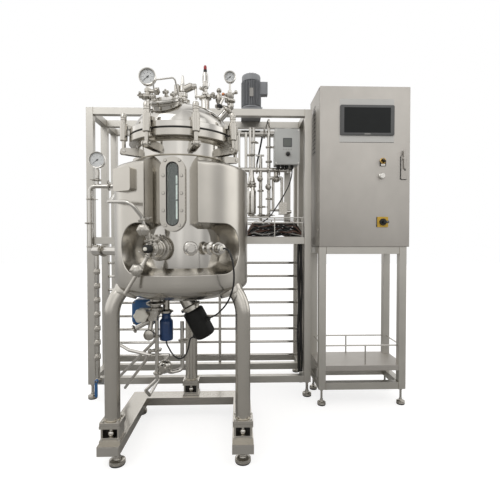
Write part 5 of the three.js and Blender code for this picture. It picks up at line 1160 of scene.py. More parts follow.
MANWAY_BASE = Vector((-47, -139, 1503))
MANWAY_AXIS = Vector((-0.1, -0.5, 0.86)).normalized()
MANWAY_NECK = 24
INLET_BASE = Vector((168, -26, 1484))
INLET_AXIS = Vector((0.68, -0.12, 0.72)).normalized()
INLET_FACE = INLET_BASE + INLET_AXIS * 60.3
GAUGE_STAND = (-129, -118)
SAFETY = (106, -10)
GAUGES = {
    "lid_gauge": ((-129, -120, 1634), 37, 30), "inlet_gauge": ((219, -30, 1676), 27, 26),
    "utility_gauge": ((-558, 476, 1405), 47, 32)
}


def lid_height(radius):
    return LID_TOP + LID_RISE * math.sqrt(1 - (radius / LID_RADIUS) ** 2)


def lid_stub(piece, x, y, top, radius, ferrule):
    start = lid_height(math.hypot(x, y)) - 6
    profile = [(radius + 4, start), (radius, start + 8), (radius, top - 8), (ferrule, top - 3)]
    piece.turned([*profile, (ferrule, top)], standing(x, y), "polished_steel")


def make_lid():
    piece = Piece("lid_dome", "polished_steel")
    flange = [
        (189, 1396.3), (233.5, 1396.3), (235, 1398), (235, 1419), (233.5, LID_TOP), (216, LID_TOP),
        (213, LID_TOP + 2)
    ]
    dome = dish(LID_RADIUS, LID_TOP, LID_RISE, 30)[::-1]
    piece.turned([*flange, *dome[1:]], Matrix(), sides=192)
    neck = toward(MANWAY_BASE, MANWAY_AXIS)
    profile = [(62, -24), (58.4, -14), (58, 12), (59, 15), (64, 16), (64, 23.6)]
    piece.turned(profile, neck, sides=96)
    band = [(65, 13.4), (68.4, 15), (68.6, 22), (65, 23.8), (60, 23.8)]
    piece.turned(band, neck, "cast_steel", 96)
    inlet = toward(INLET_BASE, INLET_AXIS)
    piece.turned([(20, -12), (16, 0), (16, 50), (25, 55), (25, 60)], inlet)
    for stub in ((*GAUGE_STAND, 1548, 12, 25), (*SAFETY, 1588, 19, 25), (6, 44, 1584, 17, 25)):
        lid_stub(piece, *stub)
    piece.build("machine", "polished_steel", ["lid"], edge=0, crease=28)
    gasket = Piece("lid_gasket_ring", "black_rubber")
    profile = [(189, 1391.4), (231, 1391.4), (231, 1395.9), (189, 1395.9)]
    gasket.turned(profile, Matrix(), ends=(False, False), sides=128)
    gasket.build("machine", "black_rubber", ["lid_gasket"], edge=0)


def lobed_outline(radius, depth, lobes, sides=72):
    outline = []
    for i in range(sides):
        turn = math.tau * i / sides
        reach = radius - depth * (0.5 - 0.5 * math.cos(lobes * turn))
        outline.append((reach * math.cos(turn), reach * math.sin(turn)))
    return outline


def star_knob(piece, where):
    """A cast four-lobed hand nut on its stud."""
    finish = "cast_steel"
    piece.turned([(9, 0), (8, 3), (5.5, 9)], where, finish)
    shares = ((8, 0.82), (10, 1), (18, 1), (20.5, 0.84), (21.5, 0.55))
    piece.lobed(4, [(z, 14 * share, 5.5 * share) for z, share in shares], where, finish)
    piece.turned([(4.2, 21), (4.2, 26), (3.4, 27)], where, "polished_steel")


def make_manway_cover():
    piece = Piece("manway_lid", "polished_steel")
    where = shifted(toward(MANWAY_BASE, MANWAY_AXIS), 0, 0, MANWAY_NECK + GAP)
    plate = [(64, 0), (66, 1), (66, 8), (63, 10.5), (40, 14), (10, 17), (0.8, 17.4)]
    piece.turned(plate, where, sides=96)
    piece.turned([(60, 11), (60.5, 12), (56, 13)], where, sides=96)
    where = where @ cad_turn(MANWAY_AXIS)
    for turn in (90, 215, 325):
        star_knob(piece, shifted(where, 52 * cosine(turn), 52 * sine(turn), 12))
    grip = [(-38, 0, 6), (-36, 0, 84), (55, 0, 86), (60, 0, 6)]
    piece.tube([where @ Vector(corner) for corner in grip], 3.4, 14)
    for x in (-38, 60):
        piece.turned([(7, 0), (7, 7), (4.5, 12)], shifted(where, x, 0, 2))
    piece.build("machine", "polished_steel", ["manway_cover"], edge=0.5)


def cad_turn(axis):
    """Turns a part's own frame so that its X lies as it does on the solid model."""
    own = toward((0, 0, 0), axis).to_3x3()
    other = UP.rotation_difference(axis).to_matrix()
    return (own.inverted() @ other).to_4x4()


def make_lid_gauge():
    piece = Piece("lid_dial_gauge", "cast_steel")
    gauge(piece, "lid_gauge")
    x, y = GAUGE_STAND
    top = 1548.3
    stand = standing(x, y, top)
    nut = standing(x, y)
    neck = [(6.8, 1584), (6.8, 1596), (9, 1597), (9, 1602), (6.8, 1603)]
    piece.turned(neck, nut, "polished_steel")
    piece.hexagon(17, 1585, 1595, nut, "polished_steel")
    clamp(piece, (x, y, top), UP, 25, nut_turn=200)
    piece.turned([(25, 0), (25, 2.6), (12, 9), (12, 22), (15, 24), (15, 36)], stand)
    arm = toward((x, y, top + 28), (44, -14, -6))
    piece.turned([(8, 0), (8, 36), (13, 37), (15, 40), (15, 48), (12, 50)], arm)
    handle = toward((-96, -131, top + 24), (44, -14, -6), UP)
    piece.plate(lobed_outline(15, 6, 4), 8, 16, handle)
    wing = toward((x, y, top + 8), (-38, -16, 2))
    piece.turned([(7, 0), (7, 22), (5, 24), (5, 40)], wing)
    piece.plate(lobed_outline(12, 5, 4), 30, 39, wing)
    piece.build("machine", "polished_steel", ["lid_gauge"], edge=0.3)


def gauge_place(name):
    """The frame on the back of a gauge, which faces the front."""
    (x, y, z), _, depth = GAUGES[name]
    return toward((x, y + depth / 2, z), AHEAD)


def gauge(piece, name):
    """The case, bezel and dial of a gauge."""
    _, radius, depth = GAUGES[name]
    where = gauge_place(name)
    body = [
        (radius * 0.5, 0.4), (radius - 6, 0.6), (radius - 2, 3), (radius - 1.4, depth * 0.6),
        (radius, depth * 0.62), (radius, depth - 2), (radius - 1.4, depth - 0.2),
        (radius - 4, depth - 0.8), (radius - 5, depth - 3), (radius - 5, depth - 10)
    ]
    piece.turned(body, where, "polished_steel")
    dial(piece, where, radius, depth - 9.6)


def make_needles():
    for name, (_, radius, depth) in GAUGES.items():
        node = name + "_needle"
        piece = Piece(node + "_hand", "flat_black_and_painted_shade")
        where = spun(gauge_place(name), 128)
        reach = radius * 0.72
        height = depth - 8.3
        hand = [
            (-1.3, -reach * 0.3), (1.3, -reach * 0.3), (0.9, 0), (0.25, reach), (-0.25, reach),
            (-0.9, 0)
        ]
        piece.plate(hand, height, height + 0.9, where)
        hub = [(radius * 0.085, 0), (radius * 0.085, 2), (radius * 0.05, 2.6)]
        piece.turned(hub, shifted(where, 0, 0, height))
        piece.build(node, "black_plastic", [node], edge=0)


def make_vent():
    piece = Piece("vent_and_safety_valve", "cast_steel")
    filter_z, vent_z = 1584.3, 1588.3
    clamp(piece, (-4, 44, filter_z + 8), UP, 26, nut_turn=250)
    column = standing(-4, 44, filter_z)
    stack = [
        (25, 0), (20, 8), (20, 22), (23, 26), (23, 44), (20, 46), (16, 52), (16, 74), (14, 78),
        (9, 92), (7.5, 104), (5.5, 122), (3, 129)
    ]
    piece.turned(stack, column, "polished_steel")
    for z in (28, 36, 56, 64, 70):
        radius = 23.6 if z < 45 else 16.6
        piece.turned([(radius, z), (radius, z + 2.2)], column)
    piece.turned([(24, 0), (24, 12)], standing(6, 44, filter_z))
    piece.turned([(10, 40), (13, 43), (13, 80), (10, 84)], standing(-30, 40, filter_z))
    piece.rod((-30, 40, filter_z + 46), (0, 44, filter_z + 40), 8)
    body = toward((0, 46, filter_z + 62), (44, 2, 22))
    piece.turned([(12, 0), (18, 3), (18, 40), (15, 44), (12, 49)], body)
    can = toward((26, 47, filter_z + 76), (36, 0, 4))
    piece.turned([(10, 0), (14, 2), (14, 30), (11, 36)], can, "polished_steel")
    for at in (8, 15, 22):
        piece.turned([(14.6, at), (14.6, at + 2)], can)
    link = [(56, 47, filter_z + 78), (60, 44, filter_z + 20), (62, 0, filter_z + 16)]
    piece.tube([*link, (*SAFETY, vent_z + 8)], 6, 10, finish="polished_steel")
    clamp(piece, (*SAFETY, vent_z), UP, 25, nut_turn=300)
    valve = standing(*SAFETY, vent_z)
    safety = [
        (25, 0), (25, 4), (15, 16), (15, 24), (10, 28), (10, 42), (14, 45), (14, 54), (12.5, 56),
        (12.5, 64), (11.6, 65), (11.6, 70), (12.5, 71), (12.5, 108), (8, 116), (7, 128)
    ]
    for profile, finish in (
        (safety, "polished_steel"), ([(14.8, 47), (14.8, 50)], "flat_black_and_painted_shade"),
        ([(8, 116), (8, 129)], "black_plastic"),
        ([(6.4, 129), (7, 131), (7, 142), (5, 148)], "red_plastic")
    ):
        piece.turned(profile, valve, finish)
    # Six dark strips round the bonnet: painted shade in its gaps.
    piece.spokes(6, (12.1, -1.2, 76), (12.9, 1.2, 100), valve, "flat_black_and_painted_shade")
    turns = [-200 + 220 * k / 24 for k in range(25)]
    ring = [(112 + 15 * cosine(turn), -24, vent_z + 58 + 15 * sine(turn)) for turn in turns]
    piece.tube(ring, 1.1, 2, finish="polished_steel")
    piece.rod((*SAFETY, vent_z + 13), (168, 2, vent_z + 10), 7)
    for at in (24, 40):
        spot = toward((106 + at, -10 + at * 0.19, vent_z + 13 - at * 0.05), (62, 12, -3))
        piece.hexagon(19, -4, 4, spot)
    strainer = [
        (8, -52), (8, -44), (19, -42), (19, -33), (10, -30), (10, -26), (15, -16), (17, 0),
        (13, 13), (6, 17), (6, 24), (9, 26), (12, 32), (10, 40), (5, 45)
    ]
    piece.turned(strainer, standing(168, 2, vent_z + 6))
    lever = toward((*SAFETY, vent_z + 34), (-30, -30, 6))
    piece.turned([(6, 0), (6, 18), (4, 20), (4, 26)], lever)
    piece.plate(lobed_outline(9, 4, 4), 24, 31, lever)
    knob = toward((140, -3, vent_z + 12), (0.15, -1, 0.25))
    piece.turned([(5, 0), (5, 14), (8, 15), (9, 20), (6, 24)], knob)
    piece.build("machine", "polished_steel", ["vent_assembly"], edge=0.35)


def make_inlet():
    piece = Piece("inlet_valve_group", "cast_steel")
    elbow = toward(INLET_FACE, INLET_AXIS)
    piece.turned([(25, 0), (25, 4), (14, 12), (14, 24)], elbow)
    clamp(piece, INLET_FACE, INLET_AXIS, 25, UP, nut_turn=150)
    x, y = 219, -30
    base = INLET_FACE.z + 30
    column = standing(x, y, base)
    stack = [
        (12, -6), (12, 4), (24, 8), (24, 16), (13, 20), (18, 28), (18, 44), (14, 46), (8, 50),
        (8, 60)
    ]
    piece.turned(stack, column)
    piece.hexagon(17, 48, 58, column, "polished_steel")
    link = INLET_FACE + INLET_AXIS * 14
    piece.tube([link, link + INLET_AXIS * 18, (x, y, base)], 13, 12)
    handle = toward((x + 4, y, base + 40), (30, -10, 12))
    piece.turned([(5, 0), (5, 20), (8, 22), (9, 30), (6, 33)], handle)
    stop = toward((x, y, base + 36), (-0.94, -0.3, 0.1))
    piece.turned([(7, 0), (7, 20), (5, 21), (5, 26)], stop)
    piece.sphere((x - 30, y - 10, base + 39), 7.5, "copper")
    elbow_end = Vector((x - 46, y - 44, base - 28))
    bend = [(x, y - 4, base + 20), (x - 26, y - 40, base + 14), elbow_end]
    piece.tube(bend, 5.6, 14, finish="polished_steel")
    end = toward(elbow_end + Vector((4, 0, 8)), (-0.42, -0.08, -0.9))
    piece.turned([(9, 0), (13, 2), (13, 9), (11, 12)], end, "black_plastic")
    gauge(piece, "inlet_gauge")
    piece.rod((x, y, base + 54), (x, y, 1650), 4.6, "polished_steel")
    piece.build("machine", "polished_steel", ["inlet_assembly"], edge=0.3)


# ---- Valves, cap and probe in the port recess ----------------------------------------------------

SAMPLE_OUT = outward(SAMPLE_ANGLE)
SAMPLE_FACE = polar(SAMPLE_ANGLE, PORT_REACH, PORT_Z)
BRANCH = polar(SAMPLE_ANGLE, PORT_REACH + 58, PORT_Z)
UP_BRANCH = Vector((-0.28, -0.12, 0.95)).normalized()
DOWN_BRANCH = Vector((-0.5, -0.1, -0.86)).normalized()
UP_LENGTH = 80
DOWN_LENGTH = 98
STEAM_END = BRANCH + UP_BRANCH * (UP_LENGTH + 12.3)


STEAM_KNOBS = (("steam_inlet_knob", BRANCH + UP_BRANCH * UP_LENGTH, UP_BRANCH), (
    "steam_outlet_knob", BRANCH + DOWN_BRANCH * DOWN_LENGTH, DOWN_BRANCH,
))


def square_to(branch):
    """The direction of a branch's hand knob."""
    ahead = Vector((-0.1, -1, 0))
    return (ahead - branch * ahead.dot(branch)).normalized()


def make_sample_valve():
    piece = Piece("sampling_valve", "cast_steel")
    body = toward(SAMPLE_FACE, SAMPLE_OUT)
    clamp(piece, SAMPLE_FACE + SAMPLE_OUT * 0.6, SAMPLE_OUT, 45, UP, nut_turn=20)
    profile = [
        (45, 0), (45, 5), (30, 14), (30, 24), (24, 28), (24, 34), (20, 38), (20, 52), (30, 54),
        (30, 63), (20, 65), (17, 68), (17, 78)
    ]
    piece.turned(profile, body)
    for spot in ring_frames(body, 4, 25, 63, 45):
        hex_screw(piece, spot, 3.6)
    riser = [(8, 0), (8, 30), (20, 33), (20, 40), (11, 43), (11, 50), (14, 62), (14, 90), (9, 92.3)]
    drop = [
        (8, 0), (8, 29), (18, 31), (18, 38), (8, 40), (8, 70), (13, 78), (13, 108), (9, 110),
        (7, 111), (7, 202)
    ]
    for way, profile, clamps in ((UP_BRANCH, riser, ((36, 17, 120),)), (
        DOWN_BRANCH, drop, ((34, 15.5, 60), (116, 12, 80)),
    )):
        piece.turned(profile, toward(BRANCH, way, square_to(way)))
        for reach, radius, nut_turn in clamps:
            clamp(piece, BRANCH + way * reach, way, radius, square_to(way), nut_turn)
    for _, end, way in STEAM_KNOBS:
        stem = toward(end, square_to(way))
        piece.turned([(16, 9), (16, 13), (9, 14), (9, 20)], stem)
        for spot in ring_frames(stem, 4, 12.5, 13, 45):
            hex_screw(piece, spot, 2.2)
    piece.build("machine", "polished_steel", ["sample_valve"], edge=0.35)
    knob = Piece("sampling_valve_cap", "black_plastic")
    start = toward(polar(SAMPLE_ANGLE, PORT_REACH + 78.3, PORT_Z), SAMPLE_OUT)
    knob.turned([(14, 0), (15.6, 2), (16, 6), (16, 24), (14.5, 28), (9, 30)], start)
    knob.turned([(7, 30), (7, 36), (5, 38)], start, "cream_plastic")
    knob.spokes(16, (15.2, -0.9, 6), (16.3, 0.9, 23), start)
    knob.build("sample_valve_knob", "black_plastic", ["sample_valve_knob"], edge=0.3)
    rows = [
        (4, 19, 2.4), (7, 23.4, 2.4), (10, 24.6, 2.4), (16, 24.6, 2.4), (20, 22, 2.4),
        (24, 15, 0.4), (26, 8, 0.4)
    ]
    for node, end, way in STEAM_KNOBS:
        hand = Piece(node + "_cast", "cast_steel")
        face = square_to(way)
        where = toward(end + face * 20.3, face)
        hand.turned([(13, 0), (14, 2), (17, 5)], where)
        hand.lobed(6, rows, where)
        hand.turned([(4.5, 25.6), (4, 27)], where, "polished_steel")
        hand.build(node, "satin_steel", [node], edge=0.4)


def make_cap_and_probe():
    cap = Piece("blind_cap_clamped", "polished_steel")
    where = toward(polar(CAP_ANGLE, PORT_REACH, PORT_Z), outward(CAP_ANGLE))
    cap.turned([(25, 0.3), (26, 1), (29, 4), (29, 11), (26, 14), (17, 15), (16, 17)], where)
    bar = spun(where, math.degrees(0.5))
    # A dark block a little wider than the bar, at its foot: painted shade round the bar.
    cap.block((-21, -5, 13), (21, 5, 15.2), bar, "flat_black_and_painted_shade")
    cap.block((-20, -3, 14), (20, 3, 21), bar)
    cap.build("machine", "polished_steel", ["blind_cap"], edge=0.4)
    probe = Piece("probe_housing", "polished_steel")
    where = toward(polar(PROBE_ANGLE, PORT_REACH, PORT_Z), outward(PROBE_ANGLE))
    body = [
        (25, 0.3), (26, 1), (29, 4), (29, 11), (25, 13), (19, 16), (18, 30), (26, 34), (28, 37),
        (28, 50), (26, 53), (17, 54), (17, 60), (20, 62), (20, 74), (12, 76)
    ]
    probe.turned(body, where)
    probe.turned([(12, 72), (10, 78), (8, 80), (8, 85.6)], where, "cream_plastic")
    probe.build("machine", "polished_steel", ["probe_holder"], edge=0.3)


# ---- The bottom drive, the outlet and the drains -------------------------------------------------

CONNECTOR_WAY = Vector((0.9 * cosine(DRIVE_LEAN), -0.43, 0.9 * sine(DRIVE_LEAN))).normalized()
CONNECTOR_FOOT = DRIVE_TOP + DRIVE_DOWN * 77
CONNECTOR_TIP = CONNECTOR_FOOT + CONNECTOR_WAY * 62
GLAND_WAY = Vector((-cosine(DRIVE_LEAN), 0, -sine(DRIVE_LEAN)))
GLAND_FOOT = DRIVE_TOP + DRIVE_DOWN * 123
GLAND_TIP = GLAND_FOOT + GLAND_WAY * 57


def make_drive():
    piece = Piece("bottom_drive", "black_plastic")
    where = toward(DRIVE_TOP, DRIVE_DOWN)
    piece.turned([(38, 0.3), (38, 8), (40, 9)], where, "satin_steel")
    body = [
        (40, 8), (45, 11), (48, 15), (49, 20), (49, 60), (48.2, 60.5), (48.2, 61.5), (49, 62),
        (49, 130), (47, 138), (43, 143), (36, 147)
    ]
    piece.turned(body, where, "black_paint")
    # Six dark discs on the end face: painted shade in its screw holes.
    for spot in ring_frames(where, 6, 33, 147):
        piece.turned([(3.4, -1), (3.4, 0.6)], spot, "flat_black_and_painted_shade")
    connector = toward(CONNECTOR_FOOT, CONNECTOR_WAY)
    piece.turned([(13, 43), (13, 50), (10, 51), (10, 60), (7, 62)], connector)
    gland = toward(GLAND_FOOT, GLAND_WAY)
    piece.turned([(11, 43), (11, 49), (8, 50), (8, 55), (5.5, 57)], gland)
    piece.hexagon(20, 48, 52, gland)
    piece.build("machine", "black_plastic", ["drive_motor"], edge=0.6)


def make_agitator():
    piece = Piece("magnetic_impeller", "polished_steel")
    start = (SHELL_TANGENT - SHELL_DISH + 6 - DRIVE_TOP.z) / cosine(DRIVE_LEAN) + 42.3
    where = shifted(toward(DRIVE_TOP, -DRIVE_DOWN), 0, 0, start)
    piece.turned([(24, 0), (26, 3), (26, 32), (12, 44)], where)
    piece.spokes(4, (20, -1.6, 4), (52, 1.6, 30), where)
    piece.build("agitator", "polished_steel", ["agitator"], edge=0.5)


def make_outlet():
    piece = Piece("outlet_valve_body", "cast_steel")
    neck = [(20, 600), (20, 622), (32, 625), (32, 634), (24, 638), (24, 649.6)]
    piece.turned(neck, standing(*OUTLET))
    clamp(piece, (*OUTLET, 649.8), UP, 26, nut_turn=230)
    piece.block((-200, -50, 576), (-110, 3.8, 620))
    for spot in corner_frames(toward((-155, -50, 598), AHEAD), 37, 14, 0):
        hex_screw(piece, spot, 4)
    piece.turned([(22, 0), (20, 5), (12, 8), (12, 12.6)], toward((-176, -49, 604), AHEAD))
    spout = toward((-140, -46, 578), (-0.88, -0.1, -0.46))
    piece.turned([(13, 4), (11, 8), (11, 72), (19, 78), (19, 84)], spout, "polished_steel")
    piece.tube([(-140, -30, 576), (-143, -35, 545), (-146, -42, 514)], 11, 10)
    cap = toward((-146, -30, 513), AHEAD)
    piece.turned([(20, 0), (23.6, 2), (24, 26), (22, 30), (14, 34)], cap)
    piece.spokes(8, (22.6, -2.2, 5), (25, 2.2, 25), cap)
    piece.turned([(9, 0), (9, 22)], toward((*DRAIN, 580), -UP), "polished_steel")
    piece.build("machine", "polished_steel", ["outlet_valve"], edge=0.9)
    wheel = Piece("outlet_hand_wheel", "cream_plastic")
    where = toward((-176, -62.3, 604), AHEAD)
    rows = [
        (0, 24, 4.5), (3, 30, 4.5), (6, 32.4, 4.5), (17, 32.8, 4.5), (21, 30, 4.5), (24, 24, 4.5),
        (24.6, 12, 0.5)
    ]
    wheel.lobed(6, rows, where)
    wheel.turned([(6, 24), (5, 25.4)], where)
    wheel.build("outlet_handwheel", "cream_plastic", ["outlet_handwheel"], edge=0.4)
    low, high = span("outlet_actuator")
    box = Piece("valve_actuator", "blue_enamel")
    where = toward(((low.x + high.x) / 2, high.y, (low.z + high.z) / 2), AHEAD)
    width, depth, height = high - low
    rows = [
        (0, 3), (2, 1), (4, 0), (depth - 14, 0), (depth - 5, 2.5), (depth - 1.5, 7), (depth, 11)
    ]
    box.case(width, height, 26, rows, where, softer=0.7, steps=8)
    for spot in corner_frames(where, 44, 48, depth - 2):
        hex_screw(box, spot, 4)
    box.plate(box_outline(52, 26, 3), -0.6, 0.4, shifted(where, 8, 10, depth), "pale_enamel")
    side = toward((low.x + 2, (low.y + high.y) / 2, low.z + 46), -RIGHT)
    box.turned([(26, -1), (26, 0.4)], side, "dark_blue_enamel")
    box.build("machine", "blue_enamel", ["outlet_actuator"], edge=0.8)
    meter = Piece("flow_transmitter", "dark_blue_enamel")
    where = standing(*METER)
    body = [
        (24, 474), (28.5, 475), (30.5, 478), (31, 484), (31, 560), (29, 567), (24, 572), (20, 580),
        (20, 594), (25, 599), (25, 605.6)
    ]
    meter.turned(body, where)
    clamp(meter, (*METER, 605), UP, 22, nut_turn=210)
    meter.turned([(31.4, 500), (31.4, 503)], where)
    meter.plate(box_outline(26, 44, 2), -1.4, 0.3, where @ toward((2, -31, 530), AHEAD))
    meter.build("machine", "blue_enamel", ["flow_meter"], edge=0.5)


def make_drains():
    piece = Piece("drain_pipes", "polished_steel")
    x, y = DRAIN
    piece.turned([(9, 318), (9, 558)], standing(x, y))
    for z, radius in ((330, 14), (436, 17), (500, 13)):
        clamp(piece, (x, y, z), UP, radius, nut_turn=z)
    bowl = standing(-80, -20, 360)
    trap = [
        (6, -30), (14, -28), (24, -18), (29, -6), (30, 5), (27, 15), (20, 25), (9, 30), (8, 34),
        (8, 52)
    ]
    piece.turned(trap, bowl)
    piece.turned([(31.4, 2), (32.4, 4), (32.4, 9), (31, 11)], bowl, "cast_steel")
    piece.rod((-62, -20, 412), (-80, -20, 384), 8)
    cap = toward((-80, -20, 368), (-6, -46, -8))
    piece.turned([(12, 20), (17, 24), (17, 42), (14, 47)], cap, "cast_steel")
    piece.plate(lobed_outline(19, 4, 6), 34, 45, cap, "cast_steel")
    for route, radius, bend in (
        ([(-60, -20, 412), (-150, -10, 410), (-280, 110, 400), (-420, 300, 400)], 8, 24),
        ([(x, y, 500), (-136, 4, 468), (-394, 300, 196), (-480, 380, 196)], 7, 20),
        ([(-160, -5, 408), (-176, 10, 378), (-343, 250, 160), (-343, 330, 160)], 7, 20),
        ([(x, y, 340), (x, y, 300), (-170, -20, 250), (-170, 60, 196), (-170, 260, 196)], 8, 18),
        ([(-80, -20, 350), (-60, 10, 322), (-8, 24, 330), (-8, 24, 560)], 9, 20)
    ):
        piece.tube(route, radius, bend)
    clamp(piece, (-8, 24, 470), UP, 15, nut_turn=30)
    knob = toward((x, y, 436), (-34, -22, 0))
    piece.turned([(7, 0), (7, 28), (11, 30), (12, 38), (9, 41)], knob, "cast_steel")
    piece.build("machine", "satin_steel", ["drain_pipework"], edge=0.3)


# ---- The pipe rack -------------------------------------------------------------------------------


def weld_seam(piece, place, direction, half):
    """The fillet weld round the end of a square tube."""
    where = toward(place, direction)
    outer = box_outline(2 * half + 4, 2 * half + 4, 3)
    piece.plate(outer, 0, 1.4, where, "weld_steel")


def portal(piece, y, mid_beam):
    """Two posts with a beam at the top, one at the bottom and, on two portals, one between."""
    right = RACK_RIGHT - RACK_TUBE
    half = RACK_TUBE / 2
    low, high = RACK_LEFT + RACK_TUBE, y + RACK_TUBE
    for x in (RACK_LEFT, right):
        piece.block((x, y, RACK_BOTTOM), (x + RACK_TUBE, high, RACK_TOP), finish="tube_steel")
    beams = [RACK_TOP - RACK_TUBE, RACK_BOTTOM] + ([RACK_MID] if mid_beam else [])
    for z in beams:
        piece.block((low, y, z), (right, high, z + RACK_TUBE), finish="tube_steel")
        for x, way in ((low, RIGHT), (right, -RIGHT)):
            weld_seam(piece, (x, y + half, z + half), way, half)
    for x in (RACK_LEFT, right):
        level_foot(piece, x + half, y + half, RACK_BOTTOM, 27, 8)


def tie(piece, start, end, heights):
    """Beams from the front to the back at both ends of the rack."""
    for z in heights:
        for x in (RACK_LEFT, RACK_RIGHT - RACK_TUBE):
            piece.block((x, start, z), (x + RACK_TUBE, end, z + RACK_TUBE), finish="tube_steel")


def make_rack():
    top, low = RACK_TOP - RACK_TUBE, RACK_BOTTOM
    corner = chosen("tube_corner")
    piece = Piece("rack_front_portal", "tube_steel")
    portal(piece, RACK_FRONT, True)
    tie(piece, RACK_FRONT + RACK_TUBE, RACK_MIDDLE - GAP, (low, RACK_MID, top))
    # Three dark leads down inside the right posts stand where the posts' inner side lies in shade:
    # painted shade.
    for x, sheath in ((625, "cable_sheath"), (635, "black_plastic"), (645, "cable_sheath")):
        route = [
            (x + 3 * math.sin(k * 1.4 + x), 556 + 3 * math.cos(k * 2.3), RACK_MID - 98 * k)
            for k in range(9)
        ]
        piece.tube(route, 6.5, finish=sheath, flowing=True)
    piece.build("machine", "rack_steel", ["rack_front_frame"], edge=corner)
    piece = Piece("rack_rear_portal", "tube_steel")
    portal(piece, RACK_REAR, False)
    tie(piece, RACK_MIDDLE + RACK_TUBE + GAP, RACK_REAR, (low, top))
    piece.build("machine", "rack_steel", ["rack_rear_frame"], edge=corner)
    piece = Piece("rack_middle_portal", "polished_steel")
    portal(piece, RACK_MIDDLE, True)
    axis = RACK_MIDDLE + RACK_TUBE / 2
    post_low = (HANGER, RACK_MIDDLE, RACK_MID + RACK_TUBE)
    post_high = (HANGER + RACK_TUBE, RACK_MIDDLE + RACK_TUBE, top)
    piece.block(post_low, post_high, finish="tube_steel")
    for i in range(RUNG_COUNT):
        z = RUNG_FIRST + RUNG_PITCH * i
        piece.rod((-591, axis, z), (653, axis, z), chosen("rung"))
        for x, way in ((-590, RIGHT), (652, -RIGHT)):
            piece.turned([(11, 0), (8, 2.5)], toward((x, axis, z), way), "weld_steel")
    piece.rod((135, axis, RACK_BOTTOM + 30), (135, axis, z), 9)
    piece.build("machine", "rack_steel", ["rack_middle_frame"], edge=corner)


TRAY_FLOOR = RACK_MID + RACK_TUBE + GAP
TRAY_LEFT = 303
TRAY_RIGHT = 646
LANES = 4
SHEATHS = (
    "cable_sheath", "brown_sheath", "cable_sheath", "grey_sheath", "black_plastic", "cable_sheath",
    "brown_sheath"
)


def strand_route(lane, strand):
    """One lead along the tray: it climbs over and dips under its neighbours."""
    y = RACK_FRONT + 36 + lane * 22
    phase = strand * 1.7 + lane * 0.9
    length = TRAY_RIGHT - TRAY_LEFT - 12
    route = []
    for k in range(9):
        sink = 0.25 if k in (0, 8) else 1
        rise = 6 + (8 + 11.5 * strand + 9 * math.sin(k * 1.25 + phase)) * sink
        across = y + 8 * math.cos(k * 0.9 + phase)
        route.append((TRAY_LEFT + 6 + length * k / 8, across, TRAY_FLOOR + max(rise, 7)))
    return route


def make_tray():
    piece = Piece("cable_tray_bundle", "tube_steel")
    front, rear = RACK_FRONT + 10, RACK_MIDDLE - GAP
    high = TRAY_FLOOR + 116
    piece.block((TRAY_LEFT, front, TRAY_FLOOR), (TRAY_RIGHT, rear, TRAY_FLOOR + 3))
    piece.block((TRAY_LEFT, rear - 1, TRAY_FLOOR), (HANGER - GAP, RACK_MIDDLE + 20, TRAY_FLOOR + 3))
    for y in (front + 5, rear - 5):
        for z in (TRAY_FLOOR + 86, high):
            piece.rod((TRAY_LEFT, y, z), (TRAY_RIGHT, y, z), 4, "polished_steel")
        for x in (TRAY_LEFT + 6, (TRAY_LEFT + TRAY_RIGHT) / 2, TRAY_RIGHT - 6):
            piece.rod((x, y, TRAY_FLOOR + 2), (x, y, high), 3.5, "polished_steel")
    for lane in range(LANES):
        for strand in range(len(SHEATHS)):
            sheath = SHEATHS[(strand * 3 + lane * 2) % len(SHEATHS)]
            piece.tube(strand_route(lane, strand), chosen("strand"), finish=sheath, flowing=True)
    piece.build("machine", "rack_steel", ["cable_tray"], edge=0.6)


STEAM_END_Y = RACK_FRONT - 14 - GAP
VALVE_COUNT = 7
VALVE_FIRST = 262
VALVE_PITCH = 83


def diaphragm_valve(piece, place, way, length=44, radius=17):
    """A small diaphragm valve with its bonnet and lobed hand knob."""
    where = toward(place, way)
    piece.turned([(9, 0), (9, 14), (13, 17), (13, 22)], where, "cast_steel")
    piece.turned([(radius, 22), (radius, 27), (radius - 3, 29)], where, "cast_steel")
    shares = ((29, 0.7), (31, 0.95), (length - 5, 1), (length - 1, 0.8), (length, 0.5))
    rows = [(z, radius * share, 3 * share) for z, share in shares]
    piece.lobed(6, rows, where, "cast_steel", 48)


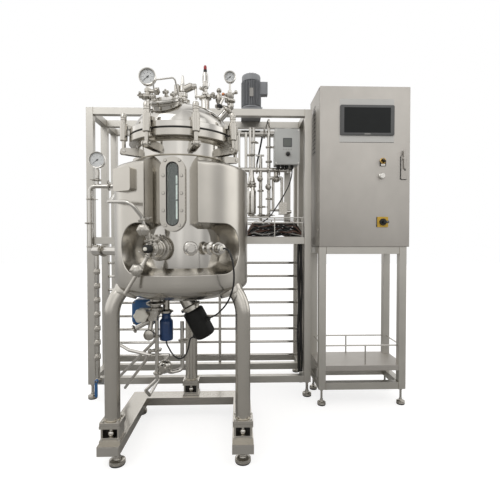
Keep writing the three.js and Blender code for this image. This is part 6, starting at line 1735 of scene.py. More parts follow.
def make_manifold():
    piece = Piece("utility_pipes", "polished_steel")
    header = STEAM_END_Y
    riser, x = RACK_LEFT + 27, RACK_LEFT + 64
    steam_z, drain_z, lever_z = 1256, 884, 124
    piece.tube([(riser, header, 880), (riser, header, steam_z), (-470, header, steam_z)], 13, 32)
    for z in (905, 1040, 1180):
        clamp(piece, (riser, header, z), UP, 19, AHEAD, nut_turn=z)
    clamp(piece, (-492, header, steam_z), RIGHT, 23, UP, nut_turn=40)
    steam = [
        (RACK_LEFT + 150, header, steam_z), (RACK_LEFT + 190, header, steam_z - 4),
        polar(-116.6, 447, 1140), polar(-48.7, 349, 1093), polar(-24.3, 364, 1083),
        STEAM_END + UP_BRANCH * 40, STEAM_END,
    ]
    piece.tube(steam, 7, 34)
    clamp(piece, STEAM_END + UP_BRANCH * 26, UP_BRANCH, 14, square_to(UP_BRANCH), nut_turn=100)
    gauge(piece, "utility_gauge")
    (gauge_x, gauge_y, _), _, _ = GAUGES["utility_gauge"]
    stem = standing(gauge_x, gauge_y)
    piece.turned([(8, 1262), (8, 1298), (13, 1300), (13, 1350), (8, 1353), (7, 1362)], stem)
    piece.hexagon(24, 1316, 1336, stem)
    clamp(piece, (gauge_x, gauge_y, 1290), UP, 19, nut_turn=200)
    piece.rod((x, header, 110), (x, header, 905), 12)
    for k in range(VALVE_COUNT):
        z = VALVE_FIRST + VALVE_PITCH * k
        diaphragm_valve(piece, (x, header, z), (0.25, -1, 0))
        collar = [(15, -15), (16.5, -12), (16.5, 12), (15, 15)]
        piece.turned(collar, standing(x, header, z), "cast_steel")
    boss = toward((x, header, lever_z), AHEAD)
    piece.turned([(13, 0), (13, 17), (11, 20)], boss, "cast_steel")
    out = outward(-125)
    start = polar(-125, 292, drain_z)
    piece.tube([start, polar(-125, 660, drain_z), (x, header, drain_z)], 23, 26)
    for reach in (16, 150, 290):
        clamp(piece, start + out * reach, out, 29, UP, nut_turn=reach)
    disc = toward((x, header, drain_z), AHEAD)
    piece.turned([(26, 0), (32, 3), (33, 6), (33, 12), (30, 16), (20, 18.6)], disc, "cast_steel")
    for spot in ring_frames(disc, 6, 26, 15):
        hex_screw(piece, spot, 2.6)
    piece.rod((riser, header, 890), (x, header, 880), 12)
    for cx, z in ((riser, 1000), (riser, 1190), (x, RACK_BOTTOM + 26)):
        low, high = (cx - 16, header - 4, z - 9), (cx + 16, RACK_FRONT - GAP, z + 9)
        piece.block(low, high, finish="cast_steel")
    piece.build("machine", "satin_steel", ["utility_manifold"], edge=0.35)
    lever = Piece("drain_lever", "blue_enamel")
    where = toward((x, header - 20 - GAP, lever_z), AHEAD)
    lever.turned([(11, 0), (11, 10), (6, 12), (6, 18)], where)
    lever.hexagon(12, 14, 18, where, "polished_steel")
    grip = [(-8, 4), (8, 4), (9, -40), (9, -84), (5, -92), (-5, -92), (-9, -84), (-9, -40)]
    lever.plate(grip, 10, 15, where)
    lever.build("utility_valve_lever", "blue_enamel", ["utility_valve_lever"], edge=1.2)


def make_filter_pipes():
    piece = Piece("filter_pipes", "polished_steel")
    y, header = 612, 1380
    post = HANGER + 20
    cross_y, cross_z = y + 28, 1611
    rear = RACK_MIDDLE - GAP
    low = TRAY_FLOOR + 124
    for x, bottom, top, radius in (
        (396, 1060, 1450, 11), (447, 1100, 1610, 11), (332, header, 1640, 9),
        (353, header, 1640, 9), (263, header, 1611, 7), (305, header, 1611, 9),
        (474, 1130, 1330, 9), (396, 1440, 1474, 8), (528, 1170, 1334, 9), (338, low, 1110, 11),
        (396, low, 1110, 11), (447, low, 1110, 11)
    ):
        piece.rod((x, y, bottom), (x, y, top), radius)
    for left, right, z, radius in (
        (252, HANGER - 6, header, 14), (366, 418, 1469, 6), (447, 528, 1330, 10),
        (447, 512, 1130, 8), (530, post + 8, header, 10), (550, post + 8, 1120, 10),
        (338, 447, low + 6, 9)
    ):
        piece.rod((left, y, z), (right, y, z), radius)
    for start, z in ((y - 4, header), (y - 4, 1120), (cross_y, cross_z)):
        piece.rod((post, start, z), (post, rear, z), 9)
    piece.rod((235, cross_y, cross_z), (600, cross_y, cross_z), 19)
    for x, radius in ((266, 22), (372, 21), (440, 20), (512, 20)):
        clamp(piece, (x, y, header), RIGHT, radius, UP, nut_turn=x)
    for x in (245, 420):
        clamp(piece, (x, cross_y, cross_z), RIGHT, 26, UP, nut_turn=x)
    for x, z in (
        (396, 1150), (396, 1250), (447, 1200), (447, 1430), (447, 1520), (332, 1470), (353, 1550)
    ):
        clamp(piece, (x, y, z), UP, 17, AHEAD, nut_turn=z)
    for x in (338, 396, 447):
        clamp(piece, (x, y, low + 14), UP, 17, AHEAD, nut_turn=x)
    stack = [
        (14, 1094), (21, 1096), (22, 1104), (29, 1108), (30, 1114), (30, 1246), (28, 1252),
        (24, 1262), (24, 1286), (31, 1290), (31, 1298), (24, 1304), (24, 1310), (17, 1340),
        (17, header)
    ]
    piece.turned(stack, standing(338, y))
    clamp(piece, (338, y, 1278), UP, 28, nut_turn=250)
    for x, z in ((396, 1320), (447, 1270)):
        diaphragm_valve(piece, (x, y, z), (-0.2, -1, 0), 48, 18)
    group = [
        (12, -46), (22, -40), (24, -36), (24, -22), (14, -12), (14, 16), (24, 20), (26, 26),
        (25, 32), (10, 39)
    ]
    piece.turned(group, standing(492, y, 1350), "cast_steel")
    piece.block((509, y - 29, 1103), (557, y + 29, 1177), finish="cast_steel")
    for spot in corner_frames(toward((533, y - 29, 1140), AHEAD), 17, 28, 0):
        hex_screw(piece, spot, 3.4)
    vent = [(447, y, 1600), (447, y, RACK_TOP - 24), (447, rear, RACK_TOP - 24)]
    piece.tube(vent, 9, 22)
    hose = [(411, y + 48, 1610), (400, y + 50, 1550), (386, y + 50, 1480), (374, y + 46, 1420)]
    piece.tube(hose, 5.5, finish="cable_sheath", flowing=True)
    piece.build("machine", "satin_steel", ["filter_pipework"], edge=0.3)


MOTOR = Vector((338, (RACK_FRONT + RACK_MIDDLE + RACK_TUBE) / 2, RACK_TOP + 10.3))
BOX_KNOB = (554, 515)


def make_pump_motor():
    piece = Piece("top_motor", "motor_enamel")
    x, y, z = MOTOR
    piece.block((x - 62, RACK_FRONT + 2, z - 10), (x + 62, RACK_MIDDLE + RACK_TUBE - 2, z))
    where = standing(x, y, z)
    body = [
        (56, 0), (56, 11), (52, 13), (40, 18), (44, 27), (58, 31), (60, 33), (60, 40), (57, 43),
        (49, 45), (49, 196), (55, 197), (58, 199), (58, 228), (55, 236), (46, 241), (30, 243)
    ]
    piece.turned(body, where)
    for turn in range(0, 360, 10):
        beside_box = 150 < (turn + 60) % 360 < 210
        if not beside_box:
            piece.block((50, -1.3, 46), (62, 1.3, 195), spun(where, turn))
    # Dark spokes on the fan cover: painted shade in its air slots.
    piece.spokes(14, (20, -2, 242.6), (44, 2, 243.6), where, "flat_black_and_painted_shade")
    for spot in ring_frames(where, 4, 50, 11, 45):
        hex_screw(piece, spot, 4.5)
    box = toward((x + 50, y, z + 158), RIGHT, -AHEAD)
    rows = [(0, 0), (40, 0), (41, 1.5), (42.5, 1.5), (43, 0), (50, 0), (52, 2)]
    piece.case(48, 80, 5, rows, box)
    plate = toward((x, y - 62, z + 118), AHEAD)
    piece.plate(box_outline(24, 52, 1), -3, 0.5, plate, "grey_sheath")
    piece.build("machine", "motor_enamel", ["pump_motor"], edge=0.5)


def make_control_box():
    piece = Piece("control_box_case", "black_plastic")
    left, right, low, high, front, rear = 473, 626, 1395, 1609, 515, 620
    where = toward(((left + right) / 2, rear, (low + high) / 2), AHEAD)
    rows = [(0, 4), (1, 3), (92, 3), (93, 5), (94.5, 5), (95, 0.5), (104, 0), (105, 1.2)]
    piece.case(right - left, high - low, 6, rows, where, "pale_enamel")
    bracket_low = (HANGER + 5, rear - 1, low + 50)
    bracket_high = (HANGER + 35, RACK_MIDDLE - GAP, high - 50)
    piece.block(bracket_low, bracket_high, finish="pale_enamel")
    display = toward((551, front, 1526), AHEAD)
    piece.plate(box_outline(54, 54, 3), -0.5, 1.2, display, "bezel_grey")
    piece.plate(box_outline(44, 42, 2), 1.2, 1.6, display, "display_glass")
    for k in range(4):
        button = shifted(display, -22.5 + 15 * k, -41, -0.6)
        piece.turned([(3.4, 1), (3.4, 2)], button, "grey_sheath")
    knob_seat = toward((*BOX_KNOB, 1458), AHEAD)
    piece.turned([(17, 0), (16, 0.25)], knob_seat, "grey_sheath")
    for turn in range(-120, 121, 30):
        piece.block((-0.4, 19, -0.4), (0.4, 22, 0.2), spun(knob_seat, turn), "flat_black_and_painted_shade")
    for spot in corner_frames(shifted(where, 0, 0, rear - front), 66.5, 97, 0):
        piece.turned([(3.6, -1), (3.6, 1)], spot, "polished_steel")
    for x in (500, 528, 552, 585):
        gland = standing(x, front + 45, low)
        piece.turned([(11, 4), (11, -5)], gland)
        piece.hexagon(20, -9, -4, gland)
        piece.turned([(9, -9), (9, -15), (6, -20)], gland)
    piece.build("machine", "pale_enamel", ["control_box"], edge=0.8)
    knob = Piece("control_box_dial", "black_plastic")
    where = shifted(knob_seat, 0, 0, 0.3)
    knob.turned([(12, 0), (12, 3.6), (9.4, 6), (9, 17), (8, 18.6)], where)
    grip = spun(where, -40)
    knob.block((-2.5, -10, 5), (2.5, 10, 19.6), grip)
    knob.block((-0.5, 5, 19.6), (0.5, 10, 19.9), grip, "dial_white")
    knob.build("control_box_knob", "black_plastic", ["control_box_knob"], edge=0.5)


# ---- The stand and the control cabinet -----------------------------------------------------------

STAND_LEFT, STAND_RIGHT = 712, 1210
STAND_FRONT, STAND_BACK = 361, 640
STAND_TOP = 904
STAND_BOTTOM = 93
CASE_LEFT, CASE_RIGHT = 712, 1222
CASE_BOTTOM, CASE_TOP = 904.3, 1800
DOOR_FACE, DOOR_BACK = 355, 377
CASE_FRONT = 377.5
LOUVRE_COUNT = 12
LOUVRE_TOP = 1722
LOUVRE_PITCH = 24
LOUVRE_Y = 525
LOUVRE_WIDTH = 85


def make_stand():
    piece = Piece("cabinet_legs_frame", "cabinet_steel")
    tube, half = RACK_TUBE, RACK_TUBE / 2
    left, right = STAND_LEFT, STAND_RIGHT - tube
    front, back = STAND_FRONT, STAND_BACK - tube

    def beam(low, high):
        piece.block(low, high, finish="tube_steel")

    for x in (left, right):
        for y in (front, back):
            beam((x, y, STAND_BOTTOM), (x + tube, y + tube, STAND_TOP))
            level_foot(piece, x + half, y + half, STAND_BOTTOM, 24, 6)
    for z in (STAND_BOTTOM, STAND_TOP - tube):
        for y in (front, back):
            beam((left + tube, y, z), (right, y + tube, z + tube))
            for x, way in ((left + tube, RIGHT), (right, -RIGHT)):
                weld_seam(piece, (x, y + half, z + half), way, half)
        for x in (left, right):
            beam((x, front + tube, z), (x + tube, back, z + tube))
    inset = 2
    x0, x1 = STAND_LEFT + inset, STAND_RIGHT - inset
    y0, y1 = STAND_FRONT + inset, STAND_BACK - inset
    tray_low, tray_top, rail_z = 200, 230, 340
    piece.block((x0, y0, tray_top - SHEET), (x1, y1, tray_top))
    for low, high in (
        ((x0, y0), (x1, y0 + SHEET)), ((x0, y1 - SHEET), (x1, y1)), ((x0, y0), (x0 + SHEET, y1)),
        ((x1 - SHEET, y0), (x1, y1))
    ):
        piece.block((*low, tray_low), (*high, tray_top - 2))
    rail = 20
    x0, x1 = STAND_LEFT + rail, STAND_RIGHT - rail
    y0, y1 = STAND_FRONT + rail, STAND_BACK - rail
    corners = [(x0, y0), (x1, y0), (x1, y1), (x0, y1)]
    for start, end in zip(corners, corners[1:] + corners[:1]):
        piece.rod((*start, rail_z), (*end, rail_z), 4, "polished_steel")
    for x, y in ((983.6, y0), (938.4, y1)):
        piece.rod((x, y, tray_top - 1), (x, y, rail_z), 4, "polished_steel")
    piece.build("machine", "rack_steel", ["cabinet_stand"], edge=chosen("tube_corner"))


def make_case():
    piece = Piece("cabinet_shell", "cabinet_steel")
    x0, y0, z0 = CASE_LEFT, CASE_FRONT, CASE_BOTTOM
    x1, y1, z1 = CASE_RIGHT, STAND_BACK, CASE_TOP
    rim, lip = 17, 9
    for low, high in (
        ((x0, y0 + 8, z0), (x0 + SHEET, y1, z1)), ((x1 - SHEET, y0 + 8, z0), (x1, y1, z1)),
        ((x0, y0 + 8, z1 - SHEET), (x1, y1, z1)), ((x0, y0 + 8, z0), (x1, y1, z0 + SHEET)),
        ((x0, y1 - SHEET, z0), (x1, y1, z1)), ((x0, y0, z0), (x0 + rim, y0 + lip, z1)),
        ((x1 - rim, y0, z0), (x1, y0 + lip, z1)), ((x0, y0, z1 - rim), (x1, y0 + lip, z1)),
        ((x0, y0, z0), (x1, y0 + lip, z0 + rim))
    ):
        piece.block(low, high)
    for i in range(LOUVRE_COUNT):
        louvre(piece, (x0, LOUVRE_Y, LOUVRE_TOP - LOUVRE_PITCH * i), LOUVRE_WIDTH)
    for z in (1000, 1704):
        for y in (y0 + 20, y1 - 20):
            piece.turned([(4.5, 0), (4, 1.6)], toward((x0, y, z), -RIGHT), "polished_steel")
    for z in (z0 + 60, z1 - 60):
        pin = [(x1 - 6, DOOR_BACK - 6, z + end) for end in (-28, 28)]
        piece.rod(*pin, 3, "polished_steel")
    piece.build("machine", "cabinet_steel", ["cabinet_body"], edge=chosen("sheet_edge"))


def louvre(piece, place, width):
    """A pressed louvre on the cabinet's left side: a hood over a slot, whose dark block is painted
    shade.
    """
    where = toward(place, -RIGHT, -AHEAD)
    half = width / 2
    # The dark block under the hood is painted shade in the slot.
    piece.block((-half + 2, -13, -0.4), (half - 2, 3, 0.5), where, "flat_black_and_painted_shade")
    rings = []
    for share, reach in ((0.0, 0.0), (0.25, 2.6), (0.5, 4.2), (0.8, 5.0), (1.0, 4.8)):
        row = []
        for k in range(13):
            fall = 1 - abs(2 * k / 12 - 1) ** 6
            point = Vector((-half + width * k / 12, 5 - 9 * share, reach * fall * 0.75))
            row.append(where @ point)
        rings.append(row)
    piece.skin(rings, "cabinet_steel", ends=(False, False), across=False)


DOOR_PLATE = ((822, 1489), (1130, 1730))
SELECTOR_AT = (1068, 1386)
BUTTON_AT = (1063, 1302)
HANDLE_AT = (1187, 1398)
ISOLATOR_AT = (1068, 1044)


def on_door(x, z):
    """The frame of a part that stands on the door's face."""
    return toward((x, DOOR_FACE, z), AHEAD)


def control_seat(node, place):
    """The frame behind a control on the door, and how far the control stands out."""
    low, high = span(node)
    return toward((place[0], high.y, place[1]), AHEAD), high.y - low.y


def make_door():
    piece = Piece("door_panel", "flat_black_and_painted_shade")
    low, high = span("cabinet_door")
    width, height = high.x - low.x, CASE_TOP - CASE_BOTTOM
    where = toward(((low.x + high.x) / 2, DOOR_BACK, (CASE_BOTTOM + CASE_TOP) / 2), AHEAD)
    rows = [(0, 0), (20, 0), (21.3, 0.7), (22, 2.4)]
    piece.case(width, height, 4, rows, where, "cabinet_steel")
    (x0, z0), (x1, z1) = DOOR_PLATE
    overlay = on_door((x0 + x1) / 2, (z0 + z1) / 2)
    holder, lock, switch = on_door(1068, 1372), on_door(1187, 1350), on_door(*ISOLATOR_AT)
    for wide, tall, corner, bottom, top, place, finish in (
        (x1 - x0, z1 - z0, 5, -0.5, 0.5, overlay, "overlay_print"),
        (x1 - x0, 1.6, 0, 0.5, 0.9, shifted(overlay, 0, (z0 - z1) / 2), "flat_black_and_painted_shade"),
        (34, 30, 2, -0.3, 3, holder, "black_plastic"),
        (25, 10, 1, 3, 3.4, shifted(holder, 0, -8), "white_plastic"),
        # A dark plate shifted down and left behind the lock plate: painted shadow.
        (37, 135, 6, -0.5, 3, shifted(lock, -1, -1), "flat_black_and_painted_shade"),
        (34, 132, 6, 0, 5, lock, "cabinet_steel"),
        # A dark plate shifted left behind the switch plate: painted shadow.
        (65, 58, 2, -0.5, 2, shifted(switch, -2, 0), "flat_black_and_painted_shade"),
        (62, 58, 4, -0.5, 4, switch, "yellow_plastic")
    ):
        piece.plate(box_outline(wide, tall, corner), bottom, top, place, finish)
    for place, ring in ((SELECTOR_AT, "brass"), (BUTTON_AT, "polished_steel")):
        spot = on_door(*place)
        piece.turned([(17, -0.5), (17, 3.6), (15, 5), (12, 5)], spot, ring)
        # The dark disc inside each ring is painted shade in the gap round the control.
        piece.turned([(12, 4.4), (11, 4.5)], spot)
    # A dark disc for the keyhole: painted shade.
    piece.turned([(5, 5), (5, 5.3)], shifted(lock, 5, -14))
    piece.build("door", "cabinet_steel", ["cabinet_door"], edge=0.4)
    screen = Piece("touch_panel", "bezel_grey")
    where = on_door(977, 1611)
    screen.case(306, 168, 8, [(0.3, 0), (6.4, 0), (7.6, 0.8), (8, 2.2)], where)
    screen.plate(box_outline(262, 140, 2), 7.6, 8.35, where, "screen_glass")
    screen.plate(box_outline(34, 5, 1), 8, 8.3, shifted(where, 0, -77), "grey_sheath")
    screen.build("door", "black_plastic", ["touch_screen"], edge=0)


def make_door_controls():
    piece = Piece("selector_knob", "black_plastic")
    where, reach = control_seat("selector_switch", SELECTOR_AT)
    where = spun(where, 45)
    piece.turned([(11, 0), (11, reach * 0.42), (10, reach * 0.46)], where)
    piece.block((-4, -12, reach * 0.3), (4, 12, reach - 0.2), where)
    piece.block((-0.7, 5, reach - 0.2), (0.7, 12, reach + 0.1), where, "dial_white")
    piece.build("selector_switch", "black_plastic", ["selector_switch"], edge=0.7)
    piece = Piece("lit_button", "white_plastic")
    where, reach = control_seat("push_button", BUTTON_AT)
    piece.turned([(11, 0), (14, 0.3), (14, reach - 1.4), (13, reach - 0.3), (6, reach)], where)
    piece.build("push_button", "white_plastic", ["push_button"], edge=0)
    piece = Piece("swing_handle", "cabinet_steel")
    where, reach = control_seat("door_handle", HANDLE_AT)
    piece.turned([(10, 0), (10, reach - 2), (8.6, reach)], where)
    section = ((1, 0), (0.92, 0.7), (0.6, 1), (-0.6, 1), (-0.92, 0.7), (-1, 0))
    rings = []
    for along, half in ((48, 5.4), (43.2, 6.8), (14.4, 7), (-33.6, 6), (-56, 4.6)):
        rings.append(
            [where @ Vector((half * c, along, reach - 8 + 7.8 * max(s, 0))) for c, s in section]
        )
    piece.skin(rings)
    piece.build("door_handle", "polished_steel", ["door_handle"], edge=0.5)
    piece = Piece("isolator_handle", "black_plastic")
    where, reach = control_seat("main_switch_handle", ISOLATOR_AT)
    piece.turned([(19, 0), (19, 9), (17.5, 11.4)], where)
    piece.block((-6, -6, 9), (24, 6, reach), where)
    piece.block((12, -0.8, reach), (22, 0.8, reach + 0.1), where, "dial_white")
    piece.build("main_switch_handle", "black_plastic", ["main_switch_handle"], edge=1.4)


# ---- Free cables ---------------------------------------------------------------------------------

CABLE_RADIUS = 3.5
PROBE_TIP = polar(PROBE_ANGLE, PORT_REACH + 86.3, PORT_Z)
BOX_GLAND = Vector((585, 560, 1374.7))


def cable(name, node, route):
    """A free cable along its route; the routes are in the frame."""
    piece = Piece(name, "cable_sheath")
    piece.tube(route, CABLE_RADIUS, flowing=True)
    made = piece.build("machine", "black_rubber", [node], edge=0)


def make_cables():
    probe = [
        PROBE_TIP, PROBE_TIP + outward(PROBE_ANGLE) * 12, (216, -267, 899), (226, -279, 882),
        (233, -284, 860), (237, -284, 836), (239, -279, 811), (239, -270, 785), (237, -257, 760),
        (232, -240, 736), (225, -218, 712), (215, -191, 688), (203, -161, 665), (190, -130, 645),
        (178, -102, 629), (165, -75, 613), (151, -51, 600), CONNECTOR_TIP + CONNECTOR_WAY * 16,
        CONNECTOR_TIP + CONNECTOR_WAY * 0.3
    ]
    drive = [
        GLAND_TIP + GLAND_WAY * 0.3, GLAND_TIP + GLAND_WAY * 13, (29.5, -0.5, 470), (27, -1, 454),
        (23.5, -1.5, 437), (18, -2, 420), (11, -2, 407), (2, -2, 397), (-8, -1, 391), (-18, 0, 389),
        (-29, 2, 392), (-40, 4, 399), (-50, 6, 409), (-59, 8, 421), (-68, 11, 436), (-76, 13, 450),
        (-80, 14, 463), (-80, 14, 473.7)
    ]
    box = [
        BOX_GLAND, (585, 560, 1362), (583.5, 560.5, 1345), (580, 561, 1325), (575, 562, 1305),
        (568, 563, 1284), (559, 565, 1262), (548, 567, 1240), (536, 568.5, 1218), (523, 570, 1196),
        (509, 571, 1174), (495, 572, 1152), (480, 572, 1130), (466, 572, 1109), (450, 571, 1089),
        (433, 570, 1072), (414, 568, 1059), (400, 566, 1052), (388, 565, 1050)
    ]
    cable("probe_lead", "probe_cable", probe)
    cable("drive_lead", "drive_cable", drive)
    cable("box_lead", "box_cable", box)


# ---- The stage -----------------------------------------------------------------------------------

CAMERA_PLACE = (255, -1790, 932)
CAMERA_YAW = 1.79
CAMERA_PITCH = -1.2
# Each lamp with its place, the point it is aimed at, its width and its height in metres.
LAMPS = (("key", (-1900, -2300, 4100), (0, 100, 900), 2.2, 2.2), (
    "fill", (2600, -1900, 3400), (300, 300, 900), 1.8, 2.2,
))


def look_from(place, yaw, pitch, lens):
    """The camera, in millimetres from the vessel's axis; yaw to the right and pitch upwards."""
    data = bpy.data.cameras.new("camera")
    data.lens = lens
    data.clip_start = 0.05
    camera = bpy.data.objects.new("camera", data)
    camera.location = in_metres(place)
    camera.rotation_euler = (math.radians(90 + pitch), 0, math.radians(-yaw))
    bpy.context.scene.collection.objects.link(camera)
    bpy.context.scene.camera = camera


def soft_box(name, place, target, width, height, power):
    """A studio soft box, aimed at a point; places are in millimetres from the vessel's axis."""
    data = bpy.data.lights.new(name, "AREA")
    data.shape = "RECTANGLE"
    data.size = width
    data.size_y = height
    data.energy = power
    light = bpy.data.objects.new(name, data)
    light.location = in_metres(place)
    aim = in_metres(target) - in_metres(place)
    light.rotation_euler = aim.to_track_quat("-Z", "Y").to_euler()
    bpy.context.scene.collection.objects.link(light)


FLOOR_REACH = 14
ROOM_AROUND = (
    (-180, 0.7), (-158, 0.6), (-140, 0.3), (-118, 0.75), (-105, 0.6), (-74, 0.66), (-62, 0.6),
    (-36, 0.48), (-20, 0.54), (-9, 0.54), (-3, 0.66), (5, 0.66), (11, 0.52), (18, 0.53), (32, 0.48),
    (52, 0.6), (66, 0.34), (78, 0.36), (92, 0.78), (114, 0.88), (128, 0.35), (150, 0.4), (180, 0.7)
)
ROOM_UPWARD = ((-90, 0.4), (-5, 0.6), (0, 0.92), (17, 1.12), (40, 1.0), (90, 0.8))


def stepped(material, amount, stops):
    """A grey ramp through its stops, each a position from 0 to 1 and a level."""
    ramp = add_node(material, "ShaderNodeValToRGB", {"Fac": amount})
    made = ramp.color_ramp.elements
    for place, (position, level) in zip((made[0], made[1]), (stops[0], stops[-1])):
        place.position = position
        place.color = (level, level, level, 1)
    for position, level in stops[1:-1]:
        made.new(position).color = (level, level, level, 1)
    return ramp.outputs["Color"]


def room(brightness):
    """White behind the machine; what its steel mirrors is a room of bright panels and dark gaps."""
    world = bpy.data.worlds.new("studio room")
    world.use_nodes = True
    world.node_tree.nodes.clear()

    def math_node(operation, inputs):
        return add_node(world, "ShaderNodeMath", inputs, operation=operation).outputs[0]

    def ranged(**inputs):
        named = {name.replace("_", " "): value for name, value in inputs.items()}
        return add_node(world, "ShaderNodeMapRange", named).outputs["Result"]

    def times(first, second):
        inputs = {"Factor": 1.0, "A": first, "B": second}
        options = {"data_type": "RGBA", "blend_type": "MULTIPLY"}
        return add_node(world, "ShaderNodeMix", inputs, **options).outputs["Result"]

    def glow(shade, strength):
        inputs = {"Color": shade, "Strength": strength}
        return add_node(world, "ShaderNodeBackground", inputs).outputs["Background"]

    place = add_node(world, "ShaderNodeTexCoord").outputs["Generated"]
    axes = add_node(world, "ShaderNodeSeparateXYZ", {"Vector": place}).outputs
    ahead = math_node("MULTIPLY", {0: axes["Y"], 1: -1.0})
    turn = math_node("ARCTAN2", {0: axes["X"], 1: ahead})
    share = ranged(Value=turn, From_Min=-math.pi, From_Max=math.pi)
    up = ranged(Value=axes["Z"], From_Min=-1.0)
    around = stepped(world, share, [((a + 180) / 360, level) for a, level in ROOM_AROUND])
    upward = stepped(world, up, [((sine(a) + 1) / 2, level) for a, level in ROOM_UPWARD])
    warm = times(times(around, upward), linear("#fffefd"))
    seen = glow(linear("#ffffff"), 1.0)
    mirrored = glow(warm, brightness)
    path = add_node(world, "ShaderNodeLightPath").outputs["Is Camera Ray"]
    mix = add_node(world, "ShaderNodeMixShader", {0: path, 1: mirrored, 2: seen})
    add_node(world, "ShaderNodeOutputWorld", {"Surface": mix.outputs["Shader"]})
    bpy.context.scene.world = world
    bpy.context.scene.view_settings.view_transform = "Standard"


def make_floor():
    """A wide floor that runs out of sight."""
    mesh = bpy.data.meshes.new("studio_floor")
    corners = [(*corner, 0) for corner in box_outline(2 * FLOOR_REACH, 2 * FLOOR_REACH)]
    mesh.from_pydata(corners, [], [(0, 1, 2, 3)])
    floor = bpy.data.objects.new("studio_floor", mesh)
    bpy.context.scene.collection.objects.link(floor)
    mesh.materials.append(finish_of("floor_finish"))


# ---- Operators, panel and run --------------------------------------------------------------------


class REACTOR_OT_stage(bpy.types.Operator):
    """Set up the camera, the room, the floor and two soft boxes"""

    bl_idname = "reactor.stage"
    bl_label = "Stage"

    def execute(self, context):
        stage = settings("stage")
        look_from(CAMERA_PLACE, CAMERA_YAW, CAMERA_PITCH, stage.lens)
        room(stage.room)
        make_floor()
        for name, place, target, width, height in LAMPS:
            soft_box(name, place, target, width, height, getattr(stage, name))
        return {"FINISHED"}


class REACTOR_OT_vessel(bpy.types.Operator):
    """Build the vessel's wall and the jacket with its opening"""

    bl_idname = "reactor.vessel"
    bl_label = "Vessel and jacket"

    def execute(self, context):
        make_jacket()
        make_vessel()
        return {"FINISHED"}


class REACTOR_OT_supports(bpy.types.Operator):
    """Build the three legs and the rails with their load cells and feet"""

    bl_idname = "reactor.supports"
    bl_label = "Legs and base"

    def execute(self, context):
        make_legs()
        make_base()
        return {"FINISHED"}


class REACTOR_OT_sight_glass(bpy.types.Operator):
    """Build the sight glass and its bolted frame"""

    bl_idname = "reactor.sight_glass"
    bl_label = "Sight glass"

    def execute(self, context):
        make_sight_glass()
        return {"FINISHED"}


class REACTOR_OT_swing_bolts(bpy.types.Operator):
    """Build the eight swing bolts and their lugs"""

    bl_idname = "reactor.swing_bolts"
    bl_label = "Swing bolts"

    def execute(self, context):
        make_swing_bolts()
        return {"FINISHED"}


class REACTOR_OT_lid(bpy.types.Operator):
    """Build the lid, its gasket and the manway's cover"""

    bl_idname = "reactor.lid"
    bl_label = "Lid and manway"

    def execute(self, context):
        make_lid()
        make_manway_cover()
        return {"FINISHED"}


class REACTOR_OT_lid_fittings(bpy.types.Operator):
    """Build the gauge, the vent and the inlet on the lid, and the hands of all three gauges"""

    bl_idname = "reactor.lid_fittings"
    bl_label = "Lid fittings"

    def execute(self, context):
        make_lid_gauge()
        make_vent()
        make_inlet()
        make_needles()
        return {"FINISHED"}


class REACTOR_OT_ports(bpy.types.Operator):
    """Build the sampling valve, the blind cap and the probe in the recess"""

    bl_idname = "reactor.ports"
    bl_label = "Recess fittings"

    def execute(self, context):
        make_sample_valve()
        make_cap_and_probe()
        return {"FINISHED"}


class REACTOR_OT_drive(bpy.types.Operator):
    """Build the bottom drive and its impeller"""

    bl_idname = "reactor.drive"
    bl_label = "Drive"

    def execute(self, context):
        make_drive()
        make_agitator()
        return {"FINISHED"}


class REACTOR_OT_outlet(bpy.types.Operator):
    """Build the outlet valve, its actuator, the flow meter and the drains"""

    bl_idname = "reactor.outlet"
    bl_label = "Outlet and drains"

    def execute(self, context):
        make_outlet()
        make_drains()
        return {"FINISHED"}


class REACTOR_OT_rack(bpy.types.Operator):
    """Build the rack's three portals and the cable tray"""

    bl_idname = "reactor.rack"
    bl_label = "Rack and tray"

    def execute(self, context):
        make_rack()
        make_tray()
        return {"FINISHED"}


class REACTOR_OT_pipework(bpy.types.Operator):
    """Build the steam manifold and the filter pipes"""

    bl_idname = "reactor.pipework"
    bl_label = "Rack pipework"

    def execute(self, context):
        make_manifold()
        make_filter_pipes()
        return {"FINISHED"}


class REACTOR_OT_rack_devices(bpy.types.Operator):
    """Build the pump motor and the control box with its knob"""

    bl_idname = "reactor.rack_devices"
    bl_label = "Motor and control box"

    def execute(self, context):
        make_pump_motor()
        make_control_box()
        return {"FINISHED"}


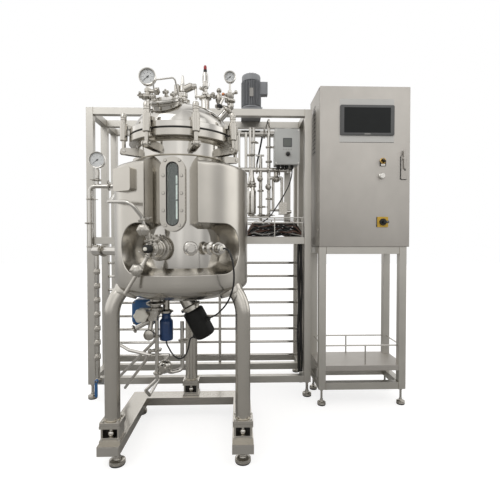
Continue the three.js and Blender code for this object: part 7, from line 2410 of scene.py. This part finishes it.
class REACTOR_OT_cabinet(bpy.types.Operator):
    """Build the stand, the cabinet, its door and what is mounted in the door"""

    bl_idname = "reactor.cabinet"
    bl_label = "Cabinet and stand"

    def execute(self, context):
        make_stand()
        make_case()
        make_door()
        make_door_controls()
        return {"FINISHED"}


class REACTOR_OT_cables(bpy.types.Operator):
    """Lay the three loose cables"""

    bl_idname = "reactor.cables"
    bl_label = "Cables"

    def execute(self, context):
        make_cables()
        return {"FINISHED"}


OPERATORS = (
    REACTOR_OT_stage, REACTOR_OT_vessel, REACTOR_OT_supports, REACTOR_OT_sight_glass,
    REACTOR_OT_swing_bolts, REACTOR_OT_lid, REACTOR_OT_lid_fittings, REACTOR_OT_ports,
    REACTOR_OT_drive, REACTOR_OT_outlet, REACTOR_OT_rack, REACTOR_OT_pipework,
    REACTOR_OT_rack_devices, REACTOR_OT_cabinet, REACTOR_OT_cables
)
GROUPS = {"colours": ReactorColours, "sizes": ReactorSizes, "stage": ReactorStage}


class REACTOR_PT_panel(bpy.types.Panel):
    """Lists the settings and the pieces"""

    bl_label = "Pilot Bioreactor"
    bl_idname = "REACTOR_PT_panel"
    bl_space_type = "VIEW_3D"
    bl_region_type = "UI"
    bl_category = "Bioreactor"

    def draw(self, context):
        for name, group in GROUPS.items():
            box = self.layout.box()
            box.label(text=name.capitalize())
            for each in group.__annotations__:
                box.prop(settings(name), each)
        for operator in OPERATORS:
            self.layout.operator(operator.bl_idname)


def register():
    for each in (*GROUPS.values(), *OPERATORS, REACTOR_PT_panel):
        bpy.utils.register_class(each)
    for name, group in GROUPS.items():
        setattr(bpy.types.Scene, "reactor_" + name, bpy.props.PointerProperty(type=group))


def unregister():
    for name in GROUPS:
        delattr(bpy.types.Scene, "reactor_" + name)
    for each in (REACTOR_PT_panel, *OPERATORS[::-1], *GROUPS.values()):
        bpy.utils.unregister_class(each)


def main():
    register()
    for operator in OPERATORS:
        group, name = operator.bl_idname.split(".")
        getattr(getattr(bpy.ops, group), name)()


if __name__ == "__main__":
    main()
